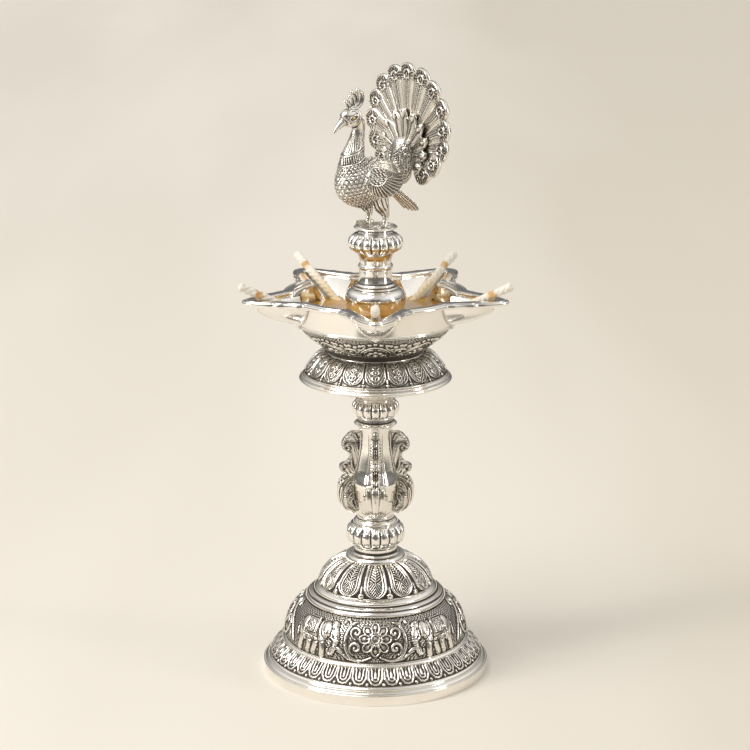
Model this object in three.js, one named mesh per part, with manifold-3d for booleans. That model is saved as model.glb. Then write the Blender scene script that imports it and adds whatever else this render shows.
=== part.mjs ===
// Standing oil lamp with a peacock finial, in the five sections that screw together:
// base, stem, bowl, column and peacock. Millimetres, +Z up, the front towards -Y,
// the origin at the centre of the foot, on the surface that the lamp stands on.
import * as THREE from "three";
import { mergeVertices } from "three/addons/utils/BufferGeometryUtils.js";
import Module from "manifold-3d";

const wasm = await Module();
wasm.setup();

// Fits shared by every section
const GAP = 0.3; // clearance between a piece and what it fits round or lies on
const WALL = 2.5; // wall of the spun and cast shells
const STUD_R = 3.75; // outside of the screw studs
const STUD_DEPTH = 10; // how far a stud reaches into the section below it
const STUD_HOLD = 9; // how far a stud is held in the section above it

// Base
const FOOT_R = 55;
const FOOT_LAND = 4; // width of the flat ring that touches the ground
const FOOT_BAND_H = 5;
const FOOT_MOULDING_H = 3.3;
const BAND_BOTTOM_R = 52;
const BAND_TOP_R = 46.1;
const BAND_H = 6.9;
const WIRE_H = 1.9;
const WIRE_BULGE = 0.5;
const DRUM_BOTTOM_R = 45.1;
const DRUM_TOP_R = 34.4;
const DRUM_H = 18.9;
const DRUM_CURVE = { power: 2, fullness: 2 / 3 };
const STEP_TOP_R = 28.1;
const STEP_H = 7.3;
const DOME_TOP_R = 15.2;
const DOME_H = 12.7;
const DOME_CURVE = { power: 1.7, fullness: 0.6 };
const BASE_FLANGE_H = 2.8;
const BASE_NECK_R = 10.5;
const BASE_NECK_H = 3.7;
const SOCKET_R = 7;
const SOCKET_DEPTH = 15; // how far the socket hangs below the top of the dome
const SOCKET_FLANGE_R = 12;
const SOCKET_FLANGE_H = 2;

// Stem
const CORE_R = 6;
const LOWER_KNOP_R = 15;
const LOWER_KNOP_H = 11.5;
const LOWER_KNOP_LOBES = 18;
const LOWER_BEAD_R = 12.2;
const LOWER_BEAD_H = 4.6;
const BALUSTER_H = 44.9;
const BALUSTER_FOOT_R = 8.7;
const BELLY_R = 12;
const BELLY_AT = 14.5; // height of the belly above the foot of the baluster
const WAIST_R = 7.9;
const WAIST_AT = 35;
const SCROLL_REACH = 18.3; // how far a scroll bracket stands out from the axis
const SCROLL_THICKNESS = 4.4;
const SCROLL_COUNT = 4;
const UPPER_COLLAR_R = 10.7;
const UPPER_COLLAR_H = 4.9;
const UPPER_KNOP_R = 12.1;
const UPPER_KNOP_H = 8.1;
const UPPER_KNOP_LOBES = 16;
const UPPER_RING_R = 8.7;
const UPPER_RING_H = 1.5;

// Bowl
const SPINDLE_R = 8.2;
const SKIRT_DROP = 13.3; // from the skirt's shoulder down to the edge of its rim
const SKIRT_R = 36.6;
const SKIRT_RIM_H = 3.6;
const SHOULDER_R = 24;
const NECK_TO_SHOULDER = 22; // from the top of the stem to the skirt's shoulder
const BOWL_COLLAR_R = 23.3;
const BOWL_COLLAR_H = 3.5;
const BOWL_FOOT_R = 24;
const BOWL_R = 38.6;
const BOWL_H = 24;
const BOWL_WALL = 1.8;
const BAND_RISE = 11; // height of the carved band on the bowl's underside
const BAND_SKIN = 1.2;
const SPOUT_COUNT = 5;
const SPOUT_TIP_R = 66;
const SPOUT_HALF = 11.5; // half the width of a spout where it leaves the wall
const SPOUT_KEEL_DROP = 12.5;
const TONGUE_LENGTH = 7.4; // from the end of a spout's channel to its tip
const CHANNEL_END_R = SPOUT_TIP_R - TONGUE_LENGTH;
const RIM_H = 2.4;
const RIM_OUT_R = 44.6;
const RIM_IN_R = 39.2;
const TONGUE_HALF = 1.9; // half the width of the flat tongue at a spout's tip
const OIL_DEPTH = 14.6; // from the bowl's floor up to the oil
const COLUMN_SEAT = 10.7; // from the bowl's floor up to the seat of the column

// Wicks
const WICK_R = 2.15;
const WICK_DIP_R = 19.4; // where a wick's inner end lies in the oil
const WICK_DIP_RISE = 7.19; // how high above the bowl's floor it lies
const WICK_REST_R = CHANNEL_END_R + GAP; // where a wick lies on the tongue of its spout
const WICK_OUT = 9.5; // how far it reaches past that, along the spout

// Column
const COLUMN_CORE_R = 5.4;
const BALL_R = 14.6;
const BALL_SEAT_R = 7.2;
const BALL_TOP_R = 11.4;
const STEP_RING_R = 11.3;
const STEP_RING_H = 2;
const THROAT_R = 7.8;
const THROAT_H = 7.5;
const COLUMN_BEAD_R = 8.5;
const COLUMN_BEAD_H = 2.6;
const FLARE_R = 9.8;
const FLARE_H = 6;
const TOP_KNOP_R = 13.8;
const TOP_KNOP_H = 8.3;
const TOP_KNOP_LOBES = 18;

// Peacock
const HEADING = THREE.MathUtils.degToRad(220.5); // the way the bird faces, from +X
const CUP_NECK_R = 8.3;
const CUP_RIM_R = 10.5;
const CUP_H = 4.1;
const CUP_RECESS = 1.4;
const CUP_LIP = 1.5;
const STANCE_HALF = 6; // half the distance between the legs
const LEG_H = 15;
const BODY_LENGTH = 36.5;
const BODY_WIDTH = 20;
const BODY_HEIGHT = 23.6;
const BODY_AT = 4.6; // centre of the body, forward of the lamp's axis
const BODY_RISE = 21; // centre of the body above the cup
const HEAD_R = 4.2;
const HEAD_AT = 13.6;
const HEAD_RISE = 53;
const BEAK_LENGTH = 8.6;
const WING_SKIN = 2;
const TRAIN_R = 30;
const TRAIN_RISE = 45.8; // centre of the train above the cup
const TRAIN_FRONT = -19.1; // front face of the train, along the bird's heading
const TRAIN_THICKNESS = 2.5;
const TRAIN_FEATHERS = 15;
const TRAIN_SPREAD = THREE.MathUtils.degToRad(325);
const TRAIN_EYE_R = 24.3;
const COVERT_R = 16.5;
const COVERT_RISE = 37.5;
const COVERT_FEATHERS = 9;
const COVERT_SPREAD = THREE.MathUtils.degToRad(280);
const COVERT_EYE_R = 13.4;
const COVERT_THICKNESS = 1.6;
const MOUND_HALF_WIDTH = 7;
const MOUND_HALF_HEIGHT = 10.5;
const MOUND_DEPTH = 4.6;
const MOUND_RISE = 29;

// Faceting
const BIG_TURN = 24;
const SMALL_TURN = 16;
const BORE_TURN = 12;
const LOBE_STEPS = 3;
const BALUSTER_STEPS = 6;

// Heights worked out from the sizes above
const DRUM_AT = FOOT_BAND_H + FOOT_MOULDING_H + BAND_H + WIRE_H;
const DOME_AT = DRUM_AT + DRUM_H + STEP_H;
const STEM_AT = DOME_AT + DOME_H + BASE_FLANGE_H + BASE_NECK_H;
const BALUSTER_AT = LOWER_KNOP_H + LOWER_BEAD_H;
const UPPER_COLLAR_AT = BALUSTER_AT + BALUSTER_H;
const UPPER_KNOP_AT = UPPER_COLLAR_AT + UPPER_COLLAR_H;
const STEM_H = UPPER_KNOP_AT + UPPER_KNOP_H + UPPER_RING_H;
const BOWL_AT = STEM_AT + STEM_H;
const SHOULDER_AT = NECK_TO_SHOULDER;
const SHELL_AT = SHOULDER_AT + BOWL_COLLAR_H;
const FLOOR_AT = SHELL_AT + BOWL_WALL;
const RIM_AT = SHELL_AT + BOWL_H;
const RIM_TOP = RIM_AT + RIM_H;
const WICK_RUN = WICK_REST_R - WICK_DIP_R;
const WICK_CLIMB = RIM_TOP + GAP - FLOOR_AT - WICK_DIP_RISE;
const WICK_SLOPE =
  Math.atan2(WICK_CLIMB, WICK_RUN) + Math.asin(WICK_R / Math.hypot(WICK_CLIMB, WICK_RUN));
const WICK_LENGTH = (WICK_RUN + WICK_OUT) / Math.cos(WICK_SLOPE);
const SEAT_AT = FLOOR_AT + COLUMN_SEAT - BOWL_WALL;
const COLUMN_AT = BOWL_AT + SEAT_AT;
const BALL_RISE = Math.sqrt(BALL_R ** 2 - BALL_SEAT_R ** 2);
const BALL_H = BALL_RISE + Math.sqrt(BALL_R ** 2 - BALL_TOP_R ** 2) * 0.5;
const COLUMN_H = BALL_H + STEP_RING_H + THROAT_H + COLUMN_BEAD_H + FLARE_H + TOP_KNOP_H;
const PEACOCK_AT = COLUMN_AT + COLUMN_H;

const SILVER = { color: 0xcfcac2, roughness: 0.22, metalness: 1 };
const CARVED = { color: 0xb5aea4, roughness: 0.38, metalness: 1 };
const DARK = { color: 0x8f887f, roughness: 0.5, metalness: 1 };
const COTTON = { color: 0xe9dfcb, roughness: 0.95, metalness: 0 };
const OIL = { color: 0xc98a1e, roughness: 0.08, metalness: 0 };

// Turns a closed geometry of any three.js class into a solid whose faces point out.
function solid(geometry) {
  const bare = geometry.clone();
  bare.deleteAttribute("normal");
  bare.deleteAttribute("uv");
  const merged = mergeVertices(bare, 1e-4);
  const position = merged.getAttribute("position");
  const index = merged.getIndex().array;
  const corner = [new THREE.Vector3(), new THREE.Vector3(), new THREE.Vector3()];
  const triangles = [];
  let volume = 0;
  for (let i = 0; i < index.length; i += 3) {
    const [a, b, c] = [index[i], index[i + 1], index[i + 2]];
    if (a === b || b === c || c === a) continue;
    triangles.push([a, b, c]);
    [a, b, c].forEach((v, k) => corner[k].fromBufferAttribute(position, v));
    volume += corner[0].dot(corner[1].cross(corner[2]));
  }
  const turned = volume < 0 ? triangles.map(([a, b, c]) => [a, c, b]) : triangles;
  return new wasm.Manifold(
    new wasm.Mesh({
      numProp: 3,
      vertProperties: new Float32Array(position.array),
      triVerts: new Uint32Array(turned.flat()),
    })
  );
}

// Turns a solid back into a geometry that a mesh can show.
function geometryOf(body) {
  const mesh = body.getMesh();
  const geometry = new THREE.BufferGeometry();
  const position = new Float32Array(mesh.vertProperties);
  geometry.setAttribute("position", new THREE.BufferAttribute(position, mesh.numProp));
  geometry.setIndex(new THREE.BufferAttribute(new Uint32Array(mesh.triVerts), 1));
  geometry.computeVertexNormals();
  return geometry;
}

// Makes the named mesh of one piece.
function piece(name, body, finish) {
  const mesh = new THREE.Mesh(geometryOf(body), new THREE.MeshStandardMaterial(finish));
  mesh.name = name;
  return mesh;
}

// Groups the pieces of a section at its height on the lamp.
function section(height, ...pieces) {
  const group = new THREE.Group();
  group.position.z = height;
  group.add(...pieces);
  return group;
}

// Turns a closed profile of [radius, height] points round the Z axis.
function turn(profile, segments = SMALL_TURN) {
  const points = [...profile, profile[0]].map(([r, z]) => new THREE.Vector2(r, z));
  return solid(new THREE.LatheGeometry(points, segments).rotateX(Math.PI / 2));
}

// Points of a half-round moulding between two [radius, height] points, bulging outwards.
function bead([r0, z0], [r1, z1], bulge, steps = 2) {
  const points = [];
  for (let i = 1; i < steps; i++) {
    const t = i / steps;
    const out = bulge * Math.sin(Math.PI * t);
    points.push([r0 + (r1 - r0) * t + out, z0 + (z1 - z0) * t]);
  }
  return points;
}

// Points of a domed side that leaves its foot upright and closes in towards its top.
function domed(rBottom, rTop, z0, height, { power, fullness }, steps) {
  const points = [];
  for (let i = 0; i <= steps; i++) {
    const t = Math.sin((Math.PI / 2) * (i / steps));
    const share = Math.pow(Math.max(1 - Math.pow(t, power), 0), fullness);
    points.push([rTop + (rBottom - rTop) * share, z0 + height * t]);
  }
  return points;
}

// Points of a smooth side through a few [radius, height] points.
function flowing(through, steps) {
  const curve = new THREE.SplineCurve(through.map(([r, z]) => new THREE.Vector2(r, z)));
  return curve.getPoints(steps).map((p) => [p.x, p.y]);
}

// A tube round the Z axis between two heights.
function tube(outer, inner, z0, z1, segments = BORE_TURN) {
  return turn([[inner, z0], [outer, z0], [outer, z1], [inner, z1]], segments);
}

// Joins closed rings of points, each with as many points as the next, into a solid.
function loft(rings) {
  const sides = rings[0].length;
  const position = rings.flatMap((ring) => ring.flatMap((p) => [p.x, p.y, p.z]));
  const index = [];
  for (let k = 0; k < rings.length - 1; k++) {
    for (let i = 0; i < sides; i++) {
      const a = k * sides + i;
      const b = k * sides + ((i + 1) % sides);
      index.push(a, b, b + sides, a, b + sides, a + sides);
    }
  }
  for (const [k, turned] of [[0, true], [rings.length - 1, false]]) {
    const middle = new THREE.Vector3();
    rings[k].forEach((p) => middle.addScaledVector(p, 1 / sides));
    const hub = position.length / 3;
    position.push(middle.x, middle.y, middle.z);
    for (let i = 0; i < sides; i++) {
      const a = k * sides + i;
      const b = k * sides + ((i + 1) % sides);
      index.push(hub, turned ? b : a, turned ? a : b);
    }
  }
  const geometry = new THREE.BufferGeometry();
  geometry.setAttribute("position", new THREE.Float32BufferAttribute(position, 3));
  geometry.setIndex(index);
  return solid(geometry);
}

// A limb through stations of { at, across, deep }: its centre and its two half widths.
function limb(stations, side, steps, sides) {
  const path = new THREE.CatmullRomCurve3(stations.map((s) => s.at));
  const widths = new THREE.SplineCurve(
    stations.map((s) => new THREE.Vector2(s.across, s.deep))
  );
  const rings = [];
  for (let k = 0; k <= steps; k++) {
    const t = k / steps;
    const at = path.getPoint(t);
    const width = widths.getPoint(t);
    const ahead = path.getTangent(t);
    const across = side.clone().addScaledVector(ahead, -side.dot(ahead)).normalize();
    const deep = new THREE.Vector3().crossVectors(ahead, across);
    rings.push(
      Array.from({ length: sides }, (_, i) => {
        const angle = (2 * Math.PI * i) / sides;
        return at
          .clone()
          .addScaledVector(across, width.x * Math.cos(angle))
          .addScaledVector(deep, width.y * Math.sin(angle));
      })
    );
  }
  return loft(rings);
}

// An ellipsoid with its half sizes and its centre.
function ellipsoid(halfX, halfY, halfZ, centre, around = 28, up = 18) {
  const ball = new THREE.SphereGeometry(1, around, up).rotateX(Math.PI / 2);
  return solid(ball.scale(halfX, halfY, halfZ).translate(centre.x, centre.y, centre.z));
}

// A flat outline of [x, y] points raised from z = 0 by a thickness.
function plate(outline, thickness, holes = []) {
  const points = outline.map(([x, y]) => new THREE.Vector2(x, y));
  const shape = new THREE.Shape(
    THREE.ShapeUtils.isClockWise(points) ? points.reverse() : points
  );
  holes.forEach((hole) => {
    shape.holes.push(new THREE.Path(hole.map(([x, y]) => new THREE.Vector2(x, y))));
  });
  return new THREE.ExtrudeGeometry(shape, { depth: thickness, bevelEnabled: false });
}

// Adds up a list of solids.
function joined(bodies) {
  return bodies.reduce((whole, body) => whole.add(body));
}

// Repeats a solid round the Z axis.
function around(count, body, first = 0) {
  return Array.from({ length: count }, (_, k) => body.rotate([0, 0, first + (360 * k) / count]));
}

// Base

function footRing() {
  const top = FOOT_BAND_H + FOOT_MOULDING_H;
  const middle = FOOT_BAND_H + FOOT_MOULDING_H / 2;
  const shelf = [(FOOT_R + BAND_BOTTOM_R) / 2, middle];
  return turn([
    [FOOT_R - FOOT_LAND, 0],
    [FOOT_R, 0],
    [FOOT_R + 0.4, FOOT_BAND_H],
    ...bead([FOOT_R - 0.3, FOOT_BAND_H], shelf, WIRE_BULGE),
    shelf,
    ...bead([shelf[0] - 0.5, middle], [BAND_BOTTOM_R, top], WIRE_BULGE),
    [BAND_BOTTOM_R, top],
    [BAND_BOTTOM_R - WALL, top],
  ], BIG_TURN);
}

function bandRing() {
  const z0 = FOOT_BAND_H + FOOT_MOULDING_H;
  return turn([
    [BAND_BOTTOM_R - WALL, z0],
    [BAND_BOTTOM_R, z0],
    [(BAND_BOTTOM_R + BAND_TOP_R) / 2 + WIRE_BULGE, z0 + BAND_H / 2],
    [BAND_TOP_R, z0 + BAND_H],
    [BAND_TOP_R - WALL, z0 + BAND_H],
  ], BIG_TURN);
}

function wireRing() {
  const z0 = FOOT_BAND_H + FOOT_MOULDING_H + BAND_H;
  return turn([
    [BAND_TOP_R - WALL, z0],
    [BAND_TOP_R, z0],
    ...bead([BAND_TOP_R, z0], [DRUM_BOTTOM_R, DRUM_AT], WIRE_BULGE),
    [DRUM_BOTTOM_R, DRUM_AT],
    [DRUM_BOTTOM_R - WALL, DRUM_AT],
  ], BIG_TURN);
}

function drum() {
  const outside = domed(DRUM_BOTTOM_R, DRUM_TOP_R, DRUM_AT, DRUM_H, DRUM_CURVE, 4);
  const inside = domed(
    DRUM_BOTTOM_R - WALL, DRUM_TOP_R - WALL, DRUM_AT, DRUM_H - WALL / 2, DRUM_CURVE, 2
  );
  return turn([...outside, [DRUM_TOP_R - WALL, DRUM_AT + DRUM_H], ...inside.reverse()], BIG_TURN);
}

function stepRing() {
  const z0 = DRUM_AT + DRUM_H;
  const lowTop = z0 + STEP_H * 0.35;
  const groove = [DRUM_TOP_R - 2, z0 + STEP_H * 0.52];
  const highFoot = [STEP_TOP_R + 2.2, z0 + STEP_H * 0.7];
  return turn([
    [DRUM_TOP_R - WALL, z0],
    [DRUM_TOP_R, z0],
    ...bead([DRUM_TOP_R, z0], [DRUM_TOP_R - 0.6, lowTop], WIRE_BULGE),
    [DRUM_TOP_R - 0.6, lowTop],
    groove,
    highFoot,
    ...bead(highFoot, [STEP_TOP_R, DOME_AT], WIRE_BULGE * 1.6),
    [STEP_TOP_R, DOME_AT],
    [STEP_TOP_R - WALL, DOME_AT],
  ], BIG_TURN);
}

function lotusDome() {
  const outside = domed(STEP_TOP_R, DOME_TOP_R, DOME_AT, DOME_H, DOME_CURVE, 4);
  const inside = domed(
    STEP_TOP_R - WALL, DOME_TOP_R - WALL, DOME_AT, DOME_H - WALL, DOME_CURVE, 2
  );
  const bore = SOCKET_R + GAP;
  return turn([
    ...outside,
    [bore, DOME_AT + DOME_H],
    [bore, DOME_AT + DOME_H - WALL],
    ...inside.reverse(),
  ], BIG_TURN);
}

function baseCollar() {
  const z0 = DOME_AT + DOME_H;
  const neckFoot = z0 + BASE_FLANGE_H;
  const bore = SOCKET_R + GAP;
  return turn([
    [bore, z0],
    [DOME_TOP_R, z0],
    ...bead([DOME_TOP_R, z0], [DOME_TOP_R - 0.9, neckFoot], WIRE_BULGE),
    [DOME_TOP_R - 0.9, neckFoot],
    [BASE_NECK_R + 0.5, neckFoot + 0.3],
    [BASE_NECK_R, neckFoot + BASE_NECK_H * 0.4],
    [BASE_NECK_R, STEM_AT],
    [bore, STEM_AT],
  ]);
}

function baseSocket() {
  const under = DOME_AT + DOME_H - WALL;
  const bore = STUD_R + GAP;
  return turn([
    [bore, under - SOCKET_DEPTH + WALL],
    [SOCKET_R, under - SOCKET_DEPTH + WALL],
    [SOCKET_R, under - SOCKET_FLANGE_H - 1],
    [SOCKET_FLANGE_R, under - SOCKET_FLANGE_H],
    [SOCKET_FLANGE_R, under],
    [SOCKET_R, under],
    [SOCKET_R, STEM_AT],
    [bore, STEM_AT],
  ], BORE_TURN);
}

// Stem

// A knop whose outside is cut into upright lobes above a plain lip, bored for the core.
function gadroonedKnop({ rFoot, rBottom, rWidest, rTop, z0, lip, height, lobes, bore }) {
  const lobed = height - lip;
  const side = flowing([
    [rBottom, z0 + lip],
    [rWidest - (rWidest - rBottom) * 0.28, z0 + lip + lobed * 0.2],
    [rWidest, z0 + lip + lobed * 0.48],
    [rWidest - (rWidest - rTop) * 0.28, z0 + lip + lobed * 0.78],
    [rTop, z0 + height],
  ], 3);
  const foot = lip > 0 ? [[rFoot, z0]] : [];
  const points = [[0, z0], ...foot, ...side, [0, z0 + height]];
  const knop = new THREE.LatheGeometry(
    points.map(([r, z]) => new THREE.Vector2(r, z)), lobes * LOBE_STEPS
  ).rotateX(Math.PI / 2);
  const position = knop.getAttribute("position");
  const groove = (rWidest * Math.PI) / lobes / 2;
  for (let i = 0; i < position.count; i++) {
    const [x, y, z] = [position.getX(i), position.getY(i), position.getZ(i)];
    const r = Math.hypot(x, y);
    const rise = Math.sin((Math.PI * (z - z0 - lip)) / lobed);
    if (r < bore || rise < 0.01) continue;
    const step = Math.round((Math.atan2(y, x) * lobes * LOBE_STEPS) / (2 * Math.PI));
    const dip = step % LOBE_STEPS === 0 ? 1 : 0;
    const share = (r - groove * rise * dip) / r;
    position.setXY(i, x * share, y * share);
  }
  return solid(knop).subtract(tube(bore, 0, z0 - 1, z0 + height + 1));
}

function lowerKnop() {
  return gadroonedKnop({
    rFoot: BASE_NECK_R,
    rBottom: LOWER_KNOP_R - 3.2,
    rWidest: LOWER_KNOP_R,
    rTop: LOWER_BEAD_R,
    z0: 0,
    lip: 1.5,
    height: LOWER_KNOP_H,
    lobes: LOWER_KNOP_LOBES,
    bore: CORE_R + GAP,
  });
}

function upperKnop() {
  return gadroonedKnop({
    rBottom: UPPER_KNOP_R - 3,
    rWidest: UPPER_KNOP_R,
    rTop: UPPER_KNOP_R - 2.6,
    z0: UPPER_KNOP_AT,
    lip: 0,
    height: UPPER_KNOP_H,
    lobes: UPPER_KNOP_LOBES,
    bore: CORE_R + GAP,
  });
}

function columnKnop() {
  return gadroonedKnop({
    rBottom: TOP_KNOP_R - 3.4,
    rWidest: TOP_KNOP_R,
    rTop: TOP_KNOP_R - 3.4,
    z0: COLUMN_H - TOP_KNOP_H,
    lip: 0,
    height: TOP_KNOP_H,
    lobes: TOP_KNOP_LOBES,
    bore: COLUMN_CORE_R + GAP,
  });
}

function lowerBead() {
  const z0 = LOWER_KNOP_H;
  return turn([
    [CORE_R + GAP, z0],
    [LOWER_BEAD_R - 0.6, z0],
    ...bead([LOWER_BEAD_R - 0.6, z0], [LOWER_BEAD_R - 1.6, z0 + LOWER_BEAD_H * 0.75], WIRE_BULGE),
    [LOWER_BEAD_R - 1.6, z0 + LOWER_BEAD_H * 0.75],
    [BALUSTER_FOOT_R, BALUSTER_AT],
    [CORE_R + GAP, BALUSTER_AT],
  ]);
}

// The baluster's outside, stood off by a clearance where something lies against it.
function balusterSide(standOff) {
  const side = flowing([
    [BALUSTER_FOOT_R, BALUSTER_AT],
    [BALUSTER_FOOT_R + 1, BALUSTER_AT + BELLY_AT * 0.28],
    [BELLY_R, BALUSTER_AT + BELLY_AT],
    [(BELLY_R + WAIST_R) / 2, BALUSTER_AT + (BELLY_AT + WAIST_AT) * 0.47],
    [WAIST_R, BALUSTER_AT + WAIST_AT],
    [WAIST_R + 0.4, BALUSTER_AT + BALUSTER_H],
  ], BALUSTER_STEPS);
  return side.map(([r, z]) => [r + standOff, z]);
}

function baluster() {
  const bore = CORE_R + GAP;
  return turn([[bore, BALUSTER_AT], ...balusterSide(0), [bore, UPPER_COLLAR_AT]]);
}

// A cast acanthus bracket: two volutes over a leafed belly, fitted to the baluster.
function scrollBracket() {
  const z = (share) => BALUSTER_AT + BALUSTER_H * share;
  const r = (share) => SCROLL_REACH * share;
  const outline = new THREE.Shape();
  outline.moveTo(r(0.49), z(0.02));
  outline.splineThru([
    new THREE.Vector2(r(0.72), z(0.09)),
    new THREE.Vector2(r(0.93), z(0.19)),
    new THREE.Vector2(r(1), z(0.3)),
    new THREE.Vector2(r(0.94), z(0.4)),
  ]);
  outline.splineThru([
    new THREE.Vector2(r(0.87), z(0.43)),
    new THREE.Vector2(r(0.97), z(0.49)),
    new THREE.Vector2(r(0.98), z(0.55)),
    new THREE.Vector2(r(0.88), z(0.62)),
    new THREE.Vector2(r(0.74), z(0.66)),
  ]);
  outline.splineThru([
    new THREE.Vector2(r(0.79), z(0.7)),
    new THREE.Vector2(r(0.91), z(0.76)),
    new THREE.Vector2(r(0.9), z(0.84)),
    new THREE.Vector2(r(0.74), z(0.9)),
    new THREE.Vector2(r(0.62), z(0.95)),
  ]);
  outline.lineTo(CORE_R, z(0.95));
  outline.lineTo(CORE_R, z(0.02));
  const slab = new THREE.ExtrudeGeometry(outline, {
    depth: SCROLL_THICKNESS, bevelEnabled: false, curveSegments: 2,
  });
  slab.translate(0, 0, -SCROLL_THICKNESS / 2).rotateX(Math.PI / 2);
  const bore = CORE_R - 1;
  const seat = turn([
    [bore, BALUSTER_AT - 1],
    [BALUSTER_FOOT_R + GAP, BALUSTER_AT - 1],
    ...balusterSide(GAP),
    [WAIST_R + 0.4 + GAP, UPPER_COLLAR_AT + 1],
    [bore, UPPER_COLLAR_AT + 1],
  ]);
  const inner = tube(bore + 0.5, 1, BALUSTER_AT - 1, UPPER_COLLAR_AT + 1);
  return solid(slab).subtract(seat).subtract(inner);
}

function upperCollar() {
  const z0 = UPPER_COLLAR_AT;
  const top = z0 + UPPER_COLLAR_H;
  return turn([
    [CORE_R + GAP, z0],
    [WAIST_R + 0.4, z0],
    ...bead([UPPER_COLLAR_R - 0.7, z0 + 0.3], [UPPER_COLLAR_R - 0.7, z0 + 2.2], 0.7, 3),
    [UPPER_COLLAR_R - 1.6, z0 + 2.3],
    [UPPER_COLLAR_R - 2, z0 + 3.8],
    [UPPER_KNOP_R - 3, top],
    [CORE_R + GAP, top],
  ]);
}

function upperRing() {
  const z0 = UPPER_KNOP_AT + UPPER_KNOP_H;
  const foot = [UPPER_RING_R, z0];
  return turn([
    [CORE_R + GAP, z0],
    foot,
    ...bead(foot, [SPINDLE_R, STEM_H], WIRE_BULGE),
    [SPINDLE_R, STEM_H],
    [CORE_R + GAP, STEM_H],
  ]);
}

// Bowl

// The spindle that carries the skirt and the bowl, bored right through for two studs.
function spindle() {
  const flange = SHOULDER_AT - WALL;
  const bore = STUD_R + GAP;
  return turn([
    [bore, 0],
    [SPINDLE_R, 0],
    [SPINDLE_R, flange - 3],
    [SPINDLE_R + 4, flange - 1.5],
    [SPINDLE_R + 4, flange],
    [SPINDLE_R, flange],
    [SPINDLE_R, FLOOR_AT],
    [SPINDLE_R + 2.5, FLOOR_AT],
    [SPINDLE_R + 2.5, FLOOR_AT + 1.5],
    [BALL_SEAT_R, FLOOR_AT + 3.5],
    [BALL_SEAT_R, SEAT_AT],
    [bore, SEAT_AT],
  ], BORE_TURN);
}

function skirtRim() {
  const z0 = SHOULDER_AT - SKIRT_DROP;
  const top = z0 + SKIRT_RIM_H;
  return turn([
    [SKIRT_R - WALL - 1, z0],
    [SKIRT_R, z0],
    ...bead([SKIRT_R, z0], [SKIRT_R - 0.2, z0 + 2.2], 0.6),
    [SKIRT_R - 0.9, z0 + 2.4],
    ...bead([SKIRT_R - 1.2, z0 + 2.4], [SKIRT_R - 2.2, top], 0.4, 3),
    [SKIRT_R - 2.2, top],
    [SKIRT_R - 2.2 - WALL, top],
  ], BIG_TURN);
}

function skirt() {
  const z0 = SHOULDER_AT - SKIRT_DROP + SKIRT_RIM_H;
  const bore = SPINDLE_R + GAP;
  const foot = SKIRT_R - 2.2;
  const height = SHOULDER_AT - z0;
  return turn([
    [foot, z0],
    [foot - (foot - SHOULDER_R) * 0.24, z0 + height * 0.4],
    [foot - (foot - SHOULDER_R) * 0.6, z0 + height * 0.84],
    [SHOULDER_R, SHOULDER_AT],
    [bore, SHOULDER_AT],
    [bore, SHOULDER_AT - WALL],
    [SHOULDER_R - WALL, SHOULDER_AT - WALL],
    [foot - WALL - (foot - SHOULDER_R) * 0.24, z0 + height * 0.3],
    [foot - WALL, z0],
  ], BIG_TURN);
}

function bowlCollar() {
  const z0 = SHOULDER_AT;
  return turn([
    [BOWL_COLLAR_R - WALL, z0],
    [BOWL_COLLAR_R, z0],
    [BOWL_COLLAR_R - 0.3, z0 + BOWL_COLLAR_H * 0.5],
    [BOWL_COLLAR_R, z0 + BOWL_COLLAR_H],
    [BOWL_COLLAR_R - WALL, z0 + BOWL_COLLAR_H],
  ], BIG_TURN);
}

// The underside of the bowl from its foot to the wall, stood off outwards or inwards.
function bowlUnderside(standOff, steps) {
  const side = flowing([
    [BOWL_FOOT_R, SHELL_AT],
    [BOWL_FOOT_R + (BOWL_R - BOWL_FOOT_R) * 0.58, SHELL_AT + BAND_RISE * 0.52],
    [BOWL_R - 1.2, SHELL_AT + BAND_RISE],
  ], steps);
  return side.map(([r, z]) => [r + standOff * 0.8, z - standOff * 0.6]);
}

// Half the width of a spout, and the height of its keel, at a distance from the lamp's axis.
function spoutSection(u, inset) {
  const root = BOWL_R - 5;
  const share = THREE.MathUtils.clamp((u - root) / (SPOUT_TIP_R - 5 - root), 0, 1);
  return {
    half: SPOUT_HALF * Math.pow(1 - share, 0.62) + 1.2 - inset,
    keel: RIM_AT - SPOUT_KEEL_DROP * Math.pow(1 - share, 0.85) - 0.6 + inset,
  };
}

// The boat-shaped body of a spout along +X: its outside, or its channel when inset.
function spoutHull(inset, from, to, top) {
  const steps = 3;
  const across = 6;
  const rings = [];
  for (let k = 0; k <= steps; k++) {
    const u = from + (to - from) * (1 - (1 - k / steps) ** 1.4);
    const { half, keel } = spoutSection(u, inset);
    const ring = [];
    for (let i = 0; i <= across; i++) {
      const a = -1 + (2 * i) / across;
      ring.push(new THREE.Vector3(u, half * a, keel + (top - keel) * Math.abs(a) ** 1.5));
    }
    rings.push(ring);
  }
  return loft(rings);
}

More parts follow.
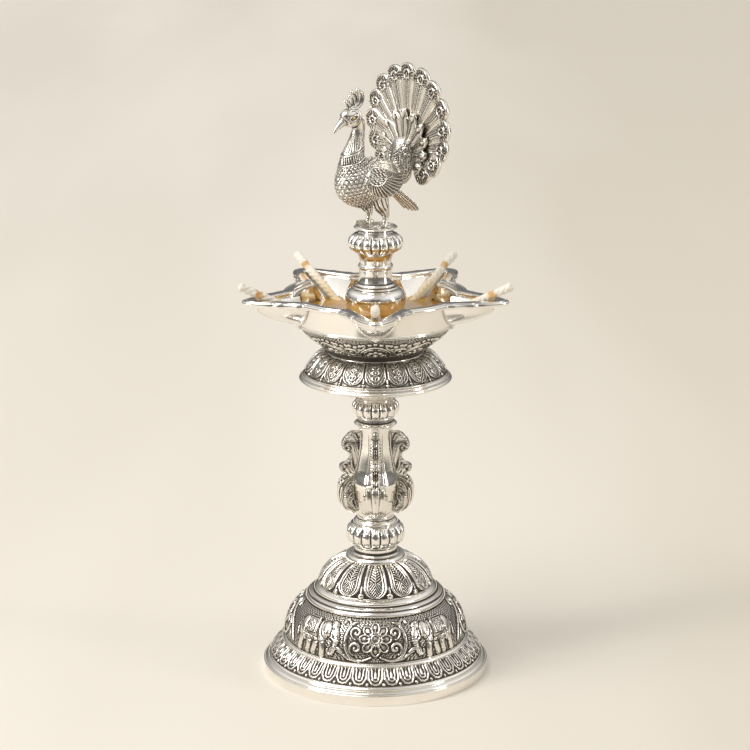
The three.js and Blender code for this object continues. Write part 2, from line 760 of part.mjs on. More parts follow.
function bowlShell() {
  const bore = SPINDLE_R + GAP;
  const lowered = -BAND_SKIN - GAP;
  const outside = turn([
    [bore, SHELL_AT],
    [BOWL_FOOT_R - 2, SHELL_AT],
    ...bowlUnderside(lowered, 2).filter(([, z]) => z > SHELL_AT),
    [BOWL_R - 1, SHELL_AT + BAND_RISE],
    [BOWL_R, RIM_AT],
    [bore, RIM_AT],
  ], BIG_TURN);
  const inside = turn([
    [0, FLOOR_AT],
    ...bowlInside(0),
    [BOWL_R - BOWL_WALL, RIM_AT + 1],
    [0, RIM_AT + 1],
  ], BIG_TURN);
  const hulls = around(SPOUT_COUNT, spoutHull(0, BOWL_R - 4, SPOUT_TIP_R - 6, RIM_AT), -90);
  const channel = spoutHull(BOWL_WALL * 0.9, BOWL_R - 8, CHANNEL_END_R, RIM_AT + 1);
  return joined([outside, ...hulls])
    .subtract(inside)
    .subtract(joined(around(SPOUT_COUNT, channel, -90)));
}

// The inside of the bowl from its floor to its wall, stood off inwards.
function bowlInside(standOff) {
  const thick = BAND_SKIN + GAP + BOWL_WALL;
  return [
    [BOWL_FOOT_R - 2, FLOOR_AT + standOff],
    ...bowlUnderside(-thick - standOff, 2).filter(([, z]) => z > FLOOR_AT + standOff + 0.5),
    [BOWL_R - BOWL_WALL - standOff, SHELL_AT + BAND_RISE + 4],
  ];
}

function carvedBand() {
  const outer = bowlUnderside(0, 3);
  const inner = bowlUnderside(-BAND_SKIN, 2);
  return turn([...outer, ...inner.reverse()], BIG_TURN);
}

// Half of a spout's outline in plan, from the middle of an arc of rim to the tip.
function rimOutline(inset) {
  const step = (2 * Math.PI) / SPOUT_COUNT;
  const arcR = inset ? RIM_IN_R : RIM_OUT_R;
  const tip = inset ? CHANNEL_END_R : SPOUT_TIP_R;
  const cusp = THREE.MathUtils.degToRad(inset ? 17 : 21.5);
  const half = [];
  for (let i = 0; i < 3; i++) {
    const angle = step / 2 + ((cusp - step / 2) * i) / 2;
    half.push([arcR * Math.cos(angle), arcR * Math.sin(angle)]);
  }
  const along = (u, v) => half.push([u, v]);
  if (inset) {
    const reach = tip - arcR;
    along(arcR + reach * 0.22, SPOUT_HALF * 0.78);
    along(arcR + reach * 0.5, SPOUT_HALF * 0.56);
    along(arcR + reach * 0.8, SPOUT_HALF * 0.34);
    along(tip - 1, 2.6);
    along(tip, 1.4);
  } else {
    const reach = tip - arcR;
    along(arcR + reach * 0.07, SPOUT_HALF * 1.16);
    along(arcR + reach * 0.17, SPOUT_HALF * 1.0);
    along(arcR + reach * 0.25, SPOUT_HALF * 0.78);
    along(arcR + reach * 0.42, SPOUT_HALF * 0.6);
    along(arcR + reach * 0.62, SPOUT_HALF * 0.4);
    along(arcR + reach * 0.8, TONGUE_HALF * 1.5);
    along(tip - TONGUE_HALF, TONGUE_HALF);
    along(tip - TONGUE_HALF * 0.3, TONGUE_HALF * 0.7);
    along(tip, 0);
  }
  const mirrored = half.slice(0, inset ? half.length : -1).reverse().map(([u, v]) => [u, -v]);
  const sector = [...half, ...mirrored.slice(0, -1)];
  const outline = [];
  for (let k = 0; k < SPOUT_COUNT; k++) {
    const turnBy = -Math.PI / 2 - step * k;
    sector.forEach(([u, v]) => {
      outline.push([
        u * Math.cos(turnBy) - v * Math.sin(turnBy),
        u * Math.sin(turnBy) + v * Math.cos(turnBy),
      ]);
    });
  }
  return outline;
}

function bowlRim() {
  return solid(plate(rimOutline(false), RIM_H, [rimOutline(true)]).translate(0, 0, RIM_AT));
}

function oilPool() {
  const surface = FLOOR_AT + OIL_DEPTH;
  const ballAt = SEAT_AT + BALL_RISE;
  const ballStep = (share) => {
    const z = SEAT_AT + (surface - SEAT_AT) * share;
    return [Math.sqrt(BALL_R ** 2 - (z - ballAt) ** 2) + GAP, z];
  };
  const pool = turn([
    [SPINDLE_R + 2.5 + GAP, FLOOR_AT + GAP],
    ...bowlInside(GAP).slice(0, -1),
    [BOWL_R - BOWL_WALL - 2 * GAP, SHELL_AT + BAND_RISE + 4],
    [BOWL_R - BOWL_WALL - 2 * GAP, surface],
    ...[1, 0.66, 0.33].map(ballStep),
    [BALL_SEAT_R + 2 * GAP, SEAT_AT - GAP],
    [SPINDLE_R + 2.5 + GAP, FLOOR_AT + 2.6],
  ]);
  const runs = around(SPOUT_COUNT, wickSolid(WICK_R + GAP, 2, WICK_LENGTH), -90);
  return pool.subtract(joined(runs));
}

// Wicks

// A wick along +X, lying on the tongue of a spout, its inner end in the oil.
function wickSolid(radius, deeper, length) {
  const rise = Math.tan(WICK_SLOPE);
  const restZ = RIM_TOP + GAP + WICK_R / Math.cos(WICK_SLOPE);
  const end = new THREE.Vector3(WICK_REST_R + WICK_OUT, 0, restZ + WICK_OUT * rise);
  const run = new THREE.Vector3(Math.cos(WICK_SLOPE), 0, Math.sin(WICK_SLOPE));
  const start = end.clone().addScaledVector(run, -length - deeper);
  const rings = [start, end].map((at) => {
    const up = new THREE.Vector3(-run.z, 0, run.x);
    return Array.from({ length: 8 }, (_, i) => {
      const angle = (2 * Math.PI * i) / 8;
      return at
        .clone()
        .addScaledVector(up, radius * Math.cos(angle))
        .add(new THREE.Vector3(0, radius * Math.sin(angle), 0));
    });
  });
  return loft(rings);
}

function wicks() {
  return around(SPOUT_COUNT, wickSolid(WICK_R, 0, WICK_LENGTH), -90).map((wick, k) =>
    piece(`wick_${k + 1}`, wick, COTTON)
  );
}

// Column

function ball() {
  const bore = COLUMN_CORE_R + GAP;
  const low = -Math.acos(BALL_SEAT_R / BALL_R);
  const points = [];
  for (let i = 0; i <= 4; i++) {
    const angle = low * (1 - i / 4);
    points.push([BALL_R * Math.cos(angle), BALL_RISE + BALL_R * Math.sin(angle)]);
  }
  const round = { power: 2, fullness: 0.5 };
  const crown = domed(BALL_R, BALL_TOP_R - 1.4, BALL_RISE, BALL_H - BALL_RISE, round, 2);
  return turn([[bore, 0], ...points, ...crown.slice(1), [bore, BALL_H]]);
}

function stepRingOfColumn() {
  const z0 = BALL_H;
  return turn([
    [COLUMN_CORE_R + GAP, z0],
    [STEP_RING_R - 0.5, z0],
    ...bead([STEP_RING_R - 0.5, z0], [STEP_RING_R - 0.9, z0 + STEP_RING_H], WIRE_BULGE),
    [STEP_RING_R - 0.9, z0 + STEP_RING_H],
    [COLUMN_CORE_R + GAP, z0 + STEP_RING_H],
  ]);
}

function throat() {
  const z0 = BALL_H + STEP_RING_H;
  const top = z0 + THROAT_H;
  return turn([
    [COLUMN_CORE_R + GAP, z0],
    [THROAT_R + 1.7, z0],
    [THROAT_R + 0.7, z0 + THROAT_H * 0.18],
    [THROAT_R, z0 + THROAT_H * 0.6],
    [THROAT_R, top],
    [COLUMN_CORE_R + GAP, top],
  ]);
}

function columnBead() {
  const z0 = BALL_H + STEP_RING_H + THROAT_H;
  const foot = [THROAT_R, z0];
  const head = [THROAT_R, z0 + COLUMN_BEAD_H];
  return turn([
    [COLUMN_CORE_R + GAP, z0],
    foot,
    ...bead(foot, head, COLUMN_BEAD_R - THROAT_R),
    head,
    [COLUMN_CORE_R + GAP, z0 + COLUMN_BEAD_H],
  ]);
}

function flare() {
  const z0 = BALL_H + STEP_RING_H + THROAT_H + COLUMN_BEAD_H;
  const side = flowing([
    [THROAT_R - 0.3, z0],
    [THROAT_R, z0 + FLARE_H * 0.4],
    [FLARE_R, z0 + FLARE_H],
  ], 5);
  return turn([[COLUMN_CORE_R + GAP, z0], ...side, [COLUMN_CORE_R + GAP, z0 + FLARE_H]]);
}

// Peacock

// The trunk of the bird, grown outwards for what lies against it.
function trunk(grown, around = 14, up = 10) {
  const centre = new THREE.Vector3(BODY_AT, 0, CUP_H + BODY_RISE);
  return ellipsoid(
    BODY_LENGTH / 2 + grown, BODY_WIDTH / 2 + grown, BODY_HEIGHT / 2 + grown, centre, around, up
  );
}

// A station of a limb in the bird's own upright plane.
function station(x, z, across, deep, y = 0) {
  return { at: new THREE.Vector3(x, y, z), across, deep };
}

function birdBody(grown = 0) {
  const side = new THREE.Vector3(0, 1, 0);
  const headZ = CUP_H + HEAD_RISE;
  const neckFoot = CUP_H + BODY_RISE + BODY_HEIGHT * 0.2;
  const climb = headZ - neckFoot;
  const neckStation = (x, share, across, deep) =>
    station(x, neckFoot + climb * share, across + grown, deep + grown);
  const neck = limb([
    neckStation(HEAD_AT - 0.6, 0, 8, 9),
    neckStation(HEAD_AT + 0.2, 0.28, 5.8, 6.3),
    neckStation(HEAD_AT - 1.4, 0.5, 4, 4.4),
    neckStation(HEAD_AT - 3.4, 0.72, 2.9, 3),
    neckStation(HEAD_AT - 2.6, 0.9, 3, 3.1),
    neckStation(HEAD_AT - 0.5, 1, 3.2, 3.2),
  ], side, 6, 8);
  const head = ellipsoid(
    HEAD_R * 1.18 + grown, HEAD_R * 0.88 + grown, HEAD_R + grown,
    new THREE.Vector3(HEAD_AT + 0.4, 0, headZ), 9, 6
  );
  const beak = limb([
    station(HEAD_AT + HEAD_R * 0.7, headZ - 0.2, 2.2, 2.2),
    station(HEAD_AT + HEAD_R * 1.3, headZ - 1.3, 1.4, 1.6),
    station(HEAD_AT + HEAD_R + BEAK_LENGTH * 0.6, headZ - 3.2, 0.8, 1),
    station(HEAD_AT + HEAD_R + BEAK_LENGTH, headZ - 5.6, 0.3, 0.35),
  ], side, 3, 6);
  return joined([trunk(grown), neck, head, beak]);
}

// Four curled plumes that rise from the crown of the head.
function crest() {
  const headZ = CUP_H + HEAD_RISE;
  const side = new THREE.Vector3(0, 1, 0);
  const foot = new THREE.Vector3(HEAD_AT - 0.4, 0, headZ + HEAD_R + 0.7);
  const plumes = [[3.6, 5.6], [1.7, 8.6], [-0.9, 10.2], [-3, 7.6]].map(([lean, rise]) =>
    limb([
      station(foot.x + lean * 0.1, foot.z - 0.2, 0.9, 0.9),
      station(foot.x + lean * 0.25, foot.z + rise * 0.4, 0.8, 0.8),
      station(foot.x + lean * 0.9, foot.z + rise * 0.85, 1.1, 1.2),
      station(foot.x + lean * 1.35, foot.z + rise, 0.7, 0.7),
    ], side, 3, 5)
  );
  const saddle = ellipsoid(2.2, 1.5, 0.9, new THREE.Vector3(foot.x, 0, foot.z - 0.3), 10, 6);
  return joined([...plumes, saddle]).subtract(birdBody(GAP));
}

// A folded wing: a skin on the trunk, cut to the wing's leaf-shaped outline.
function wing(sign) {
  const onTrunk = (ahead, up) => new THREE.Vector2(
    BODY_AT + BODY_LENGTH * ahead, CUP_H + BODY_RISE + BODY_HEIGHT * up
  );
  const shoulder = onTrunk(0.236, 0.356);
  const shape = new THREE.Shape();
  shape.moveTo(shoulder.x, shoulder.y);
  shape.splineThru([
    onTrunk(0.285, 0.085),
    onTrunk(0.151, -0.195),
    onTrunk(-0.137, -0.28),
    onTrunk(-0.411, -0.153),
    onTrunk(-0.534, 0.059),
  ]);
  shape.splineThru([onTrunk(-0.356, 0.229), onTrunk(-0.11, 0.398), shoulder]);
  const slab = new THREE.ExtrudeGeometry(shape, {
    depth: BODY_WIDTH, bevelEnabled: false, curveSegments: 2,
  }).rotateX(Math.PI / 2);
  const past = BODY_WIDTH / 10;
  slab.translate(0, sign > 0 ? BODY_WIDTH + past : -past, 0);
  return trunk(WING_SKIN + GAP).intersect(solid(slab)).subtract(birdBody(GAP));
}

// Takes the body and the wings out of a piece that lies against them, eased one way.
function setAgainstBird(body, ease) {
  const wings = [wing(1), wing(-1)];
  const eased = wings.map((one) => one.translate(ease));
  return body.subtract(birdBody(GAP)).subtract(joined([...wings, ...eased]));
}

// A leg from the feathered thigh to a foot of three toes and a spur on the cup's rim.
function leg(sign) {
  const y = sign * STANCE_HALF;
  const side = new THREE.Vector3(0, 1, 0);
  const floor = CUP_H - CUP_RECESS + GAP;
  const thigh = limb([
    station(2.6, CUP_H + LEG_H, 3.4, 4.4, y - sign * 0.8),
    station(1, CUP_H + LEG_H * 0.68, 2.7, 3.6, y),
    station(-1.2, CUP_H + LEG_H * 0.42, 1.7, 2, y),
    station(-0.6, CUP_H + LEG_H * 0.2, 1.5, 1.6, y),
    station(0, floor, 1.8, 1.9, y),
  ], side, 4, 6);
  const toes = [[6.6, -2.6], [7.6, 0.4], [6.2, 3], [-4, 0]].map(([x, dy]) =>
    limb([
      station(0, CUP_H + 1.3, 1, 1, y),
      station(x * 0.55, CUP_H + 1.5, 0.9, 1, y + sign * dy * 0.55),
      station(x, CUP_H + GAP + 0.55, 0.45, 0.5, y + sign * dy),
    ], side, 2, 5)
  );
  return setAgainstBird(joined([thigh, ...toes]), [0, sign * GAP, -GAP]);
}

// The outline of an open fan of feathers with rounded tips, from its root round and back.
function fanOutline(radius, feathers, spread, rootDrop) {
  const step = spread / feathers;
  const notch = radius - radius * 0.1;
  const outline = [[0, -rootDrop]];
  const steps = 3;
  for (let k = 0; k < feathers; k++) {
    for (let i = k === 0 ? 0 : 1; i <= steps; i++) {
      const share = (2 * i) / steps - 1;
      const angle = -spread / 2 + step * (k + i / steps);
      const r = notch + (radius - notch) * Math.sqrt(Math.max(1 - share * share, 0));
      outline.push([r * Math.sin(angle), r * Math.cos(angle)]);
    }
  }
  return outline;
}

// A tier of the raised train: a scalloped fan with a boss for each eye and a shaft below it.
function fanTier(radius, feathers, spread, rootDrop, eyeR, thickness, front, rise) {
  const sheet = solid(plate(fanOutline(radius, feathers, spread, rootDrop), thickness));
  const relief = 0.6;
  const step = spread / feathers;
  const features = [];
  for (let k = 0; k < feathers; k++) {
    const angle = -spread / 2 + step * (k + 0.5);
    const eye = [eyeR * Math.sin(angle), eyeR * Math.cos(angle)];
    const boss = new THREE.CylinderGeometry(radius * 0.05, radius * 0.075, relief + 0.4, 5);
    boss.rotateX(Math.PI / 2).translate(eye[0], eye[1], thickness + relief / 2 - 0.2);
    features.push(solid(boss));
    const from = new THREE.Vector2(0, -rootDrop * 0.5);
    const along = new THREE.Vector2(...eye).sub(from);
    const shaft = new THREE.CylinderGeometry(relief, relief, along.length() * 0.86, 4);
    const tilt = -Math.atan2(along.x, along.y);
    shaft.rotateZ(tilt).translate(
      from.x + along.x * 0.5, from.y + along.y * 0.5, thickness
    );
    features.push(solid(shaft));
  }
  return joined([sheet, ...features])
    .rotate([90, 0, 90])
    .translate([front - thickness, 0, CUP_H + rise]);
}

function trainOuter() {
  return fanTier(
    TRAIN_R, TRAIN_FEATHERS, TRAIN_SPREAD, TRAIN_R * 0.72, TRAIN_EYE_R,
    TRAIN_THICKNESS, TRAIN_FRONT, TRAIN_RISE
  );
}

function trainCoverts() {
  const front = TRAIN_FRONT + 0.6 + GAP + COVERT_THICKNESS;
  return fanTier(
    COVERT_R, COVERT_FEATHERS, COVERT_SPREAD, COVERT_R * 0.9, COVERT_EYE_R,
    COVERT_THICKNESS, front, COVERT_RISE
  );
}

// The swelling root of the train, its underside set against the folded wings.
function trainMound() {
  const front = TRAIN_FRONT + 0.6 + GAP + COVERT_THICKNESS + 0.6 + GAP;
  const sunk = 0.5;
  const centre = new THREE.Vector3(front - sunk, 0, CUP_H + MOUND_RISE);
  const egg = ellipsoid(
    MOUND_DEPTH + sunk, MOUND_HALF_WIDTH, MOUND_HALF_HEIGHT, centre, 15, 10
  );
  const over = 4 * MOUND_HALF_HEIGHT;
  const keep = new THREE.BoxGeometry(MOUND_DEPTH * 2, over, over);
  keep.translate(front + MOUND_DEPTH, 0, centre.z);
  return egg.intersect(solid(keep)).subtract(trunk(WING_SKIN + 2 * GAP));
}

// The short feathers below the train, slanting down behind the legs.
function lowerTail() {
  const side = new THREE.Vector3(0, 1, 0);
  const behind = (back, down, across, deep) => station(
    BODY_AT - BODY_LENGTH * back, CUP_H + BODY_RISE - BODY_HEIGHT * down,
    BODY_WIDTH * across, BODY_HEIGHT * deep
  );
  const feathers = limb([
    behind(0.384, 0.229, 0.15, 0.102),
    behind(0.548, 0.373, 0.21, 0.097),
    behind(0.685, 0.568, 0.23, 0.093),
    behind(0.778, 0.729, 0.15, 0.06),
  ], side, 5, 8);
  return setAgainstBird(feathers, [-GAP, 0, -GAP]);
}

function birdCup() {
  const floor = CUP_H - CUP_RECESS;
  const blind = CUP_H - CUP_RECESS - 0.9;
  const bowl = turn([
    [0, 0],
    [CUP_NECK_R, 0],
    [CUP_NECK_R, CUP_H * 0.35],
    [CUP_RIM_R - 0.4, CUP_H * 0.6],
    ...bead([CUP_RIM_R - 0.4, CUP_H * 0.6], [CUP_RIM_R - 0.5, CUP_H], WIRE_BULGE),
    [CUP_RIM_R - 0.5, CUP_H],
    [CUP_RIM_R - CUP_LIP, CUP_H],
    [CUP_RIM_R - CUP_LIP - 0.6, floor],
    [0, floor],
  ]);
  return bowl.subtract(turn([[0, -1], [STUD_R + GAP, -1], [STUD_R + GAP, blind], [0, blind]]));
}

// A screw stud across a seat, held in the section above it.
function stud(name, hold) {
  const rod = new THREE.CylinderGeometry(STUD_R, STUD_R, STUD_DEPTH + hold, BORE_TURN);
  rod.rotateX(Math.PI / 2).translate(0, 0, (hold - STUD_DEPTH) / 2);
  return piece(name, solid(rod), DARK);
}

const base = section(
  0,
  piece("base_foot_ring", footRing(), SILVER),
  piece("base_tongue_band", bandRing(), CARVED),
  piece("base_wire_ring", wireRing(), SILVER),
  piece("base_elephant_drum", drum(), CARVED),
  piece("base_step_ring", stepRing(), SILVER),
  piece("base_lotus_dome", lotusDome(), CARVED),
  piece("base_top_collar", baseCollar(), SILVER),
  piece("base_socket", baseSocket(), DARK)
);

const brackets = around(SCROLL_COUNT, scrollBracket(), -90).map((bracket, k) =>
  piece(`stem_scroll_${["front", "right", "back", "left"][k] ?? k + 1}`, bracket, CARVED)
);

const stem = section(
  STEM_AT,
  stud("stem_stud", STUD_HOLD),
  piece("stem_core_tube", tube(CORE_R, STUD_R + GAP, 0, STEM_H), DARK),
  piece("stem_lower_knop", lowerKnop(), SILVER),
  piece("stem_lower_bead", lowerBead(), SILVER),
  piece("stem_baluster", baluster(), SILVER),
  ...brackets,
  piece("stem_upper_collar", upperCollar(), SILVER),
  piece("stem_upper_knop", upperKnop(), SILVER),
  piece("stem_upper_ring", upperRing(), SILVER)
);

const bowl = section(
  BOWL_AT,
  stud("bowl_stud", STUD_HOLD),
  piece("bowl_spindle", spindle(), DARK),
  piece("bowl_skirt_rim", skirtRim(), SILVER),
  piece("bowl_skirt", skirt(), CARVED),
  piece("bowl_collar", bowlCollar(), SILVER),
  piece("bowl_carved_band", carvedBand(), CARVED),
  piece("bowl_shell", bowlShell(), SILVER),
  piece("bowl_rim", bowlRim(), SILVER),
  piece("oil_pool", oilPool(), OIL),
  ...wicks()
);

const column = section(
  COLUMN_AT,
  stud("column_stud", STUD_HOLD),
  piece("column_core_tube", tube(COLUMN_CORE_R, STUD_R + GAP, 0, COLUMN_H), DARK),
  piece("column_ball", ball(), SILVER),
  piece("column_step_ring", stepRingOfColumn(), SILVER),
  piece("column_throat", throat(), SILVER),
  piece("column_bead", columnBead(), SILVER),
  piece("column_flare", flare(), SILVER),
  piece("column_knop", columnKnop(), SILVER)
);

const bird = new THREE.Group();
bird.rotation.z = HEADING;
bird.add(
  piece("peacock_body", birdBody(), CARVED),
  piece("peacock_crest", crest(), CARVED),
  piece("peacock_wing_left", wing(1), CARVED),
  piece("peacock_wing_right", wing(-1), CARVED),
  piece("peacock_leg_left", leg(1), CARVED),
  piece("peacock_leg_right", leg(-1), CARVED),
  piece("peacock_train_outer", trainOuter(), CARVED),
  piece("peacock_train_coverts", trainCoverts(), CARVED),
  piece("peacock_train_root", trainMound(), CARVED),
  piece("peacock_lower_tail", lowerTail(), CARVED)
);

const peacock = section(
  PEACOCK_AT,
  stud("peacock_stud", CUP_H - CUP_RECESS - 0.9 - GAP),
  piece("peacock_cup", birdCup(), SILVER),
  bird
);

const lamp = new THREE.Group();
lamp.add(base, stem, bowl, column, peacock);

export default lamp;
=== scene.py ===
"""The looks of a standing oil lamp in polished and chased silver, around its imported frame.

The lamp stands on +Z with the front spout towards -Y. Sizes in the classes are in
millimetres, and every piece takes its place and its outer sizes from the frame's nodes.
"""

import logging
import math
from collections.abc import Callable, Sequence
from dataclasses import dataclass
from enum import Enum
from functools import cached_property

import bmesh
import bpy
import numpy as np
from mathutils import Matrix, Vector


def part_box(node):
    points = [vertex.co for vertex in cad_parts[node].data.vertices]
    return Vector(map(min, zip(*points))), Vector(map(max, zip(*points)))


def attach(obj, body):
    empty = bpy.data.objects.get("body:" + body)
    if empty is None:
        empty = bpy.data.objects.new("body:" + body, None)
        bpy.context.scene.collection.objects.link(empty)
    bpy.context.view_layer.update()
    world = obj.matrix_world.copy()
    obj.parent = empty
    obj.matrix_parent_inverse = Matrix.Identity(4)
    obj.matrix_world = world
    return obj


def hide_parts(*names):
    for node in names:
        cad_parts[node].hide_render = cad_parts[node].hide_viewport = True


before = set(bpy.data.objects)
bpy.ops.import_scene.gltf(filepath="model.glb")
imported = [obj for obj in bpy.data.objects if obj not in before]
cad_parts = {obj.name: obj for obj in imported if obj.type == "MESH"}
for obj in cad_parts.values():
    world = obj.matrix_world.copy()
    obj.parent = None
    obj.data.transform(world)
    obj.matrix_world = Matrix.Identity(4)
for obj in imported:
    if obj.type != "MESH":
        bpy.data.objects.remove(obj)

MM = 0.001
TAU = 2 * math.pi
# A spun piece is made over one of these sectors and then doubled until it closes.
SECTORS = 16
# Vertices nearer than this in metres are one.
SAME_PLACE = 1e-7
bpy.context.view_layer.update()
log = logging.getLogger("lamp")

Array = np.ndarray
Piece = bpy.types.Object
Mesh = bmesh.types.BMesh
Socket = bpy.types.NodeSocket
Point = tuple[float, float]
Place = tuple[float, float, float]
Profile = list[Point]
Placing = Callable[[Array, Array], Array]
Relief = Callable[[Array, Array, Array], Array]
Onto = Callable[[Array, Array, Array], Array]


class Body(Enum):
    """The bodies of the lamp that pieces ride on."""

    BASE = "base"
    STEM = "stem"
    BOWL = "bowl"
    COLUMN = "column"
    PEACOCK = "peacock"


class Side(Enum):
    """The bird's two sides, as the sign of its own Y."""

    LEFT = 1
    RIGHT = -1


class Boolean(Enum):
    """How one form changes another."""

    JOIN = "UNION"
    CUT = "DIFFERENCE"


class Slot(Enum):
    """The record's material slots."""

    POLISHED = "polished_silver"
    CARVED = "carved_silver"
    RAW = "raw_metal"
    COTTON = "cotton"
    OIL = "lamp_oil"


@dataclass(frozen=True)
class Span:
    """How high a node reaches and how far it stands out from the axis, in millimetres."""

    bottom: float
    top: float
    radius: float

    @classmethod
    def of(cls, node: str) -> "Span":
        """Reads the span of a node.

        Args:
            node: The node's name.

        Returns:
            Its span at rest.
        """
        low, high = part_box(node)
        reach = max(high.x, -low.x, high.y, -low.y)
        return cls(low.z / MM, high.z / MM, reach / MM)

    @property
    def height(self) -> float:
        """The node's height."""
        return self.top - self.bottom

    def at(self, share: float) -> float:
        """The height at a share of the way from the bottom to the top."""
        return self.bottom + self.height * share


# Profiles and places


def bead(start: Point, end: Point, bulge: float, steps: int = 8) -> Profile:
    """Makes a half-round moulding between two points.

    Args:
        start: Radius and height where it starts.
        end: Radius and height where it ends.
        bulge: How far it stands out.
        steps: How many steps it has.

    Returns:
        The points from start to end.
    """
    points = []
    for i in range(steps + 1):
        t = i / steps
        out = bulge * math.sin(math.pi * t)
        points.append((start[0] + (end[0] - start[0]) * t + out, start[1] + (end[1] - start[1]) * t))
    return points


def domed(foot: Point, top: Point, power: float, fullness: float, steps: int = 40) -> Profile:
    """Makes a domed side that leaves its foot upright and closes in towards its top.

    Args:
        foot: Radius and height of the foot.
        top: Radius and height of the top.
        power: How soon the side starts to close in.
        fullness: How square the shoulder is.
        steps: How many steps it has.

    Returns:
        The points from foot to top.
    """
    points = []
    for i in range(steps + 1):
        t = math.sin(math.pi / 2 * i / steps)
        share = max(1 - t**power, 0.0) ** fullness
        points.append((top[0] + (foot[0] - top[0]) * share, foot[1] + (top[1] - foot[1]) * t))
    return points


def flow(through: Sequence[Point], steps: int = 8) -> Profile:
    """Runs a smooth line through points.

    Args:
        through: The points that it passes.
        steps: How many steps it takes between two of them.

    Returns:
        The points of the line.
    """
    p = np.array([through[0], *through, through[-1]], float)
    line = []
    for i in range(1, len(p) - 2):
        for k in range(steps):
            t = k / steps
            a, b, c, d = p[i - 1], p[i], p[i + 1], p[i + 2]
            at = 0.5 * (2 * b + (c - a) * t + (2 * a - 5 * b + 4 * c - d) * t**2)
            line.append(tuple(at + 0.5 * (3 * b - a - 3 * c + d) * t**3))
    return [*line, tuple(p[-1])]


def spiral(centre: Point, start: float, end: float, turns: Point, steps: int = 22) -> Profile:
    """Runs a spiral.

    Args:
        centre: Its centre.
        start: Its radius at the start.
        end: Its radius at the end.
        turns: The angles in degrees where it starts and ends.
        steps: How many steps it takes.

    Returns:
        The points of the spiral.
    """
    points = []
    for i in range(steps + 1):
        t = i / steps
        r = start + (end - start) * t
        a = math.radians(turns[0] + (turns[1] - turns[0]) * t)
        points.append((centre[0] + r * math.cos(a), centre[1] + r * math.sin(a)))
    return points


def dense(profile: Profile, pitch: float) -> Profile:
    """Adds points to a line so that none lie further apart than a pitch.

    Args:
        profile: The line's points.
        pitch: The largest distance between two points.

    Returns:
        The denser line, which still holds every point of the first.
    """
    points = [profile[0]]
    for (r0, z0), (r1, z1) in zip(profile, profile[1:]):
        parts = max(1, math.ceil(math.hypot(r1 - r0, z1 - z0) / pitch))
        for k in range(1, parts + 1):
            points.append((r0 + (r1 - r0) * k / parts, z0 + (z1 - z0) * k / parts))
    return points


def eased(profile: Profile, radius: float) -> Profile:
    """Rounds the corners of a closed profile, as casting and polishing do.

    Args:
        profile: The closed profile's points.
        radius: How far from a corner the rounding starts.

    Returns:
        The profile with each clear corner as a short curve.
    """
    result = []
    count = len(profile)
    for i in range(count):
        before, corner, after = (np.array(profile[(i + k) % count]) for k in (-1, 0, 1))
        lead, trail = before - corner, after - corner
        lengths = np.linalg.norm(lead), np.linalg.norm(trail)
        bend = float(np.dot(lead, trail) / max(lengths[0] * lengths[1], 1e-9))
        reach = min(radius, lengths[0] * 0.45, lengths[1] * 0.45)
        if bend < -0.94 or corner[0] < 1e-6 or reach < 0.02:
            result.append(tuple(corner))
            continue
        start, end = corner + lead / lengths[0] * reach, corner + trail / lengths[1] * reach
        for t in (0.0, 0.33, 0.67, 1.0):
            result.append(tuple(start * (1 - t) ** 2 + corner * 2 * t * (1 - t) + end * t**2))
    return result


def inward(v: Array, reach: float, end: float = 1.0) -> Array:
    """Rises from 0 at both ends of a length to 1 a reach further in."""
    return np.clip(np.minimum(v, end - v) / reach, 0, 1)


def turned(x: Array | float, y: Array | float, degrees: float) -> tuple[Array | float, Array | float]:
    """Turns places in plan round the lamp's axis.

    Args:
        x: Their first coordinate.
        y: Their second coordinate.
        degrees: How far they are turned.

    Returns:
        The two coordinates after the turn.
    """
    c, s = math.cos(math.radians(degrees)), math.sin(math.radians(degrees))
    return x * c - y * s, x * s + y * c


def bearing(x: Array, y: Array) -> Array:
    """The angle of places round the lamp's axis, from its front."""
    return np.arctan2(x, -y)


# Meshes


def smooth(mesh: bpy.types.Mesh, soft: float) -> None:
    """Makes a mesh's faces smooth and its edges past an angle in degrees sharp."""
    mesh.polygons.foreach_set("use_smooth", [True] * len(mesh.polygons))
    mesh.set_sharp_from_angle(angle=math.radians(soft))


def to_object(name: str, bm: Mesh, soft: float = 40.0) -> Piece:
    """Turns a bmesh into an object with smooth faces and sharp creases.

    Args:
        name: The object's name.
        bm: The mesh, which is freed.
        soft: The angle in degrees from which an edge is a crease.

    Returns:
        The new object, linked to the scene.
    """
    mesh = bpy.data.meshes.new(name)
    bm.to_mesh(mesh)
    bm.free()
    smooth(mesh, soft)
    obj = bpy.data.objects.new(name, mesh)
    bpy.context.scene.collection.objects.link(obj)
    return obj


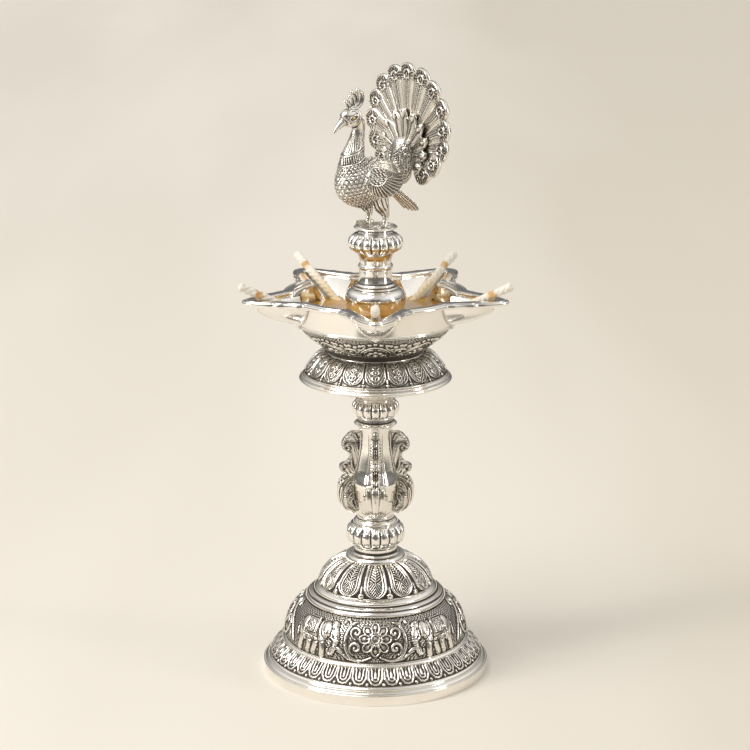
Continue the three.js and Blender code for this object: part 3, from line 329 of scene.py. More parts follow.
def lathe(
    name: str,
    profile: Profile,
    steps: int,
    chased: int = 0,
    soft: float = 40.0,
) -> Piece:
    """Spins a closed profile round the lamp's axis.

    Args:
        name: The object's name.
        profile: The closed profile, whose first points may be the chased side.
        steps: How many steps the spin takes.
        chased: How many of the first points get the distance along the profile.
        soft: The angle in degrees from which an edge is a crease.

    Returns:
        The new object, with the distances in its attribute "along".
    """
    bm = bmesh.new()
    layer = bm.verts.layers.float.new("along")
    run = 0.0
    ring = []
    for i, (r, z) in enumerate(profile):
        vert = bm.verts.new((r * MM, 0, z * MM))
        if 0 < i:
            run += math.hypot(r - profile[i - 1][0], z - profile[i - 1][1])
        vert[layer] = run if i < chased else -1.0
        ring.append(vert)
    edges = [bm.edges.new(pair) for pair in zip(ring, ring[1:] + ring[:1])]
    sector = TAU / SECTORS
    bmesh.ops.spin(
        bm, geom=ring + edges, cent=(0, 0, 0), axis=(0, 0, 1), angle=sector,
        steps=max(1, steps // SECTORS), use_merge=False,
    )
    done = 1
    while done < SECTORS:
        made = bmesh.ops.duplicate(bm, geom=bm.verts[:] + bm.edges[:] + bm.faces[:])
        copies = [part for part in made["geom"] if isinstance(part, bmesh.types.BMVert)]
        turn = Matrix.Rotation(sector * done, 3, "Z")
        bmesh.ops.rotate(bm, verts=copies, cent=(0, 0, 0), matrix=turn)
        done *= 2
    bmesh.ops.remove_doubles(bm, verts=bm.verts, dist=SAME_PLACE)
    bmesh.ops.recalc_face_normals(bm, faces=bm.faces)
    return to_object(name, bm, soft)


def points_of(obj: Piece) -> Array:
    """Reads where an object's vertices are.

    Args:
        obj: The object.

    Returns:
        Their places in millimetres.
    """
    co = np.empty(len(obj.data.vertices) * 3, np.float32)
    obj.data.vertices.foreach_get("co", co)
    return co.reshape(-1, 3).astype(float) / MM


def normals_of(obj: Piece) -> Array:
    """Reads the normals of an object's vertices.

    Args:
        obj: The object.

    Returns:
        The normals.
    """
    normals = np.empty(len(obj.data.vertices) * 3, np.float32)
    obj.data.vertex_normals.foreach_get("vector", normals)
    return normals.reshape(-1, 3).astype(float)


def set_points(obj: Piece, points: Array) -> None:
    """Moves an object's vertices to places in millimetres."""
    obj.data.vertices.foreach_set("co", (points * MM).astype(np.float32).ravel())
    obj.data.update()


def values_of(obj: Piece, name: str) -> Array:
    """Reads one of an object's point attributes.

    Args:
        obj: The object.
        name: The attribute's name.

    Returns:
        A value for each vertex.
    """
    values = np.empty(len(obj.data.vertices), np.float32)
    obj.data.attributes[name].data.foreach_get("value", values)
    return values.astype(float)


def set_values(obj: Piece, name: str, values: Array) -> None:
    """Writes one of an object's point attributes.

    Args:
        obj: The object.
        name: The attribute's name.
        values: A value for each vertex.
    """
    found = obj.data.attributes.get(name)
    attribute = found or obj.data.attributes.new(name, "FLOAT", "POINT")
    attribute.data.foreach_set("value", values.astype(np.float32))


def edges_of(obj: Piece) -> tuple[Array, Array]:
    """Reads an object's edges.

    Args:
        obj: The object.

    Returns:
        The indices of the vertices at their two ends.
    """
    pairs = np.empty(len(obj.data.edges) * 2, np.int32)
    obj.data.edges.foreach_get("vertices", pairs)
    return pairs.reshape(-1, 2)[:, 0], pairs.reshape(-1, 2)[:, 1]


def neighbour_mean(points: Array, edges: tuple[Array, Array], weight: Array) -> Array:
    """Finds the weighted mean of each point's neighbours.

    Args:
        points: The points.
        edges: The indices of the points at both ends of each edge.
        weight: The weight of each edge.

    Returns:
        A mean for each point.
    """
    a, b = edges
    count = len(points)
    total = np.maximum(np.bincount(a, weight, count) + np.bincount(b, weight, count), 1e-9)
    sums = [
        np.bincount(a, weight * points[b, k], count) + np.bincount(b, weight * points[a, k], count)
        for k in range(3)
    ]
    return np.stack(sums, 1) / total[:, None]


def weather(obj: Piece, passes: int = 6, depth: float = 0.08, ground: float = 0.0) -> None:
    """Writes the attribute "patina": 1 in hollows that polish never reaches, 0 on high places.

    Args:
        obj: The piece.
        passes: How far round a point its neighbours count.
        depth: The hollowness in millimetres that is fully dark.
        ground: The share of the attribute "ground", if the piece has it, that is added.
    """
    points, normals = points_of(obj), normals_of(obj)
    edges = edges_of(obj)
    weight = 1 / np.maximum(((points[edges[0]] - points[edges[1]]) ** 2).sum(1), 1e-4)
    mean = points
    for _ in range(passes):
        mean = neighbour_mean(mean, edges, weight)
    hollow = ((mean - points) * normals).sum(1) / depth
    if ground and obj.data.attributes.get("ground"):
        hollow = hollow + values_of(obj, "ground") * ground
    set_values(obj, "patina", np.clip(hollow, 0, 1))


def darken(obj: Piece, dark: Array) -> None:
    """Deepens a piece's patina to at least the given values."""
    set_values(obj, "patina", np.maximum(values_of(obj, "patina"), dark))


# Forms


def way(points: Sequence[Sequence[float]], shares: Array) -> Array:
    """Finds places on a smooth way through points.

    Args:
        points: The points, with as many numbers each as wanted.
        shares: How far along the way the places lie, from 0 to 1.

    Returns:
        A row of numbers for each share.
    """
    rows = np.array(points, float)
    rows = np.vstack([2 * rows[0] - rows[1], rows, 2 * rows[-1] - rows[-2]])
    place = np.clip(shares, 0, 1) * (len(rows) - 3)
    i = np.minimum(place.astype(int), len(rows) - 4)
    t = (place - i)[:, None]
    a, b, c, d = rows[i], rows[i + 1], rows[i + 2], rows[i + 3]
    at = 2 * b + (c - a) * t + (2 * a - 5 * b + 4 * c - d) * t**2
    return 0.5 * (at + (3 * b - a - 3 * c + d) * t**3)


def run_along(rows: Array) -> Array:
    """The distance of each of a line's points from its first one, along the line."""
    return np.concatenate([[0], np.cumsum(np.linalg.norm(np.diff(rows, axis=0), axis=1))])


def wrapped(
    bm: Mesh,
    around: int,
    along: int,
    place: Placing,
) -> None:
    """Rolls a sheet up into a form, by placing its points.

    Args:
        bm: The mesh that the form is added to.
        around: How many steps go round the section.
        along: How many steps go from end to end.
        place: Gives places in millimetres for the shares round and along.
    """
    made = bmesh.ops.create_grid(bm, x_segments=around, y_segments=along, size=0.5)
    shares = np.array([vert.co.xy for vert in made["verts"]]) + 0.5
    for vert, point in zip(made["verts"], place(shares[:, 0], shares[:, 1]) * MM):
        vert.co = point


def limb(
    bm: Mesh,
    stations: Sequence[Sequence[float]],
    around: int = 12,
    along: int = 16,
    side: Place = (0.0, 1.0, 0.0),
    swell: Placing | None = None,
    round_end: float = 0.08,
) -> None:
    """Adds a limb with round ends.

    Args:
        bm: The mesh that the limb is added to.
        stations: Rows of x, y, z, half width and half depth.
        around: How many steps go round it.
        along: How many steps go from end to end.
        side: The direction of its width.
        swell: Gives a factor on both half sizes for the angle round and the share along.
        round_end: The share of the length over which an end rounds off.
    """
    def place(s: Array, v: Array) -> Array:
        """Places the limb's points.

        Args:
            s: Shares of the way round.
            v: Shares of the way along.

        Returns:
            Their places in millimetres.
        """
        v = v - 0.7 * np.sin(TAU * v) / TAU
        rows = way(stations, v)
        ahead = way(stations, v + 0.01)[:, :3] - way(stations, v - 0.01)[:, :3]
        ahead /= np.maximum(np.linalg.norm(ahead, axis=1), 1e-9)[:, None]
        across = np.array(side) - (ahead @ np.array(side))[:, None] * ahead
        across /= np.maximum(np.linalg.norm(across, axis=1), 1e-9)[:, None]
        deep = np.cross(ahead, across)
        angle = TAU * s
        size = np.sqrt(1 - (1 - inward(v, round_end)) ** 2)
        if swell:
            size = size * swell(angle, v)
        return (
            rows[:, :3] + across * (rows[:, 3] * np.cos(angle) * size)[:, None]
            + deep * (rows[:, 4] * np.sin(angle) * size)[:, None]
        )

    wrapped(bm, around, along, place)


def leaf(
    bm: Mesh,
    root: Point,
    tip: Point,
    width: Callable[[Array], Array],
    relief: Relief,
    onto: Onto,
    thickness: float,
    grid: tuple[int, int] = (14, 60),
    slant: float = 0.0,
) -> None:
    """Adds a feather or a leaf that lies on a surface.

    Args:
        bm: The mesh that the leaf is added to.
        root: Where it starts, in the surface's own two directions.
        tip: Where it ends.
        width: Gives its half width at distances from the root.
        relief: Gives its heights for places across, places along and half widths.
        onto: Takes a place on the surface and a height to space.
        thickness: How thick it is.
        grid: How many steps it has across half of it and along it.
        slant: How much one side stands higher than the other.
    """
    run = np.array(tip) - np.array(root)
    length = float(np.hypot(*run))
    ahead, across = run / length, np.array([run[1], -run[0]]) / length

    def place(s: Array, v: Array) -> Array:
        """Places the leaf's points: the face on the way there, the back on the way home.

        Args:
            s: Shares of the way round.
            v: Shares of the way along.

        Returns:
            Their places in millimetres.
        """
        a = np.where(s < 0.5, 4 * s - 1, 3 - 4 * s)
        half = np.maximum(width(v * length), 1e-6)
        x, y = a * half, v * length
        edge = np.sqrt(np.clip(1 - a**6, 0, 1)) * np.sqrt(inward(v, 0.02))
        raised = relief(x, y, half)
        height = np.where(s < 0.5, thickness / 2 + raised, -thickness / 2 - 0.3 * raised)
        p = root[0] + ahead[0] * y + across[0] * x
        q = root[1] + ahead[1] * y + across[1] * x
        return onto(p, q, height * edge + slant * a)

    wrapped(bm, grid[0] * 4, grid[1], place)


def closed(name: str, bm: Mesh, soft: float = 40.0) -> Piece:
    """Closes the seams and poles of wrapped forms and makes them an object.

    Args:
        name: The object's name.
        bm: The mesh, which is freed.
        soft: The angle in degrees from which an edge is a crease.

    Returns:
        The new object.
    """
    bmesh.ops.remove_doubles(bm, verts=bm.verts, dist=SAME_PLACE)
    open_edges = [edge for edge in bm.edges if edge.is_boundary]
    if open_edges:
        bmesh.ops.holes_fill(bm, edges=open_edges, sides=0)
    bmesh.ops.recalc_face_normals(bm, faces=bm.faces)
    return to_object(name, bm, soft)


def egg(bm: Mesh, centre: Sequence[float], half: Sequence[float], steps: int = 32) -> None:
    """Adds an ellipsoid.

    Args:
        bm: The mesh that it is added to.
        centre: Its centre.
        half: Its half sizes.
        steps: How many steps go round it.
    """
    matrix = Matrix.Translation(Vector(centre) * MM) @ Matrix.Diagonal((*half, 1.0))
    bmesh.ops.create_uvsphere(
        bm, u_segments=steps, v_segments=max(4, steps * 2 // 3), radius=MM, matrix=matrix
    )


def applied(obj: Piece) -> Piece:
    """Makes what an object's modifiers give its own mesh.

    Args:
        obj: The object.

    Returns:
        The same object.
    """
    graph = bpy.context.evaluated_depsgraph_get()
    mesh = bpy.data.meshes.new_from_object(obj.evaluated_get(graph))
    old = obj.data
    obj.modifiers.clear()
    obj.data = mesh
    bpy.data.meshes.remove(old)
    return obj


def cut_with(obj: Piece, tool: Piece, way_of: Boolean) -> None:
    """Joins a form to a piece or takes it out of it.

    Args:
        obj: The piece.
        tool: The form, which is used up.
        way_of: Whether the form is joined or taken out.
    """
    modifier = obj.modifiers.new("cut", "BOOLEAN")
    modifier.object, modifier.operation, modifier.solver = tool, way_of.value, "EXACT"
    applied(obj)
    bpy.data.objects.remove(tool)


def moulded(obj: Piece, voxel: float, passes: int) -> None:
    """Melts the forms of a piece into one skin and smooths it.

    Args:
        obj: The piece.
        voxel: The size of the skin's faces in millimetres.
        passes: How often it is smoothed.
    """
    modifier = obj.modifiers.new("skin", "REMESH")
    modifier.mode, modifier.voxel_size = "VOXEL", voxel * MM
    applied(obj)
    points, edges = points_of(obj), edges_of(obj)
    even = np.ones(len(edges[0]))
    for _ in range(passes):
        points = points * 0.4 + neighbour_mean(points, edges, even) * 0.6
    set_points(obj, points)
    obj.data.polygons.foreach_set("use_smooth", [True] * len(obj.data.polygons))


def placed(obj: Piece, turn: float, rise: float) -> Piece:
    """Turns a piece's mesh round the lamp's axis and lifts it.

    Args:
        obj: The piece.
        turn: How far it turns, in degrees.
        rise: How far it is lifted, in millimetres.

    Returns:
        The same piece.
    """
    x, y, z = points_of(obj).T
    set_points(obj, np.stack([*turned(x, y, turn), z + rise], 1))
    return obj


def ridge(distance: Array, half: float) -> Array:
    """A round ridge from 0 to 1 along a line, by the distance from its middle."""
    return np.sqrt(np.clip(1 - (distance / half) ** 2, 0, 1))


def lapped(u: Array, v: Array) -> Array:
    """Lays out scales that overlap downwards, one to each unit of u and v.

    Args:
        u: Places across.
        v: Places up.

    Returns:
        Heights from 0 to 1.
    """
    height = np.zeros_like(u)
    taken = np.zeros(len(u), bool)
    for back in (1, 0, -1):
        row = np.floor(v) - back
        across = u - 0.5 * np.mod(row, 2)
        off = across - np.round(across)
        away = np.hypot(off / 0.56, (v - row - 0.25) / 0.95)
        scale = np.where(away < 0.62, 0.45 + 0.55 * ridge(away, 0.66), 0.5 * ridge(away - 0.86, 0.15))
        here = (away < 1.02) & ~taken & (v > row)
        height = np.where(here, scale, height)
        taken |= here
    return height


# Chasing


class Chasing:
    """The heights that chasing raises and sinks on a surface laid out flat, in millimetres."""

    def __init__(self, u: Array, v: Array) -> None:
        """Starts with a flat surface.

        Args:
            u: The place of each point across the surface.
            v: The place of each point up the surface.
        """
        self.u, self.v = u, v
        self.height = np.zeros_like(u)

    def _near(self, points: Array, reach: float) -> Array:
        """Finds the surface points near a line.

        Args:
            points: The line's points.
            reach: How far from them the surface points may lie.

        Returns:
            The surface points' indices.
        """
        low, high = points.min(0) - reach, points.max(0) + reach
        inside = (self.u > low[0]) & (self.u < high[0]) & (self.v > low[1]) & (self.v < high[1])
        return np.nonzero(inside)[0]

    def _to_line(self, points: Array, widths: Sequence[float]) -> tuple[Array, Array]:
        """Measures the surface points near a tapering line.

        Args:
            points: The line's points.
            widths: Its half widths from start to end, spread evenly.

        Returns:
            The points' indices and how deep they lie in the line, from 1 to 0.
        """
        radii = np.interp(np.linspace(0, 1, len(points)), np.linspace(0, 1, len(widths)), widths)
        near = self._near(points, float(radii.max()))
        u, v = self.u[near], self.v[near]
        depth = np.zeros(len(near))
        for (x0, y0), (x1, y1), r0, r1 in zip(points, points[1:], radii, radii[1:]):
            dx, dy = x1 - x0, y1 - y0
            t = np.clip(((u - x0) * dx + (v - y0) * dy) / max(dx * dx + dy * dy, 1e-9), 0, 1)
            away = np.hypot(u - x0 - dx * t, v - y0 - dy * t)
            depth = np.maximum(depth, 1 - away / (r0 + (r1 - r0) * t))
        return near, depth

    def line(self, points: Sequence[Point], widths: Sequence[float], height: float) -> None:
        """Raises a rounded line.

        Args:
            points: The line's points.
            widths: Its half widths from start to end, spread evenly.
            height: How high it stands.
        """
        near, depth = self._to_line(np.array(points, float), widths)
        self._lift(near, height * ridge(1 - depth, 1.0) * (depth > 0))

    def cut(self, points: Sequence[Point], widths: Sequence[float], depth: float) -> None:
        """Cuts a groove.

        Args:
            points: The groove's points.
            widths: Its half widths from start to end, spread evenly.
            depth: How deep it is.
        """
        near, inside = self._to_line(np.array(points, float), widths)
        self.height[near] -= depth * np.clip(inside, 0, 1)

    def _lift(self, near: Array, heights: Array) -> None:
        """Raises some of the surface points to at least the given heights."""
        self.height[near] = np.maximum(self.height[near], heights)

    def to_oval(self, centre: Point, radii: Point, turn: float) -> tuple[Array, Array]:
        """Measures the surface points near an oval.

        Args:
            centre: The oval's middle.
            radii: Its two half sizes.
            turn: How far it is turned, in degrees.

        Returns:
            The points' indices and their distance from its middle, 1 on its edge.
        """
        near = self._near(np.array([centre], float), max(radii) * 1.3)
        x, y = turned(self.u[near] - centre[0], self.v[near] - centre[1], -turn)
        return near, np.hypot(x / radii[0], y / radii[1])

    def boss(self, centre: Point, radii: Point, height: float, turn: float = 0.0) -> None:
        """Raises a rounded oval.

        Args:
            centre: Its middle.
            radii: Its two half sizes.
            height: How high it stands.
            turn: How far it is turned, in degrees.
        """
        near, away = self.to_oval(centre, radii, turn)
        self._lift(near, height * ridge(away, 1.0))

    def hoop(
        self, centre: Point, radii: Point, width: float, height: float, turn: float = 0.0
    ) -> None:
        """Raises a rounded rim along an oval.

        Args:
            centre: Its middle.
            radii: The two half sizes of the rim's middle line.
            width: The rim's half width.
            height: How high it stands.
            turn: How far it is turned, in degrees.
        """
        near, away = self.to_oval(centre, (radii[0] + width, radii[1] + width), turn)
        mean = (radii[0] + radii[1]) / 2
        self._lift(near, height * ridge(away * (mean + width) - mean, width))

    def dent(self, centre: Point, radii: Point, depth: float, turn: float = 0.0) -> None:
        """Sinks an oval hollow, given like a boss."""
        near, away = self.to_oval(centre, radii, turn)
        self.height[near] -= depth * np.clip(1 - away**2, 0, 1)

    def panel(self, corners: Sequence[Point], height: float) -> Array:
        """Raises a flat panel with straight sides.

        Args:
            corners: Its corners, one way round.
            height: How high it stands.

        Returns:
            How far each point of the surface lies inside the panel.
        """
        middle = np.mean(np.array(corners, float), 0)
        inside = np.full_like(self.u, np.inf)
        for (x0, y0), (x1, y1) in zip(corners, [*corners[1:], corners[0]]):
            nx, ny = y1 - y0, x0 - x1
            length = math.hypot(nx, ny)
            side = ((self.u - x0) * nx + (self.v - y0) * ny) / length
            if (middle[0] - x0) * nx + (middle[1] - y0) * ny < 0:
                side = -side
            inside = np.minimum(inside, side)
        raised = height * np.clip(inside / 0.3, 0, 1)
        self.height = np.maximum(self.height, raised)
        return inside

    def grain(self, pitch: float, height: float, below: float) -> None:
        """Punches a matted ground of small grains wherever the surface is still low.

        Args:
            pitch: The distance between grains.
            height: How high a grain stands.
            below: The height under which the ground is matted.
        """
        row = np.floor(self.v / pitch)
        across = self.u / pitch + 0.5 * np.mod(row, 2)
        column = np.floor(across)
        jitter = np.sin(row * 12.9898 + column * 78.233) * 0.22
        away = np.hypot(across - column - 0.5 - jitter, self.v / pitch - row - 0.5 + jitter)
        low = self.height < below
        self.height = np.where(low, np.maximum(self.height, height * ridge(away, 0.52)), self.height)


def fold(values: Array, step: float) -> Array:
    """Folds values into one mirrored repeat of a pattern, from 0 to half a step."""
    return np.abs(np.mod(values + step / 2, step) - step / 2)


Pattern = Callable[[Array, Array, Array], Chasing]


def chase(
    obj: Piece,
    pattern: Pattern,
    relief: float,
    fade: float = 0.0,
) -> None:
    """Raises a pattern on the chased side of a spun piece.

    Args:
        obj: The piece, with the attribute "along" on its chased side.
        pattern: Gives the heights for the angles, radii and places along the profile.
        relief: The height that counts as the pattern's top.
        fade: The length at both ends of the profile over which the pattern fades out.
    """
    points, normals = points_of(obj), normals_of(obj)
    along = values_of(obj, "along")
    on = along >= 0
    x, y = points[on, 0], points[on, 1]
    heights = np.zeros(len(points))
    heights[on] = pattern(bearing(x, y), np.hypot(x, y), along[on]).height
    if fade > 0:
        heights[on] *= inward(along[on], fade, along.max())
    set_points(obj, points + normals * heights[:, None])
    ground = np.zeros(len(points))
    ground[on] = 1 - np.clip(heights[on] / relief, 0, 1)
    set_values(obj, "ground", ground)


# Materials


Input = Socket | float | Sequence[float]
Colour = tuple[float, float, float]


class Nodes:
    """A short way to lay out shader nodes in a material or a group."""

    def __init__(self, tree: bpy.types.NodeTree) -> None:
        """Works on a node tree."""
        self.tree = tree

    def feed(self, socket: Socket, value: Input) -> None:
        """Gives a node's input what it reads.

        Args:
            socket: The input.
            value: A plain value, or the output that is linked to it.
        """
        if isinstance(value, Socket):
            self.tree.links.new(value, socket)
        else:
            socket.default_value = value

    def add(self, kind: str, settings: dict[str, object] | None = None, **inputs: Input) -> bpy.types.Node:
        """Adds a node.

        Args:
            kind: The node's type.
            settings: Properties of the node.
            inputs: Values or outputs for its inputs, named with _ for spaces.

        Returns:
            The new node.
        """
        node = self.tree.nodes.new(kind)
        for key, value in (settings or {}).items():
            setattr(node, key, value)
        for key, value in inputs.items():
            self.feed(node.inputs[key.replace("_", " ")], value)
        return node

    def math(self, operation: str, *values: Input) -> Socket:
        """Adds a Math node.

        Args:
            operation: What it works out.
            values: Its inputs, in order.

        Returns:
            Its output.
        """
        node = self.add("ShaderNodeMath", {"operation": operation})
        for socket, value in zip(node.inputs, values):
            self.feed(socket, value)
        return node.outputs[0]

    def ranged(
        self, value: Input, low: Input, high: Input, to_low: float = 0.0, to_high: float = 1.0
    ) -> Socket:
        """Adds a smooth Map Range node.

        Args:
            value: What it reads.
            low: The value that gives to_low.
            high: The value that gives to_high.
            to_low: The result at and below low.
            to_high: The result at and above high.

        Returns:
            Its output.
        """
        return self.add(
            "ShaderNodeMapRange", {"interpolation_type": "SMOOTHSTEP"}, Value=value,
            From_Min=low, From_Max=high, To_Min=to_low, To_Max=to_high,
        ).outputs["Result"]

    def mix(self, factor: Input, first: Input, second: Input) -> Socket:
        """Adds a colour Mix node.

        Args:
            factor: The share of the second colour.
            first: The first colour.
            second: The second colour.

        Returns:
            Its output.
        """
        node = self.add("ShaderNodeMix", {"data_type": "RGBA"})
        for place, value in ((0, factor), (6, first), (7, second)):
            self.feed(node.inputs[place], value)
        return node.outputs[2]

    def noise(self, vector: Socket, scale: float, detail: float = 2.0) -> Socket:
        """Adds a Noise node.

        Args:
            vector: The coordinates that it reads.
            scale: How many spots it has to the metre.
            detail: How fine its spots break up.

        Returns:
            Its value.
        """
        return self.add("ShaderNodeTexNoise", None, Vector=vector, Scale=scale, Detail=detail).outputs["Fac"]

    def place(self) -> Socket:
        """Adds the Object coordinates."""
        return self.add("ShaderNodeTexCoord").outputs["Object"]

    def stretched(self, vector: Socket, scale: Place) -> Socket:
        """Scales coordinates along the three axes."""
        return self.add("ShaderNodeMapping", None, Vector=vector, Scale=scale).outputs["Vector"]

    def attribute(self, name: str) -> Socket:
        """Adds the value of one of the piece's own attributes."""
        return self.add("ShaderNodeAttribute", {"attribute_name": name}).outputs["Fac"]

    def bump(self, strength: Input, distance: float, height: Socket) -> Socket:
        """Adds a Bump node.

        Args:
            strength: The share of the relief that shows.
            distance: How high the relief is, in metres.
            height: The relief's heights from 0 to 1.

        Returns:
            Its normal.
        """
        return self.add(
            "ShaderNodeBump", None, Strength=strength, Distance=distance, Height=height
        ).outputs["Normal"]

    def surface(self, **inputs: Input) -> None:
        """Adds the Principled BSDF with the given inputs, and the material's output."""
        shader = self.add("ShaderNodeBsdfPrincipled", None, **inputs)
        self.add("ShaderNodeOutputMaterial", None, Surface=shader.outputs["BSDF"])


def wear_group() -> bpy.types.NodeTree:
    """Builds the group that tells how worn, tarnished and scratched a metal surface is.

    Returns:
        A group from patina, its reach and the scratches to two masks, a tone and a normal.
    """
    found = bpy.data.node_groups.get("HandPolish")
    if found:
        return found
    group = bpy.data.node_groups.new("HandPolish", "ShaderNodeTree")
    sockets = group.interface
    for name, default in (("Patina", 0.0), ("Reach", 0.4), ("Scratches", 0.2)):
        sockets.new_socket(name, in_out="INPUT", socket_type="NodeSocketFloat").default_value = default
    for name in ("Dark", "Tone", "Smear"):
        sockets.new_socket(name, in_out="OUTPUT", socket_type="NodeSocketFloat")
    sockets.new_socket("Normal", in_out="OUTPUT", socket_type="NodeSocketVector")
    nodes = Nodes(group)
    given = nodes.add("NodeGroupInput")
    place = nodes.place()
    broken = nodes.math("SUBTRACT", nodes.noise(place, 900.0, 3.0), 0.5)
    edge = nodes.math("ADD", given.outputs["Patina"], nodes.math("MULTIPLY", broken, 0.35))
    dark = nodes.ranged(edge, 0.08, nodes.math("ADD", given.outputs["Reach"], 0.3))
    tone = nodes.ranged(nodes.noise(place, 60.0, 4.0), 0.3, 0.7)
    smear = nodes.ranged(nodes.noise(place, 170.0, 5.0), 0.35, 0.7)
    lines = nodes.noise(nodes.stretched(place, (1.0, 1.0, 7.0)), 1500.0)
    waves = nodes.math("MULTIPLY", nodes.noise(place, 140.0), 2.5)
    bump = nodes.bump(given.outputs["Scratches"], 0.00006, nodes.math("ADD", lines, waves))
    nodes.add("NodeGroupOutput", None, Dark=dark, Tone=tone, Smear=smear, Normal=bump)
    return group


@dataclass(frozen=True)
class Finish:
    """A finish, and the record's material slot of the pieces that have it."""

    name: str
    slot: Slot | None = None

    def lay_out(self, nodes: Nodes) -> None:
        """Lays out the finish's nodes in its empty material."""
        raise NotImplementedError

    def material(self) -> bpy.types.Material:
        """Builds the material, or gives the one that was built before.

        Returns:
            The material.
        """
        material = bpy.data.materials.get(self.name)
        if not material:
            material = bpy.data.materials.new(self.name)
            material.use_nodes = True
            material.node_tree.nodes.clear()
            self.lay_out(Nodes(material.node_tree))
        return material


@dataclass(frozen=True)
class Silver(Finish):
    """Metal that was polished by hand, with dark patina where the polish didn't reach."""

    bright: Colour = (0.885, 0.86, 0.815)
    warm: Colour = (0.83, 0.785, 0.705)
    patina: Colour = (0.06, 0.048, 0.038)
    roughness: float = 0.075
    dulled: float = 0.3
    reach: float = 0.4
    scratches: float = 0.09

    def lay_out(self, nodes: Nodes) -> None:
        """Lays out bright and warm metal, the patina over it, and its smears and scratches.

        Args:
            nodes: The material's nodes.
        """
        wear = nodes.add(
            "ShaderNodeGroup", {"node_tree": wear_group()}, Patina=nodes.attribute("patina"),
            Reach=self.reach, Scratches=self.scratches,
        ).outputs
        tone = nodes.math("MULTIPLY", wear["Tone"], 0.7)
        toned = nodes.mix(tone, (*self.bright, 1), (*self.warm, 1))
        rough = nodes.math(
            "ADD", nodes.math("MULTIPLY", wear["Smear"], self.roughness * 0.5),
            nodes.math("MULTIPLY", wear["Dark"], self.dulled),
        )
        nodes.surface(
            Base_Color=nodes.mix(wear["Dark"], toned, (*self.patina, 1)),
            Metallic=nodes.ranged(wear["Dark"], 0.0, 1.0, 1.0, 0.55),
            Roughness=nodes.math("ADD", rough, self.roughness * 0.75),
            Normal=wear["Normal"],
        )


@dataclass(frozen=True)
class Oil(Finish):
    """Lamp oil: clear amber with a wet gloss."""

    deep: Colour = (0.52, 0.25, 0.035)
    light: Colour = (0.80, 0.47, 0.09)

    def lay_out(self, nodes: Nodes) -> None:
        """Lays out the cloudy amber and its faint ripples.

        Args:
            nodes: The material's nodes.
        """
        place = nodes.place()
        cloud = nodes.ranged(nodes.noise(place, 45.0, 3.0), 0.3, 0.7)
        nodes.surface(
            Base_Color=nodes.mix(cloud, (*self.deep, 1), (*self.light, 1)), Roughness=0.04, IOR=1.47,
            Transmission_Weight=0.35, Normal=nodes.bump(0.12, 0.0004, nodes.noise(place, 90.0)),
        )


@dataclass(frozen=True)
class Cotton(Finish):
    """Rolled cotton, with its amber band and the warm stain of the oil."""

    shaded: Colour = (0.80, 0.74, 0.64)
    white: Colour = (0.93, 0.90, 0.84)
    soaked: Colour = (0.80, 0.66, 0.43)
    band: Colour = (0.62, 0.33, 0.06)

    def lay_out(self, nodes: Nodes) -> None:
        """Lays out the fibres, and the band and the stain by the distance from the end in mm.

        Args:
            nodes: The material's nodes.
        """
        place = nodes.place()
        uneven = nodes.math("SUBTRACT", nodes.noise(place, 420.0, 3.0), 0.5)
        run = nodes.math("ADD", nodes.attribute("from_end"), nodes.math("MULTIPLY", uneven, 5.0))
        rising, falling = nodes.ranged(run, 7.6, 9.4), nodes.ranged(run, 10.6, 13.5, 1.0, 0.0)
        soaked = nodes.ranged(run, 9.0, 34.0)
        fibres = nodes.noise(place, 1300.0, 3.0)
        clean = nodes.mix(fibres, (*self.shaded, 1), (*self.white, 1))
        damp = nodes.mix(soaked, clean, (*self.soaked, 1))
        band = nodes.math("MULTIPLY", nodes.math("MULTIPLY", rising, falling), 0.85)
        nodes.surface(
            Base_Color=nodes.mix(band, damp, (*self.band, 1)),
            Roughness=nodes.ranged(soaked, 0.0, 1.0, 0.95, 0.55), Sheen_Weight=0.3,
            Normal=nodes.bump(0.55, 0.00025, fibres),
        )


@dataclass(frozen=True)
class FloorCloth(Finish):
    """The pale cloth that the lamp stands on, with painted shade in soft fold bands and more painted shade
    to the right.
    """

    colour: Colour = (0.80, 0.757, 0.685)
    dimming: Colour = (0.84, 0.825, 0.79)

    def lay_out(self, nodes: Nodes) -> None:
        """Lays out the painted shade of the fold bands, the painted shade to the right and the weave.

        Args:
            nodes: The material's nodes.
        """
        place = nodes.place()
        # Painted shade: darker noise bands stand for the shade of soft cloth fold bands, and the colour
        # darkens towards +X, where the light falls off.
        fold_shade = nodes.noise(nodes.stretched(place, (1.0, 0.16, 1.0)), 4.5)
        aside = nodes.add("ShaderNodeSeparateXYZ", None, Vector=place).outputs["X"]
        painted_shade = nodes.math(
            "ADD", nodes.ranged(fold_shade, 0.3, 0.7, 0.0, 0.45), nodes.ranged(aside, -0.04, 0.3, 0.0, 0.9)
        )
        shade = [c * f for c, f in zip(self.colour, self.dimming)]
        nodes.surface(
            Base_Color=nodes.mix(nodes.math("MINIMUM", painted_shade, 1.0), (*self.colour, 1), (*shade, 1)),
            Roughness=0.9, Normal=nodes.bump(0.15, 0.0004, nodes.noise(place, 2500.0, 1.0)),
        )


@dataclass(frozen=True)
class Card(Finish):
    """The dull grey card that only the metal mirrors."""

    colour: Colour = (0.2, 0.187, 0.17)

    def lay_out(self, nodes: Nodes) -> None:
        """Lays out one even grey."""
        nodes.surface(Base_Color=(*self.colour, 1), Roughness=1.0)


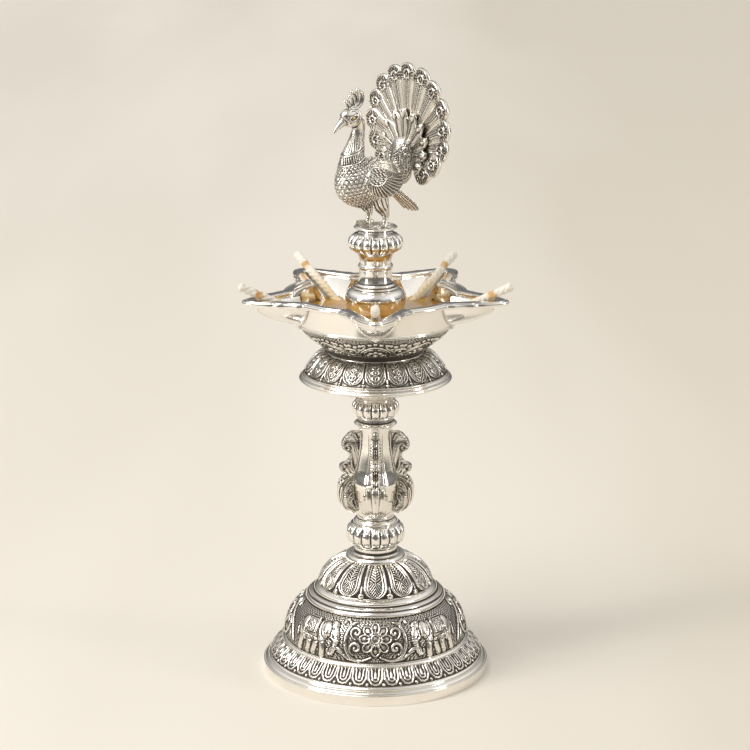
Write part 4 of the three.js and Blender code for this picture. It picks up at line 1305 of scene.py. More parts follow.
POLISHED = Silver(
    "mirror_silver", Slot.POLISHED, bright=(0.955, 0.935, 0.895), warm=(0.91, 0.87, 0.80), roughness=0.11
)
CHASED = Silver("chased_silver", Slot.CARVED, roughness=0.16, reach=0.32, scratches=0.2)
BRASS = Silver("brass", Slot.RAW, bright=(0.86, 0.66, 0.30), warm=(0.78, 0.56, 0.22))
CAST = Silver(
    "cast_metal", Slot.RAW, bright=(0.74, 0.70, 0.63), warm=(0.66, 0.6, 0.5), roughness=0.34,
    scratches=0.5,
)
OIL = Oil("amber_oil", Slot.OIL)
COTTON = Cotton("rolled_cotton", Slot.COTTON)


# Pieces


def dress(obj: Piece, finish: Finish, body: Body | str, *nodes: str) -> None:
    """Gives a piece its finish and its body, and hides the nodes that it replaces.

    Args:
        obj: The piece.
        finish: Its finish.
        body: The body that it rides on.
        nodes: The nodes that it replaces.
    """
    obj.data.materials.clear()
    obj.data.materials.append(finish.material())
    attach(obj, body.value if isinstance(body, Body) else body)
    if nodes:
        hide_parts(*nodes)
    log.info("%s: %d faces", obj.name, len(obj.data.polygons))


def plain_piece(
    name: str,
    node: str,
    body: Body,
    profile: Profile,
    ease: float = 0.2,
    pitch: float = 0.6,
    steps: int = 96,
) -> None:
    """Turns a plain piece and polishes it.

    Args:
        name: The piece's name.
        node: The node that it replaces.
        body: The body that it rides on.
        profile: Its closed profile.
        ease: How far from a corner the rounding starts.
        pitch: The largest distance between two points of the profile.
        steps: How many steps go round it.
    """
    obj = lathe(name, dense(eased(profile, ease), pitch), steps)
    weather(obj)
    dress(obj, POLISHED, body, node)


def chased_piece(
    name: str,
    node: str,
    body: Body,
    sides: tuple[Profile, Profile],
    steps: int,
    pattern: Pattern,
    relief: float,
    patina: tuple[int, float, float],
    fade: float = 0.0,
    soft: float = 75.0,
) -> None:
    """Turns a piece and chases its outside.

    Args:
        name: The piece's name.
        node: The node that it replaces.
        body: The body that it rides on.
        sides: The profile's outside, which is chased, and its inside.
        steps: How many steps go round it.
        pattern: Gives the heights.
        relief: The height that counts as the pattern's top.
        patina: The passes, the depth and the share of the ground that weather takes.
        fade: The length at both ends of the outside over which the pattern fades out.
        soft: The angle in degrees from which an edge is a crease.
    """
    outside, inside = sides
    obj = lathe(name, [*outside, *inside], steps, len(outside), soft)
    chase(obj, pattern, relief, fade)
    weather(obj, *patina)
    dress(obj, CHASED, body, node)


def dress_cast(*nodes: str) -> None:
    """Gives frame nodes inside the lamp their cast finish.

    Args:
        nodes: The nodes' names.
    """
    for name in nodes:
        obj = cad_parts[name]
        obj.data.materials.clear()
        obj.data.materials.append(CAST.material())


# Base


@dataclass
class Base:
    """The foot: plain mouldings, a band of tongues, the chased drum and the lotus dome."""

    wall: float = 2.5
    bore: float = 7.3
    tongues: int = 40
    petals: int = 12
    fine: float = 0.28
    plain_steps: int = 160
    drum_steps: int = 800
    drum_fine: float = 0.34
    flower_at: float = 12.0
    elephant_at: float = 17.2

    def foot_ring(self) -> None:
        """Builds the foot's broad outer moulding."""
        span = Span.of("base_foot_ring")
        inner = Span.of("base_tongue_band").radius
        band, out = span.at(0.6), span.radius - 0.4
        shelf = ((out + inner) / 2, span.at(0.8))
        outside = [
            (out, span.bottom + 0.3), (out + 0.1, span.bottom), (span.radius, band),
            *bead((out - 0.2, band + 0.15), shelf, 0.45), (shelf[0] - 0.35, shelf[1] + 0.1),
            *bead((shelf[0] - 0.5, shelf[1] + 0.1), (inner, span.top), 0.4),
        ]
        profile = [(out - 4, span.bottom), *outside, (inner - self.wall, span.top)]
        plain_piece("foot_ring", "base_foot_ring", Body.BASE, profile, 0.35, 0.8, self.plain_steps)

    def tongue_band(self) -> None:
        """Builds the band of upright tongues with a small bead between their tips."""
        span = Span.of("base_tongue_band")
        top = Span.of("base_wire_ring").radius - 0.3
        outside = dense(
            flow([(span.radius, span.bottom), ((span.radius + top) / 2 + 0.5, span.at(0.5)),
                  (top, span.top)]), self.fine
        )
        inside = [(top - self.wall, span.top), (span.radius - self.wall, span.bottom)]
        chased_piece(
            "tongue_band", "base_tongue_band", Body.BASE, (outside, inside), self.tongues * 20,
            self.tongue_pattern, 0.55, (5, 0.09, 0.75), soft=70,
        )

    def tongue_pattern(self, angle: Array, r: Array, v: Array) -> Chasing:
        """Lays out one tongue: two rims round a raised core, and half a bead beside its tip.

        Args:
            angle: Angles round the lamp, from its front.
            r: Distances from the axis.
            v: Distances along the profile.

        Returns:
            The heights that are chased.
        """
        step = TAU / self.tongues
        chasing = Chasing(fold(angle, step) * r, v)
        mean = 51
        half, tip = step * mean / 2 * 0.84, 3.9
        chasing.line([(0, 1.2), (half * 0.55, 1.7), (half * 0.93, tip), (half, 9.5)], [0.5], 0.62)
        chasing.line([(0, 2.9), (half * 0.42, 3.5), (half * 0.56, 9.5)], [0.42], 0.5)
        chasing.line([(0, 4.6), (0, 9.5)], [0.55, 0.3], 0.5)
        chasing.boss((step * (mean + 1) / 2, 1.3), (0.75, 0.95), 0.6)
        return chasing

    def wire_ring(self) -> None:
        """Builds the plain wire over the tongues."""
        span = Span.of("base_wire_ring")
        foot, head = span.radius - 0.35, Span.of("base_elephant_drum").radius
        outside = bead((foot - 0.3, span.bottom), (head, span.top), 0.75, 12)
        profile = [*outside, (head - self.wall, span.top), (foot - self.wall, span.bottom)]
        obj = lathe("wire_ring", profile, self.plain_steps)
        weather(obj)
        dress(obj, POLISHED, Body.BASE, "base_wire_ring")

    def drum(self) -> None:
        """Builds the domed drum with its flowers, elephants and foliage."""
        span = Span.of("base_elephant_drum")
        top = Span.of("base_step_ring").radius - 0.3
        outside = dense(
            domed((span.radius - 0.6, span.bottom), (top, span.top), 2, 2 / 3, 90), self.drum_fine
        )
        inside = [
            (top - self.wall, span.top), (top - self.wall, span.top - 1.5),
            (span.radius - self.wall - 1.5, span.at(0.4)), (span.radius - self.wall, span.bottom),
        ]
        chased_piece(
            "elephant_drum", "base_elephant_drum", Body.BASE, (outside, inside), self.drum_steps,
            self.drum_pattern, 0.8, (6, 0.1, 0.85),
        )

    def drum_pattern(self, angle: Array, r: Array, v: Array) -> Chasing:
        """Lays out a quarter of the drum, from the flower at the front to the foliage at the side.

        Args:
            angle: Angles round the lamp, from its front.
            r: Distances from the axis.
            v: Distances along the profile.

        Returns:
            The heights that are chased.
        """
        quarter = fold(angle, math.pi)
        mean = Span.of("base_elephant_drum").radius - 1.3
        scale = mean + (r - mean) * 0.35
        chasing = Chasing(quarter * scale, v)
        self.scroll_frame(chasing)
        self.elephant(chasing, self.elephant_at)
        self.foliage(chasing, math.pi / 2 * mean)
        self.flower(chasing, (0.0, self.flower_at))
        chasing.line([(-1, 0.2), (80, 0.2)], [0.5], 0.4)
        chasing.grain(0.95, 0.17, 0.17)
        return chasing

    def flower(self, chasing: Chasing, centre: Point) -> None:
        """Raises a rosette of eight hollowed petals round a boss.

        Args:
            chasing: The drum's chasing.
            centre: The middle of the flower.
        """
        for k in range(8):
            a = math.radians(45 * k + 90)
            at = (centre[0] + 5.3 * math.cos(a), centre[1] + 5.3 * math.sin(a))
            turn = math.degrees(a)
            chasing.boss(at, (3.1, 2.4), 0.6, turn)
            chasing.hoop(at, (2.6, 1.85), 0.45, 1.15, turn)
            inner = (centre[0] + 3.2 * math.cos(a), centre[1] + 3.2 * math.sin(a))
            chasing.line([inner, at], [0.4, 0.2], 0.95)
        chasing.boss(centre, (2.7, 2.7), 0.9)
        chasing.hoop(centre, (1.95, 1.95), 0.6, 1.25)
        chasing.boss(centre, (1.0, 1.0), 0.95)

    def scroll_frame(self, chasing: Chasing) -> None:
        """Raises the C-shaped scroll beside the flower, with its curls and leaves.

        Args:
            chasing: The drum's chasing.
        """
        outer = flow([(2.2, 3.4), (7.5, 1.5), (12.2, 3.0), (14.9, 8.2), (14.6, 14.0),
                      (13.0, 18.0), (13.6, 20.6), (15.4, 20.9), (16.4, 19.6)])
        chasing.line(outer, [0.35, 0.75, 0.85, 0.8, 0.6, 0.75], 0.85)
        chasing.cut(outer[4:-8], [0.2], 0.35)
        chasing.boss((16.3, 19.4), (0.9, 0.9), 0.8)
        for centre, start in (((9.8, 7.4), 150), ((9.6, 14.9), 130)):
            curl = spiral(centre, 3.4, 0.5, (start - 220, start + 210))
            chasing.line(curl, [0.3, 0.7, 0.6, 0.7], 0.75)
        leaf = flow([(7.5, 1.5), (13.0, 2.2), (17.2, 5.2), (20.4, 6.4), (22.6, 4.6), (21.6, 2.8)])
        chasing.line(leaf, [0.4, 0.6, 1.3, 1.0, 0.4], 0.8)
        chasing.cut(flow([(15.4, 4.2), (19.0, 5.6), (21.6, 4.6)]), [0.3], 0.4)
        sprig = flow([(13.4, 17.8), (11.4, 19.4), (9.0, 20.2)])
        chasing.line(sprig, [0.3, 1.0, 0.2], 0.7)
        chasing.cut(sprig, [0.22], 0.35)

    def elephant(self, chasing: Chasing, at: float) -> None:
        """Raises an elephant with a saddle cloth that walks towards the flower.

        Args:
            chasing: The drum's chasing.
            at: Where its trunk starts, across the drum.
        """
        def shift(points: Sequence[Point]) -> Profile:
            """Moves points from the elephant's place to the drum's."""
            return [(at + x, y + 1.3) for x, y in points]

        def spot(x: float, y: float) -> Point:
            """Moves one point from the elephant's place to the drum's."""
            return at + x, y + 1.3

        for leg, far in (
            ([(13.6, 8.0), (14.8, 4.2), (15.8, 1.0)], True),
            ([(19.4, 8.0), (18.9, 4.2), (19.6, 1.0)], True),
            ([(10.8, 9.0), (10.3, 4.4), (10.4, 0.6)], False),
            ([(23.6, 9.0), (24.4, 4.8), (25.3, 0.8)], False),
        ):
            chasing.line(shift(flow(leg, 5)), [2.2, 1.5, 1.6], 0.75 if far else 1.0)
            chasing.boss(spot(leg[-1][0] - 0.3, leg[-1][1] - 0.1), (1.7, 0.8), 0.9)
        chasing.boss(spot(17.4, 12.0), (9.2, 5.6), 1.15)
        chasing.boss(spot(22.6, 11.0), (4.8, 6.0), 1.2)
        chasing.boss(spot(11.6, 11.6), (4.4, 5.4), 1.2)
        chasing.boss(spot(5.4, 13.4), (3.7, 4.4), 1.2)
        chasing.boss(spot(4.3, 16.0), (2.5, 2.1), 1.2)
        trunk = shift(flow([(3.3, 12.6), (2.6, 9.4), (3.3, 6.0), (4.2, 3.2), (5.8, 2.0), (7.0, 3.0),
                            (6.8, 4.0)]))
        chasing.line(trunk, [2.0, 1.5, 1.1, 0.8, 0.6], 1.1)
        for k in range(7):
            y = 10.2 - k * 1.05
            chasing.cut([spot(1.4, y), spot(4.6, y + 0.2)], [0.18], 0.3)
        chasing.line(shift(flow([(5.2, 9.8), (3.0, 8.2), (0.6, 8.8)])), [0.6, 0.5, 0.15], 1.25)
        chasing.boss(spot(8.6, 13.2), (2.5, 4.1), 1.45, 8)
        chasing.dent(spot(4.6, 13.8), (1.0, 0.75), 0.7)
        chasing.boss(spot(4.6, 13.8), (0.45, 0.45), 1.25)
        chasing.cut([spot(2.4, 16.2), spot(6.2, 16.8)], [0.24], 0.45)
        chasing.line(shift(flow([(26.8, 13.4), (28.2, 10.4), (27.9, 6.6)])), [0.5, 0.35, 0.6], 0.8)
        round_ear = np.linspace(0, TAU, 25)
        ear = [spot(8.6 + 3.0 * math.cos(a), 13.2 + 4.7 * math.sin(a)) for a in round_ear]
        chasing.cut(ear, [0.42], 0.8)
        for line in (
            [(8.2, 7.6), (12.4, 6.6), (17.6, 6.2), (21.4, 6.8)], [(12.9, 5.2), (13.0, 8.4), (12.2, 10.6)],
            [(21.0, 5.2), (20.9, 8.6), (21.6, 11.2)], [(8.4, 4.6), (8.0, 8.0), (7.4, 9.4)],
        ):
            chasing.cut(shift(flow(line, 5)), [0.36, 0.42, 0.2], 0.7)
        self.saddle(chasing, [spot(12.8, 17.8), spot(21.0, 17.8), spot(21.8, 9.0), spot(13.8, 8.6)])

    def saddle(self, chasing: Chasing, corners: Sequence[Point]) -> None:
        """Lays a cloth with a double border and a checked middle over the elephant's back.

        Args:
            chasing: The drum's chasing.
            corners: The cloth's corners, from the neck's upper one on.
        """
        inside = chasing.panel(corners, 1.4)
        chasing.height -= np.where(chasing.height > 0.5, 0.6 * ridge(inside + 0.35, 0.35), 0.0)
        for edge, width in ((0.45, 0.3), (1.5, 0.25)):
            rib = np.clip(1 - np.abs(inside - edge) / width, 0, 1)
            chasing.height += 0.38 * rib
        checks = np.sin(chasing.u * 5.2) * np.sin(chasing.v * 5.2)
        chasing.height += np.where(inside > 2.0, 0.22 * checks, 0.0)
        low, high = corners[3][0] + 0.8, corners[2][0] - 0.6
        for k in range(7):
            x = low + (high - low) * k / 6
            y = corners[3][1]
            chasing.line([(x, y + 0.2), (x, y - 1.1)], [0.35, 0.4], 1.25)

    def foliage(self, chasing: Chasing, side: float) -> None:
        """Raises the crossed stems and leaves between two elephants.

        Args:
            chasing: The drum's chasing.
            side: The place of the middle of the drum's side.
        """
        stem = flow([(side - 20.2, 3.2), (side - 17.0, 9.0), (side - 12.0, 15.2), (side - 9.6, 19.4),
                     (side - 11.6, 21.6), (side - 13.6, 20.4), (side - 13.0, 19.0)])
        chasing.line(stem, [0.6, 0.6, 0.7, 0.6, 0.8], 0.9)
        low = flow([(side, 2.4), (side - 6.0, 2.2), (side - 11.0, 5.0), (side - 13.0, 9.6),
                    (side - 10.6, 12.6), (side - 8.0, 11.2), (side - 8.8, 9.4)])
        chasing.line(low, [0.5, 0.7, 0.7, 0.6, 0.8], 0.85)
        high = flow([(side, 6.0), (side - 4.0, 8.0), (side - 6.2, 12.6), (side - 5.4, 17.0),
                     (side - 2.6, 18.0), (side - 2.2, 15.8)])
        chasing.line(high, [0.5, 0.7, 0.6, 0.7], 0.85)
        for at, size, turn in (
            ((side - 15.0, 5.2), (2.6, 1.1), 62), ((side - 7.6, 6.0), (2.4, 1.0), 20),
            ((side - 7.0, 20.0), (2.6, 1.1), 130), ((side - 3.4, 11.6), (2.0, 0.9), 80),
        ):
            chasing.boss(at, size, 0.8, turn)
            a = math.radians(turn)
            reach = (size[0] * 0.8 * math.cos(a), size[0] * 0.8 * math.sin(a))
            chasing.cut([(at[0] - reach[0], at[1] - reach[1]), (at[0] + reach[0], at[1] + reach[1])],
                        [0.25], 0.5)
        for y, size in ((20.6, 1.5), (13.2, 1.3), (4.6, 1.4)):
            chasing.boss((side, y), (size, size * 1.35), 1.0)
            chasing.hoop((side, y), (size, size * 1.35), 0.35, 0.9)

    def step_ring(self) -> None:
        """Builds the two plain beads with a groove between them."""
        span = Span.of("base_step_ring")
        top = Span.of("base_lotus_dome").radius
        low = span.radius - 0.45
        groove = (low - 1.7, span.at(0.52))
        foot = (top + 2.2, span.at(0.68))
        outside = [
            (low - 0.5, span.bottom), *bead((low - 0.2, span.bottom + 0.2), (low - 0.5, span.at(0.36)), 0.6),
            (low - 1.4, span.at(0.4)), groove, (foot[0] + 0.1, span.at(0.62)),
            *bead(foot, (top, span.top), 0.8, 12),
        ]
        profile = [*outside, (top - self.wall, span.top), (low - self.wall, span.bottom)]
        plain_piece("step_ring", "base_step_ring", Body.BASE, profile, 0.25, 0.6, self.plain_steps)

    def lotus_dome(self) -> None:
        """Builds the low dome of lotus petals."""
        span = Span.of("base_lotus_dome")
        top = Span.of("base_top_collar").radius
        outside = dense(
            domed((span.radius - 0.5, span.bottom), (top - 0.6, span.top), 1.7, 0.6, 70), self.fine
        )
        inside = [
            (self.bore, span.top), (self.bore, span.top - self.wall), (top, span.top - self.wall),
            (span.radius - self.wall, span.bottom),
        ]
        chased_piece(
            "lotus_dome", "base_lotus_dome", Body.BASE, (outside, inside), self.petals * 48,
            self.lotus_pattern, 0.7, (6, 0.085, 0.95),
        )

    def lotus_pattern(self, angle: Array, r: Array, v: Array) -> Chasing:
        """Lays out half a petal: two rims, a veined leaf, and the bud between two tips.

        Args:
            angle: Angles round the lamp, from its front.
            r: Distances from the axis.
            v: Distances along the profile.

        Returns:
            The heights that are chased.
        """
        step = TAU / self.petals
        chasing = Chasing(fold(angle, step) * r, v)
        pitch = step / 2 * r
        outer = pitch * 0.87
        tip, reach = 0.8, 5.8
        closing = np.sqrt(np.clip(1 - ((reach + tip - v) / reach) ** 2, 0, 1))
        edge = np.where(v < reach + tip, outer * closing, outer)
        inside = np.where(v > tip, edge - chasing.u, -1.0)
        u = chasing.u
        chasing.height = np.maximum(0.9 * ridge(inside - 0.6, 0.66), 0.62 * ridge(inside - 1.95, 0.42))
        leaf = np.clip((inside - 2.6) / 0.3, 0, 1)
        fringe = 0.34 + 0.3 * np.sin((v + u * 1.5) * 3.7)
        veins = 0.34 + 0.34 * np.sin((v * 1.25 - u * 1.1) * 3.0)
        blade = np.where(v < 8.0, fringe, veins)
        chasing.height = np.maximum(chasing.height, leaf * blade)
        chasing.line([(0, 7.0), (0, 22.0)], [0.3, 0.45, 0.3], 0.72)
        between = pitch - u
        bud = np.sqrt(np.clip(1 - (between / 1.5) ** 2 - ((v - 1.6) / 1.4) ** 2, 0, 1))
        stalk = ridge(between, 0.45) * np.clip((7.5 - v) / 4, 0, 1)
        chasing.height = np.maximum(chasing.height, np.maximum(0.75 * bud, 0.5 * stalk))
        chasing.line([(-1, 0.1), (30, 0.1)], [0.4], 0.35)
        return chasing

    def top_collar(self) -> None:
        """Builds the flange and the neck that the stem screws onto."""
        span = Span.of("base_top_collar")
        neck = Span.of("base_socket").radius - 1.5
        edge, step = span.radius - 0.2, span.at(0.43)
        profile = [
            (self.bore, span.bottom), (edge - 0.3, span.bottom),
            *bead((edge - 0.2, span.bottom + 0.1), (edge - 1.0, step), 0.45),
            (neck + 1.4, step + 0.15), *flow([(neck + 0.7, step + 0.5), (neck, span.at(0.68)),
                                              (neck + 0.1, span.top)], 6),
            (self.bore, span.top),
        ]
        plain_piece("top_collar", "base_top_collar", Body.BASE, profile, 0.25)

    def build(self) -> None:
        """Builds the whole base."""
        self.foot_ring()
        self.tongue_band()
        self.wire_ring()
        self.drum()
        self.step_ring()
        self.lotus_dome()
        self.top_collar()
        dress_cast("base_socket")


# Stem


def knop(
    name: str,
    node: str,
    body: Body,
    ends: Point,
    lobes: int,
    lip: float = 0.0,
    depth: float = 1.7,
    bore: float = 6.3,
) -> None:
    """Builds a knop of upright lobes.

    Args:
        name: The piece's name.
        node: The node that it replaces.
        body: The body that it rides on.
        ends: Its radii at the bottom and the top.
        lobes: How many lobes it has.
        lip: How high a plain ring stands below the lobes.
        depth: How deep the slots between the lobes are.
        bore: The radius of its bore.
    """
    span = Span.of(node)
    foot, height = span.bottom + lip, span.height - lip
    widest = span.radius
    low, high = widest - ends[0], widest - ends[1]
    outside = dense(
        flow([(ends[0], foot), (widest - low * 0.28, foot + height * 0.2),
              (widest, foot + height * 0.48), (widest - high * 0.28, foot + height * 0.78),
              (ends[1], span.top)]), 0.24
    )
    below = [(bore, span.bottom)]
    if lip:
        below += bead((ends[0] - 1.6, span.bottom + 0.1), (ends[0] - 1.5, foot), 0.7)
    obj = lathe(name, [*outside, (bore, span.top), *below], lobes * 16, len(outside), 75)

    def lobe_pattern(angle: Array, r: Array, v: Array) -> Chasing:
        """Sinks the slots between lobes and a small dark slit near the top of each lobe.

        Args:
            angle: Angles round the lamp, from its front.
            r: Distances from the axis.
            v: Distances along the profile.

        Returns:
            The heights that are chased.
        """
        step = TAU / lobes
        chasing = Chasing(fold(angle, step) * r, v)
        x = np.clip(fold(angle, step) / (step / 2), 0, 1)
        rise = np.clip(np.sin(math.pi * v / v.max()) * 1.7, 0, 1)
        chasing.height = -depth * (1 - np.sqrt(np.clip(1 - x**2.6, 0, 1))) * rise
        top = v.max()
        chasing.cut([(0, top * 0.9), (0, top * 0.84)], [0.5], 0.35)
        return chasing

    chase(obj, lobe_pattern, 1.0)
    x, y, z = points_of(obj).T
    step = TAU / lobes
    slot = fold(bearing(x, y), step) / (step / 2)
    lobed = (values_of(obj, "along") >= 0) & (z > foot + 0.3) & (z < span.top - 0.3)
    weather(obj, 8, 0.085)
    darken(obj, 0.55 * np.clip((slot - 0.68) / 0.28, 0, 1) * lobed)
    dress(obj, POLISHED, body, node)


def thread(node: str) -> None:
    """Builds a screw stud with its thread.

    Args:
        node: The stud's node, which is also the body that it rides on.
    """
    span = Span.of(node)
    depth, pitch = 0.5, 1.25
    root = span.radius - depth
    outside = dense([(root, span.bottom + 0.6), (root, span.top - 0.6)], 0.13)
    ends = [(root - 0.6, span.top), (0.0, span.top), (0.0, span.bottom), (root - 0.6, span.bottom)]
    obj = lathe(f"{node}_thread", [*outside, *ends], 64, len(outside), 60)

    def thread_pattern(angle: Array, r: Array, v: Array) -> Chasing:
        """Winds the thread up the rod.

        Args:
            angle: Angles round the lamp, from its front.
            r: Distances from the axis; not used.
            v: Distances along the profile.

        Returns:
            The heights that are chased.
        """
        chasing = Chasing(angle, v)
        turn = np.mod(v / pitch - angle / TAU, 1.0)
        chasing.height = depth * np.clip(1.15 - 2.3 * np.abs(turn - 0.5), 0, 1)
        chasing.height *= inward(v, 0.6, v.max())
        return chasing

    chase(obj, thread_pattern, depth)
    weather(obj, 4, 0.2)
    dress(obj, CAST, node, node)


@dataclass
class Stem:
    """The stem: lobed knops and mouldings round a fluted baluster with four cast brackets."""

    bore: float = 6.3
    web_root: float = 7.0
    strip_ends: Point = (17.4, 41.4)
    outline: tuple[Point, ...] = (
        (9.3, 0.0), (12.9, 1.6), (15.6, 4.2), (17.2, 7.6), (17.9, 12.1), (17.3, 15.3), (15.8, 18.6),
        (14.9, 20.2), (16.6, 21.6), (17.4, 23.6), (16.6, 25.2), (14.4, 26.0), (12.9, 27.6),
        (12.6, 29.6), (13.4, 31.2), (15.1, 32.2), (16.3, 34.6), (15.6, 37.3), (13.6, 39.8),
        (11.6, 41.8),
    )

    @cached_property
    def edge(self) -> Array:
        """Heights above the foot and distances from the axis along a bracket's edge."""
        return np.array([(z, r) for r, z in flow(self.outline, 6)])

    def edge_at(self, z: Array | float) -> Array:
        """How far from the axis a bracket's edge lies at heights above its foot."""
        return np.interp(z, self.edge[:, 0], self.edge[:, 1])

    def mouldings(self) -> None:
        """Builds the plain rings of the stem."""
        bead_span = Span.of("stem_lower_bead")
        collar, ring = Span.of("stem_upper_collar"), Span.of("stem_upper_ring")
        profiles = {
            "stem_lower_bead": [
                (bead_span.radius - 1.2, bead_span.bottom),
                *bead((bead_span.radius - 1.0, bead_span.bottom + 0.2),
                      (bead_span.radius - 1.9, bead_span.at(0.62)), 0.75, 12),
                (bead_span.radius - 2.6, bead_span.at(0.68)), (8.9, bead_span.at(0.9)),
                (8.7, bead_span.top),
            ],
            "stem_upper_collar": [
                (8.3, collar.bottom),
                *bead((collar.radius - 1.3, collar.bottom + 0.2), (collar.radius - 1.2, collar.at(0.45)),
                      1.15, 12),
                (collar.radius - 2.0, collar.at(0.5)), (collar.radius - 2.2, collar.at(0.75)),
                *bead((collar.radius - 2.0, collar.at(0.8)), (9.1, collar.top), 0.35),
            ],
            "stem_upper_ring": bead((ring.radius - 0.3, ring.bottom), (8.2, ring.top), 0.5, 10),
        }
        for node, outside in profiles.items():
            span = Span.of(node)
            profile = [*outside, (self.bore, span.top), (self.bore, span.bottom)]
            plain_piece(f"{node}_turned", node, Body.STEM, profile)

    def baluster(self) -> None:
        """Builds the baluster, hollowed a little between the brackets."""
        span = Span.of("stem_baluster")
        side = flow([(8.7, span.bottom), (9.7, span.bottom + 4.1), (12.0, span.bottom + 14.5),
                     (9.95, span.bottom + 23.3), (7.9, span.bottom + 35.0), (8.3, span.top)])
        outside = dense(side, 0.5)
        profile = [*outside, (self.bore, span.top), (self.bore, span.bottom)]
        obj = lathe("baluster", profile, 192, len(outside), 60)

        def flutes(angle: Array, r: Array, v: Array) -> Chasing:
            """Hollows the four sides between the brackets.

            Args:
                angle: Angles round the lamp, from its front.
                r: Distances from the axis.
                v: Distances along the profile.

            Returns:
                The heights that are chased.
            """
            chasing = Chasing(angle * r, v)
            off = fold(angle - math.pi / 4, math.pi / 2)
            hollow = 0.35 * ridge(off - 0.52, 0.16) - 0.55 * np.exp(-((off / 0.4) ** 2))
            chasing.height = hollow * inward(v, 6.0, v.max())
            return chasing

        chase(obj, flutes, 1.0)
        x, y, _ = points_of(obj).T
        beside = fold(bearing(x, y), math.pi / 2) * np.hypot(x, y)
        weather(obj, 6, 0.1)
        darken(obj, 0.28 * np.clip(1.7 - beside / 2.2, 0, 1))
        dress(obj, POLISHED, Body.STEM, "stem_baluster")

    def side_pattern(self, r: Array, z: Array) -> Array:
        """Lays out the volutes, ribs and leaves on a bracket's sides.

        Args:
            r: Distances from the axis.
            z: Heights above the foot.

        Returns:
            How far the side stands out there.
        """
        chasing = Chasing(r, z)
        back = [(7.6, 22.0), (8.4, 27.0), (9.0, 31.0), (10.6, 35.0), (13.0, 35.9), (15.0, 34.6)]
        volute = [*flow(back), *spiral((13.4, 33.3), 2.1, 0.4, (30, -330), 16)]
        chasing.line(volute, [0.6, 1.0, 0.95, 0.8, 0.9], 1.2)
        for shift, width in ((1.9, 0.7), (3.5, 0.7)):
            rib = flow([(8.4 + shift, 21.0), (9.6 + shift * 0.8, 25.5), (10.3 + shift * 0.7, 29.0),
                        (11.2 + shift * 0.45, 31.4)])
            chasing.line(rib, [width, width, 0.25], 1.0)
        chasing.line(flow([(9.6, 20.0), (12.2, 22.6), (14.6, 24.4), (16.6, 24.2)]), [1.1, 0.9, 0.8], 1.0)
        chasing.boss((15.9, 22.9), (1.5, 1.4), 1.5)
        crown = flow([(8.4, 33.0), (9.2, 37.4), (11.2, 39.4), (13.8, 38.6), (15.6, 36.6)])
        chasing.line(crown, [0.5, 0.9, 0.9, 0.4], 1.1)
        tip = flow([(8.8, 38.0), (10.2, 41.2), (12.0, 41.2), (12.6, 39.9), (11.6, 39.2)])
        chasing.line(tip, [0.6, 0.7, 0.5], 1.1)
        for start, mid, low, end in (
            ((9.6, 19.6), (15.6, 16.2), (17.0, 9.6), (10.2, 0.6)),
            ((10.2, 17.6), (13.8, 14.8), (15.3, 9.2), (10.4, 2.2)),
            ((9.8, 14.0), (13.4, 12.2), (14.2, 7.8), (10.0, 1.6)),
            ((9.6, 11.2), (12.0, 9.8), (12.9, 6.6), (9.6, 2.0)),
            ((9.2, 7.6), (11.2, 7.4), (11.6, 5.0), (9.4, 2.6)),
        ):
            line = flow([start, mid, low, end])
            chasing.line(line, [0.55, 1.0, 0.95, 0.45], 1.2)
            chasing.cut(line[3:-3], [0.2], 0.3)
        return np.clip(chasing.height, -0.4, 1.4)

    def plate(self, bm: Mesh, foot: float) -> None:
        """Adds the bracket's web with chased sides, standing out along X.

        Args:
            bm: The mesh that it is added to.
            foot: The height of the bracket's foot.
        """
        def place(s: Array, v: Array) -> Array:
            """Places the web's points.

            Args:
                s: Shares of the way round.
                v: Shares of the way along.

            Returns:
                Their places in millimetres.
            """
            a = np.where(s < 0.5, 2 * s, 2 - 2 * s)
            z = self.outline[-1][1] * v
            outer = self.edge_at(z)
            r = self.web_root + (outer - self.web_root) * a
            rounding = ridge(np.clip(1 - (outer - r) / 1.1, 0, 1), 1.0)
            t = (0.8 + self.side_pattern(r, z)) * rounding * np.sqrt(inward(v, 0.02))
            return np.stack([r, np.where(s < 0.5, t, -t), z + foot], 1)

        wrapped(bm, around=80, along=152, place=place)

    def strip(self, bm: Mesh, foot: float) -> None:
        """Adds the beaded strip down the outer edge of a bracket.

        Args:
            bm: The mesh that it is added to.
            foot: The height of the bracket's foot.
        """
        low, high = self.strip_ends

        def place(s: Array, v: Array) -> Array:
            """Places the strip's points.

            Args:
                s: Shares of the way round.
                v: Shares of the way along.

            Returns:
                Their places in millimetres.
            """
            angle = TAU * s
            z = low + (high - low) * v
            rough = 0.22 * np.sin(z * 5.3) + 0.12 * np.sin(z * 8.9 + 1)
            half = (2.3 + 0.5 * np.sin(math.pi * v) + rough) * np.sqrt(inward(v, 0.03))
            y = half * np.cos(angle)
            chasing = Chasing(y, z)
            chasing.height = 0.55 * ridge(np.abs(y) - 0.95, 0.6)
            for k in range(7):
                chasing.dent((0.0, low + 3.0 + k * 3.3), (0.5, 0.9 if k % 2 else 0.5), 0.8)
            chasing.height += np.where(np.abs(y) > 1.7, 0.22 * np.sin(z * 4.6), 0)
            raised = np.where(np.sin(angle) > 0, chasing.height, 0) * inward(v, 0.04)
            x = self.edge_at(z) - 0.95 + 0.75 * np.sin(angle) + raised
            return np.stack([x, y, z + foot], 1)

        wrapped(bm, around=48, along=112, place=place)

    def spray(self, bm: Mesh, foot: float) -> None:
        """Adds the acanthus leaves that rise from a bracket's foot and open to both sides.

        Args:
            bm: The mesh that it is added to.
            foot: The height of the bracket's foot.
        """
        def on_edge(y: float, z: float, out: float) -> Place:
            """Takes a place across and up the bracket to space."""
            return float(self.edge_at(z)) - y * y / 15 + out, y, z + foot

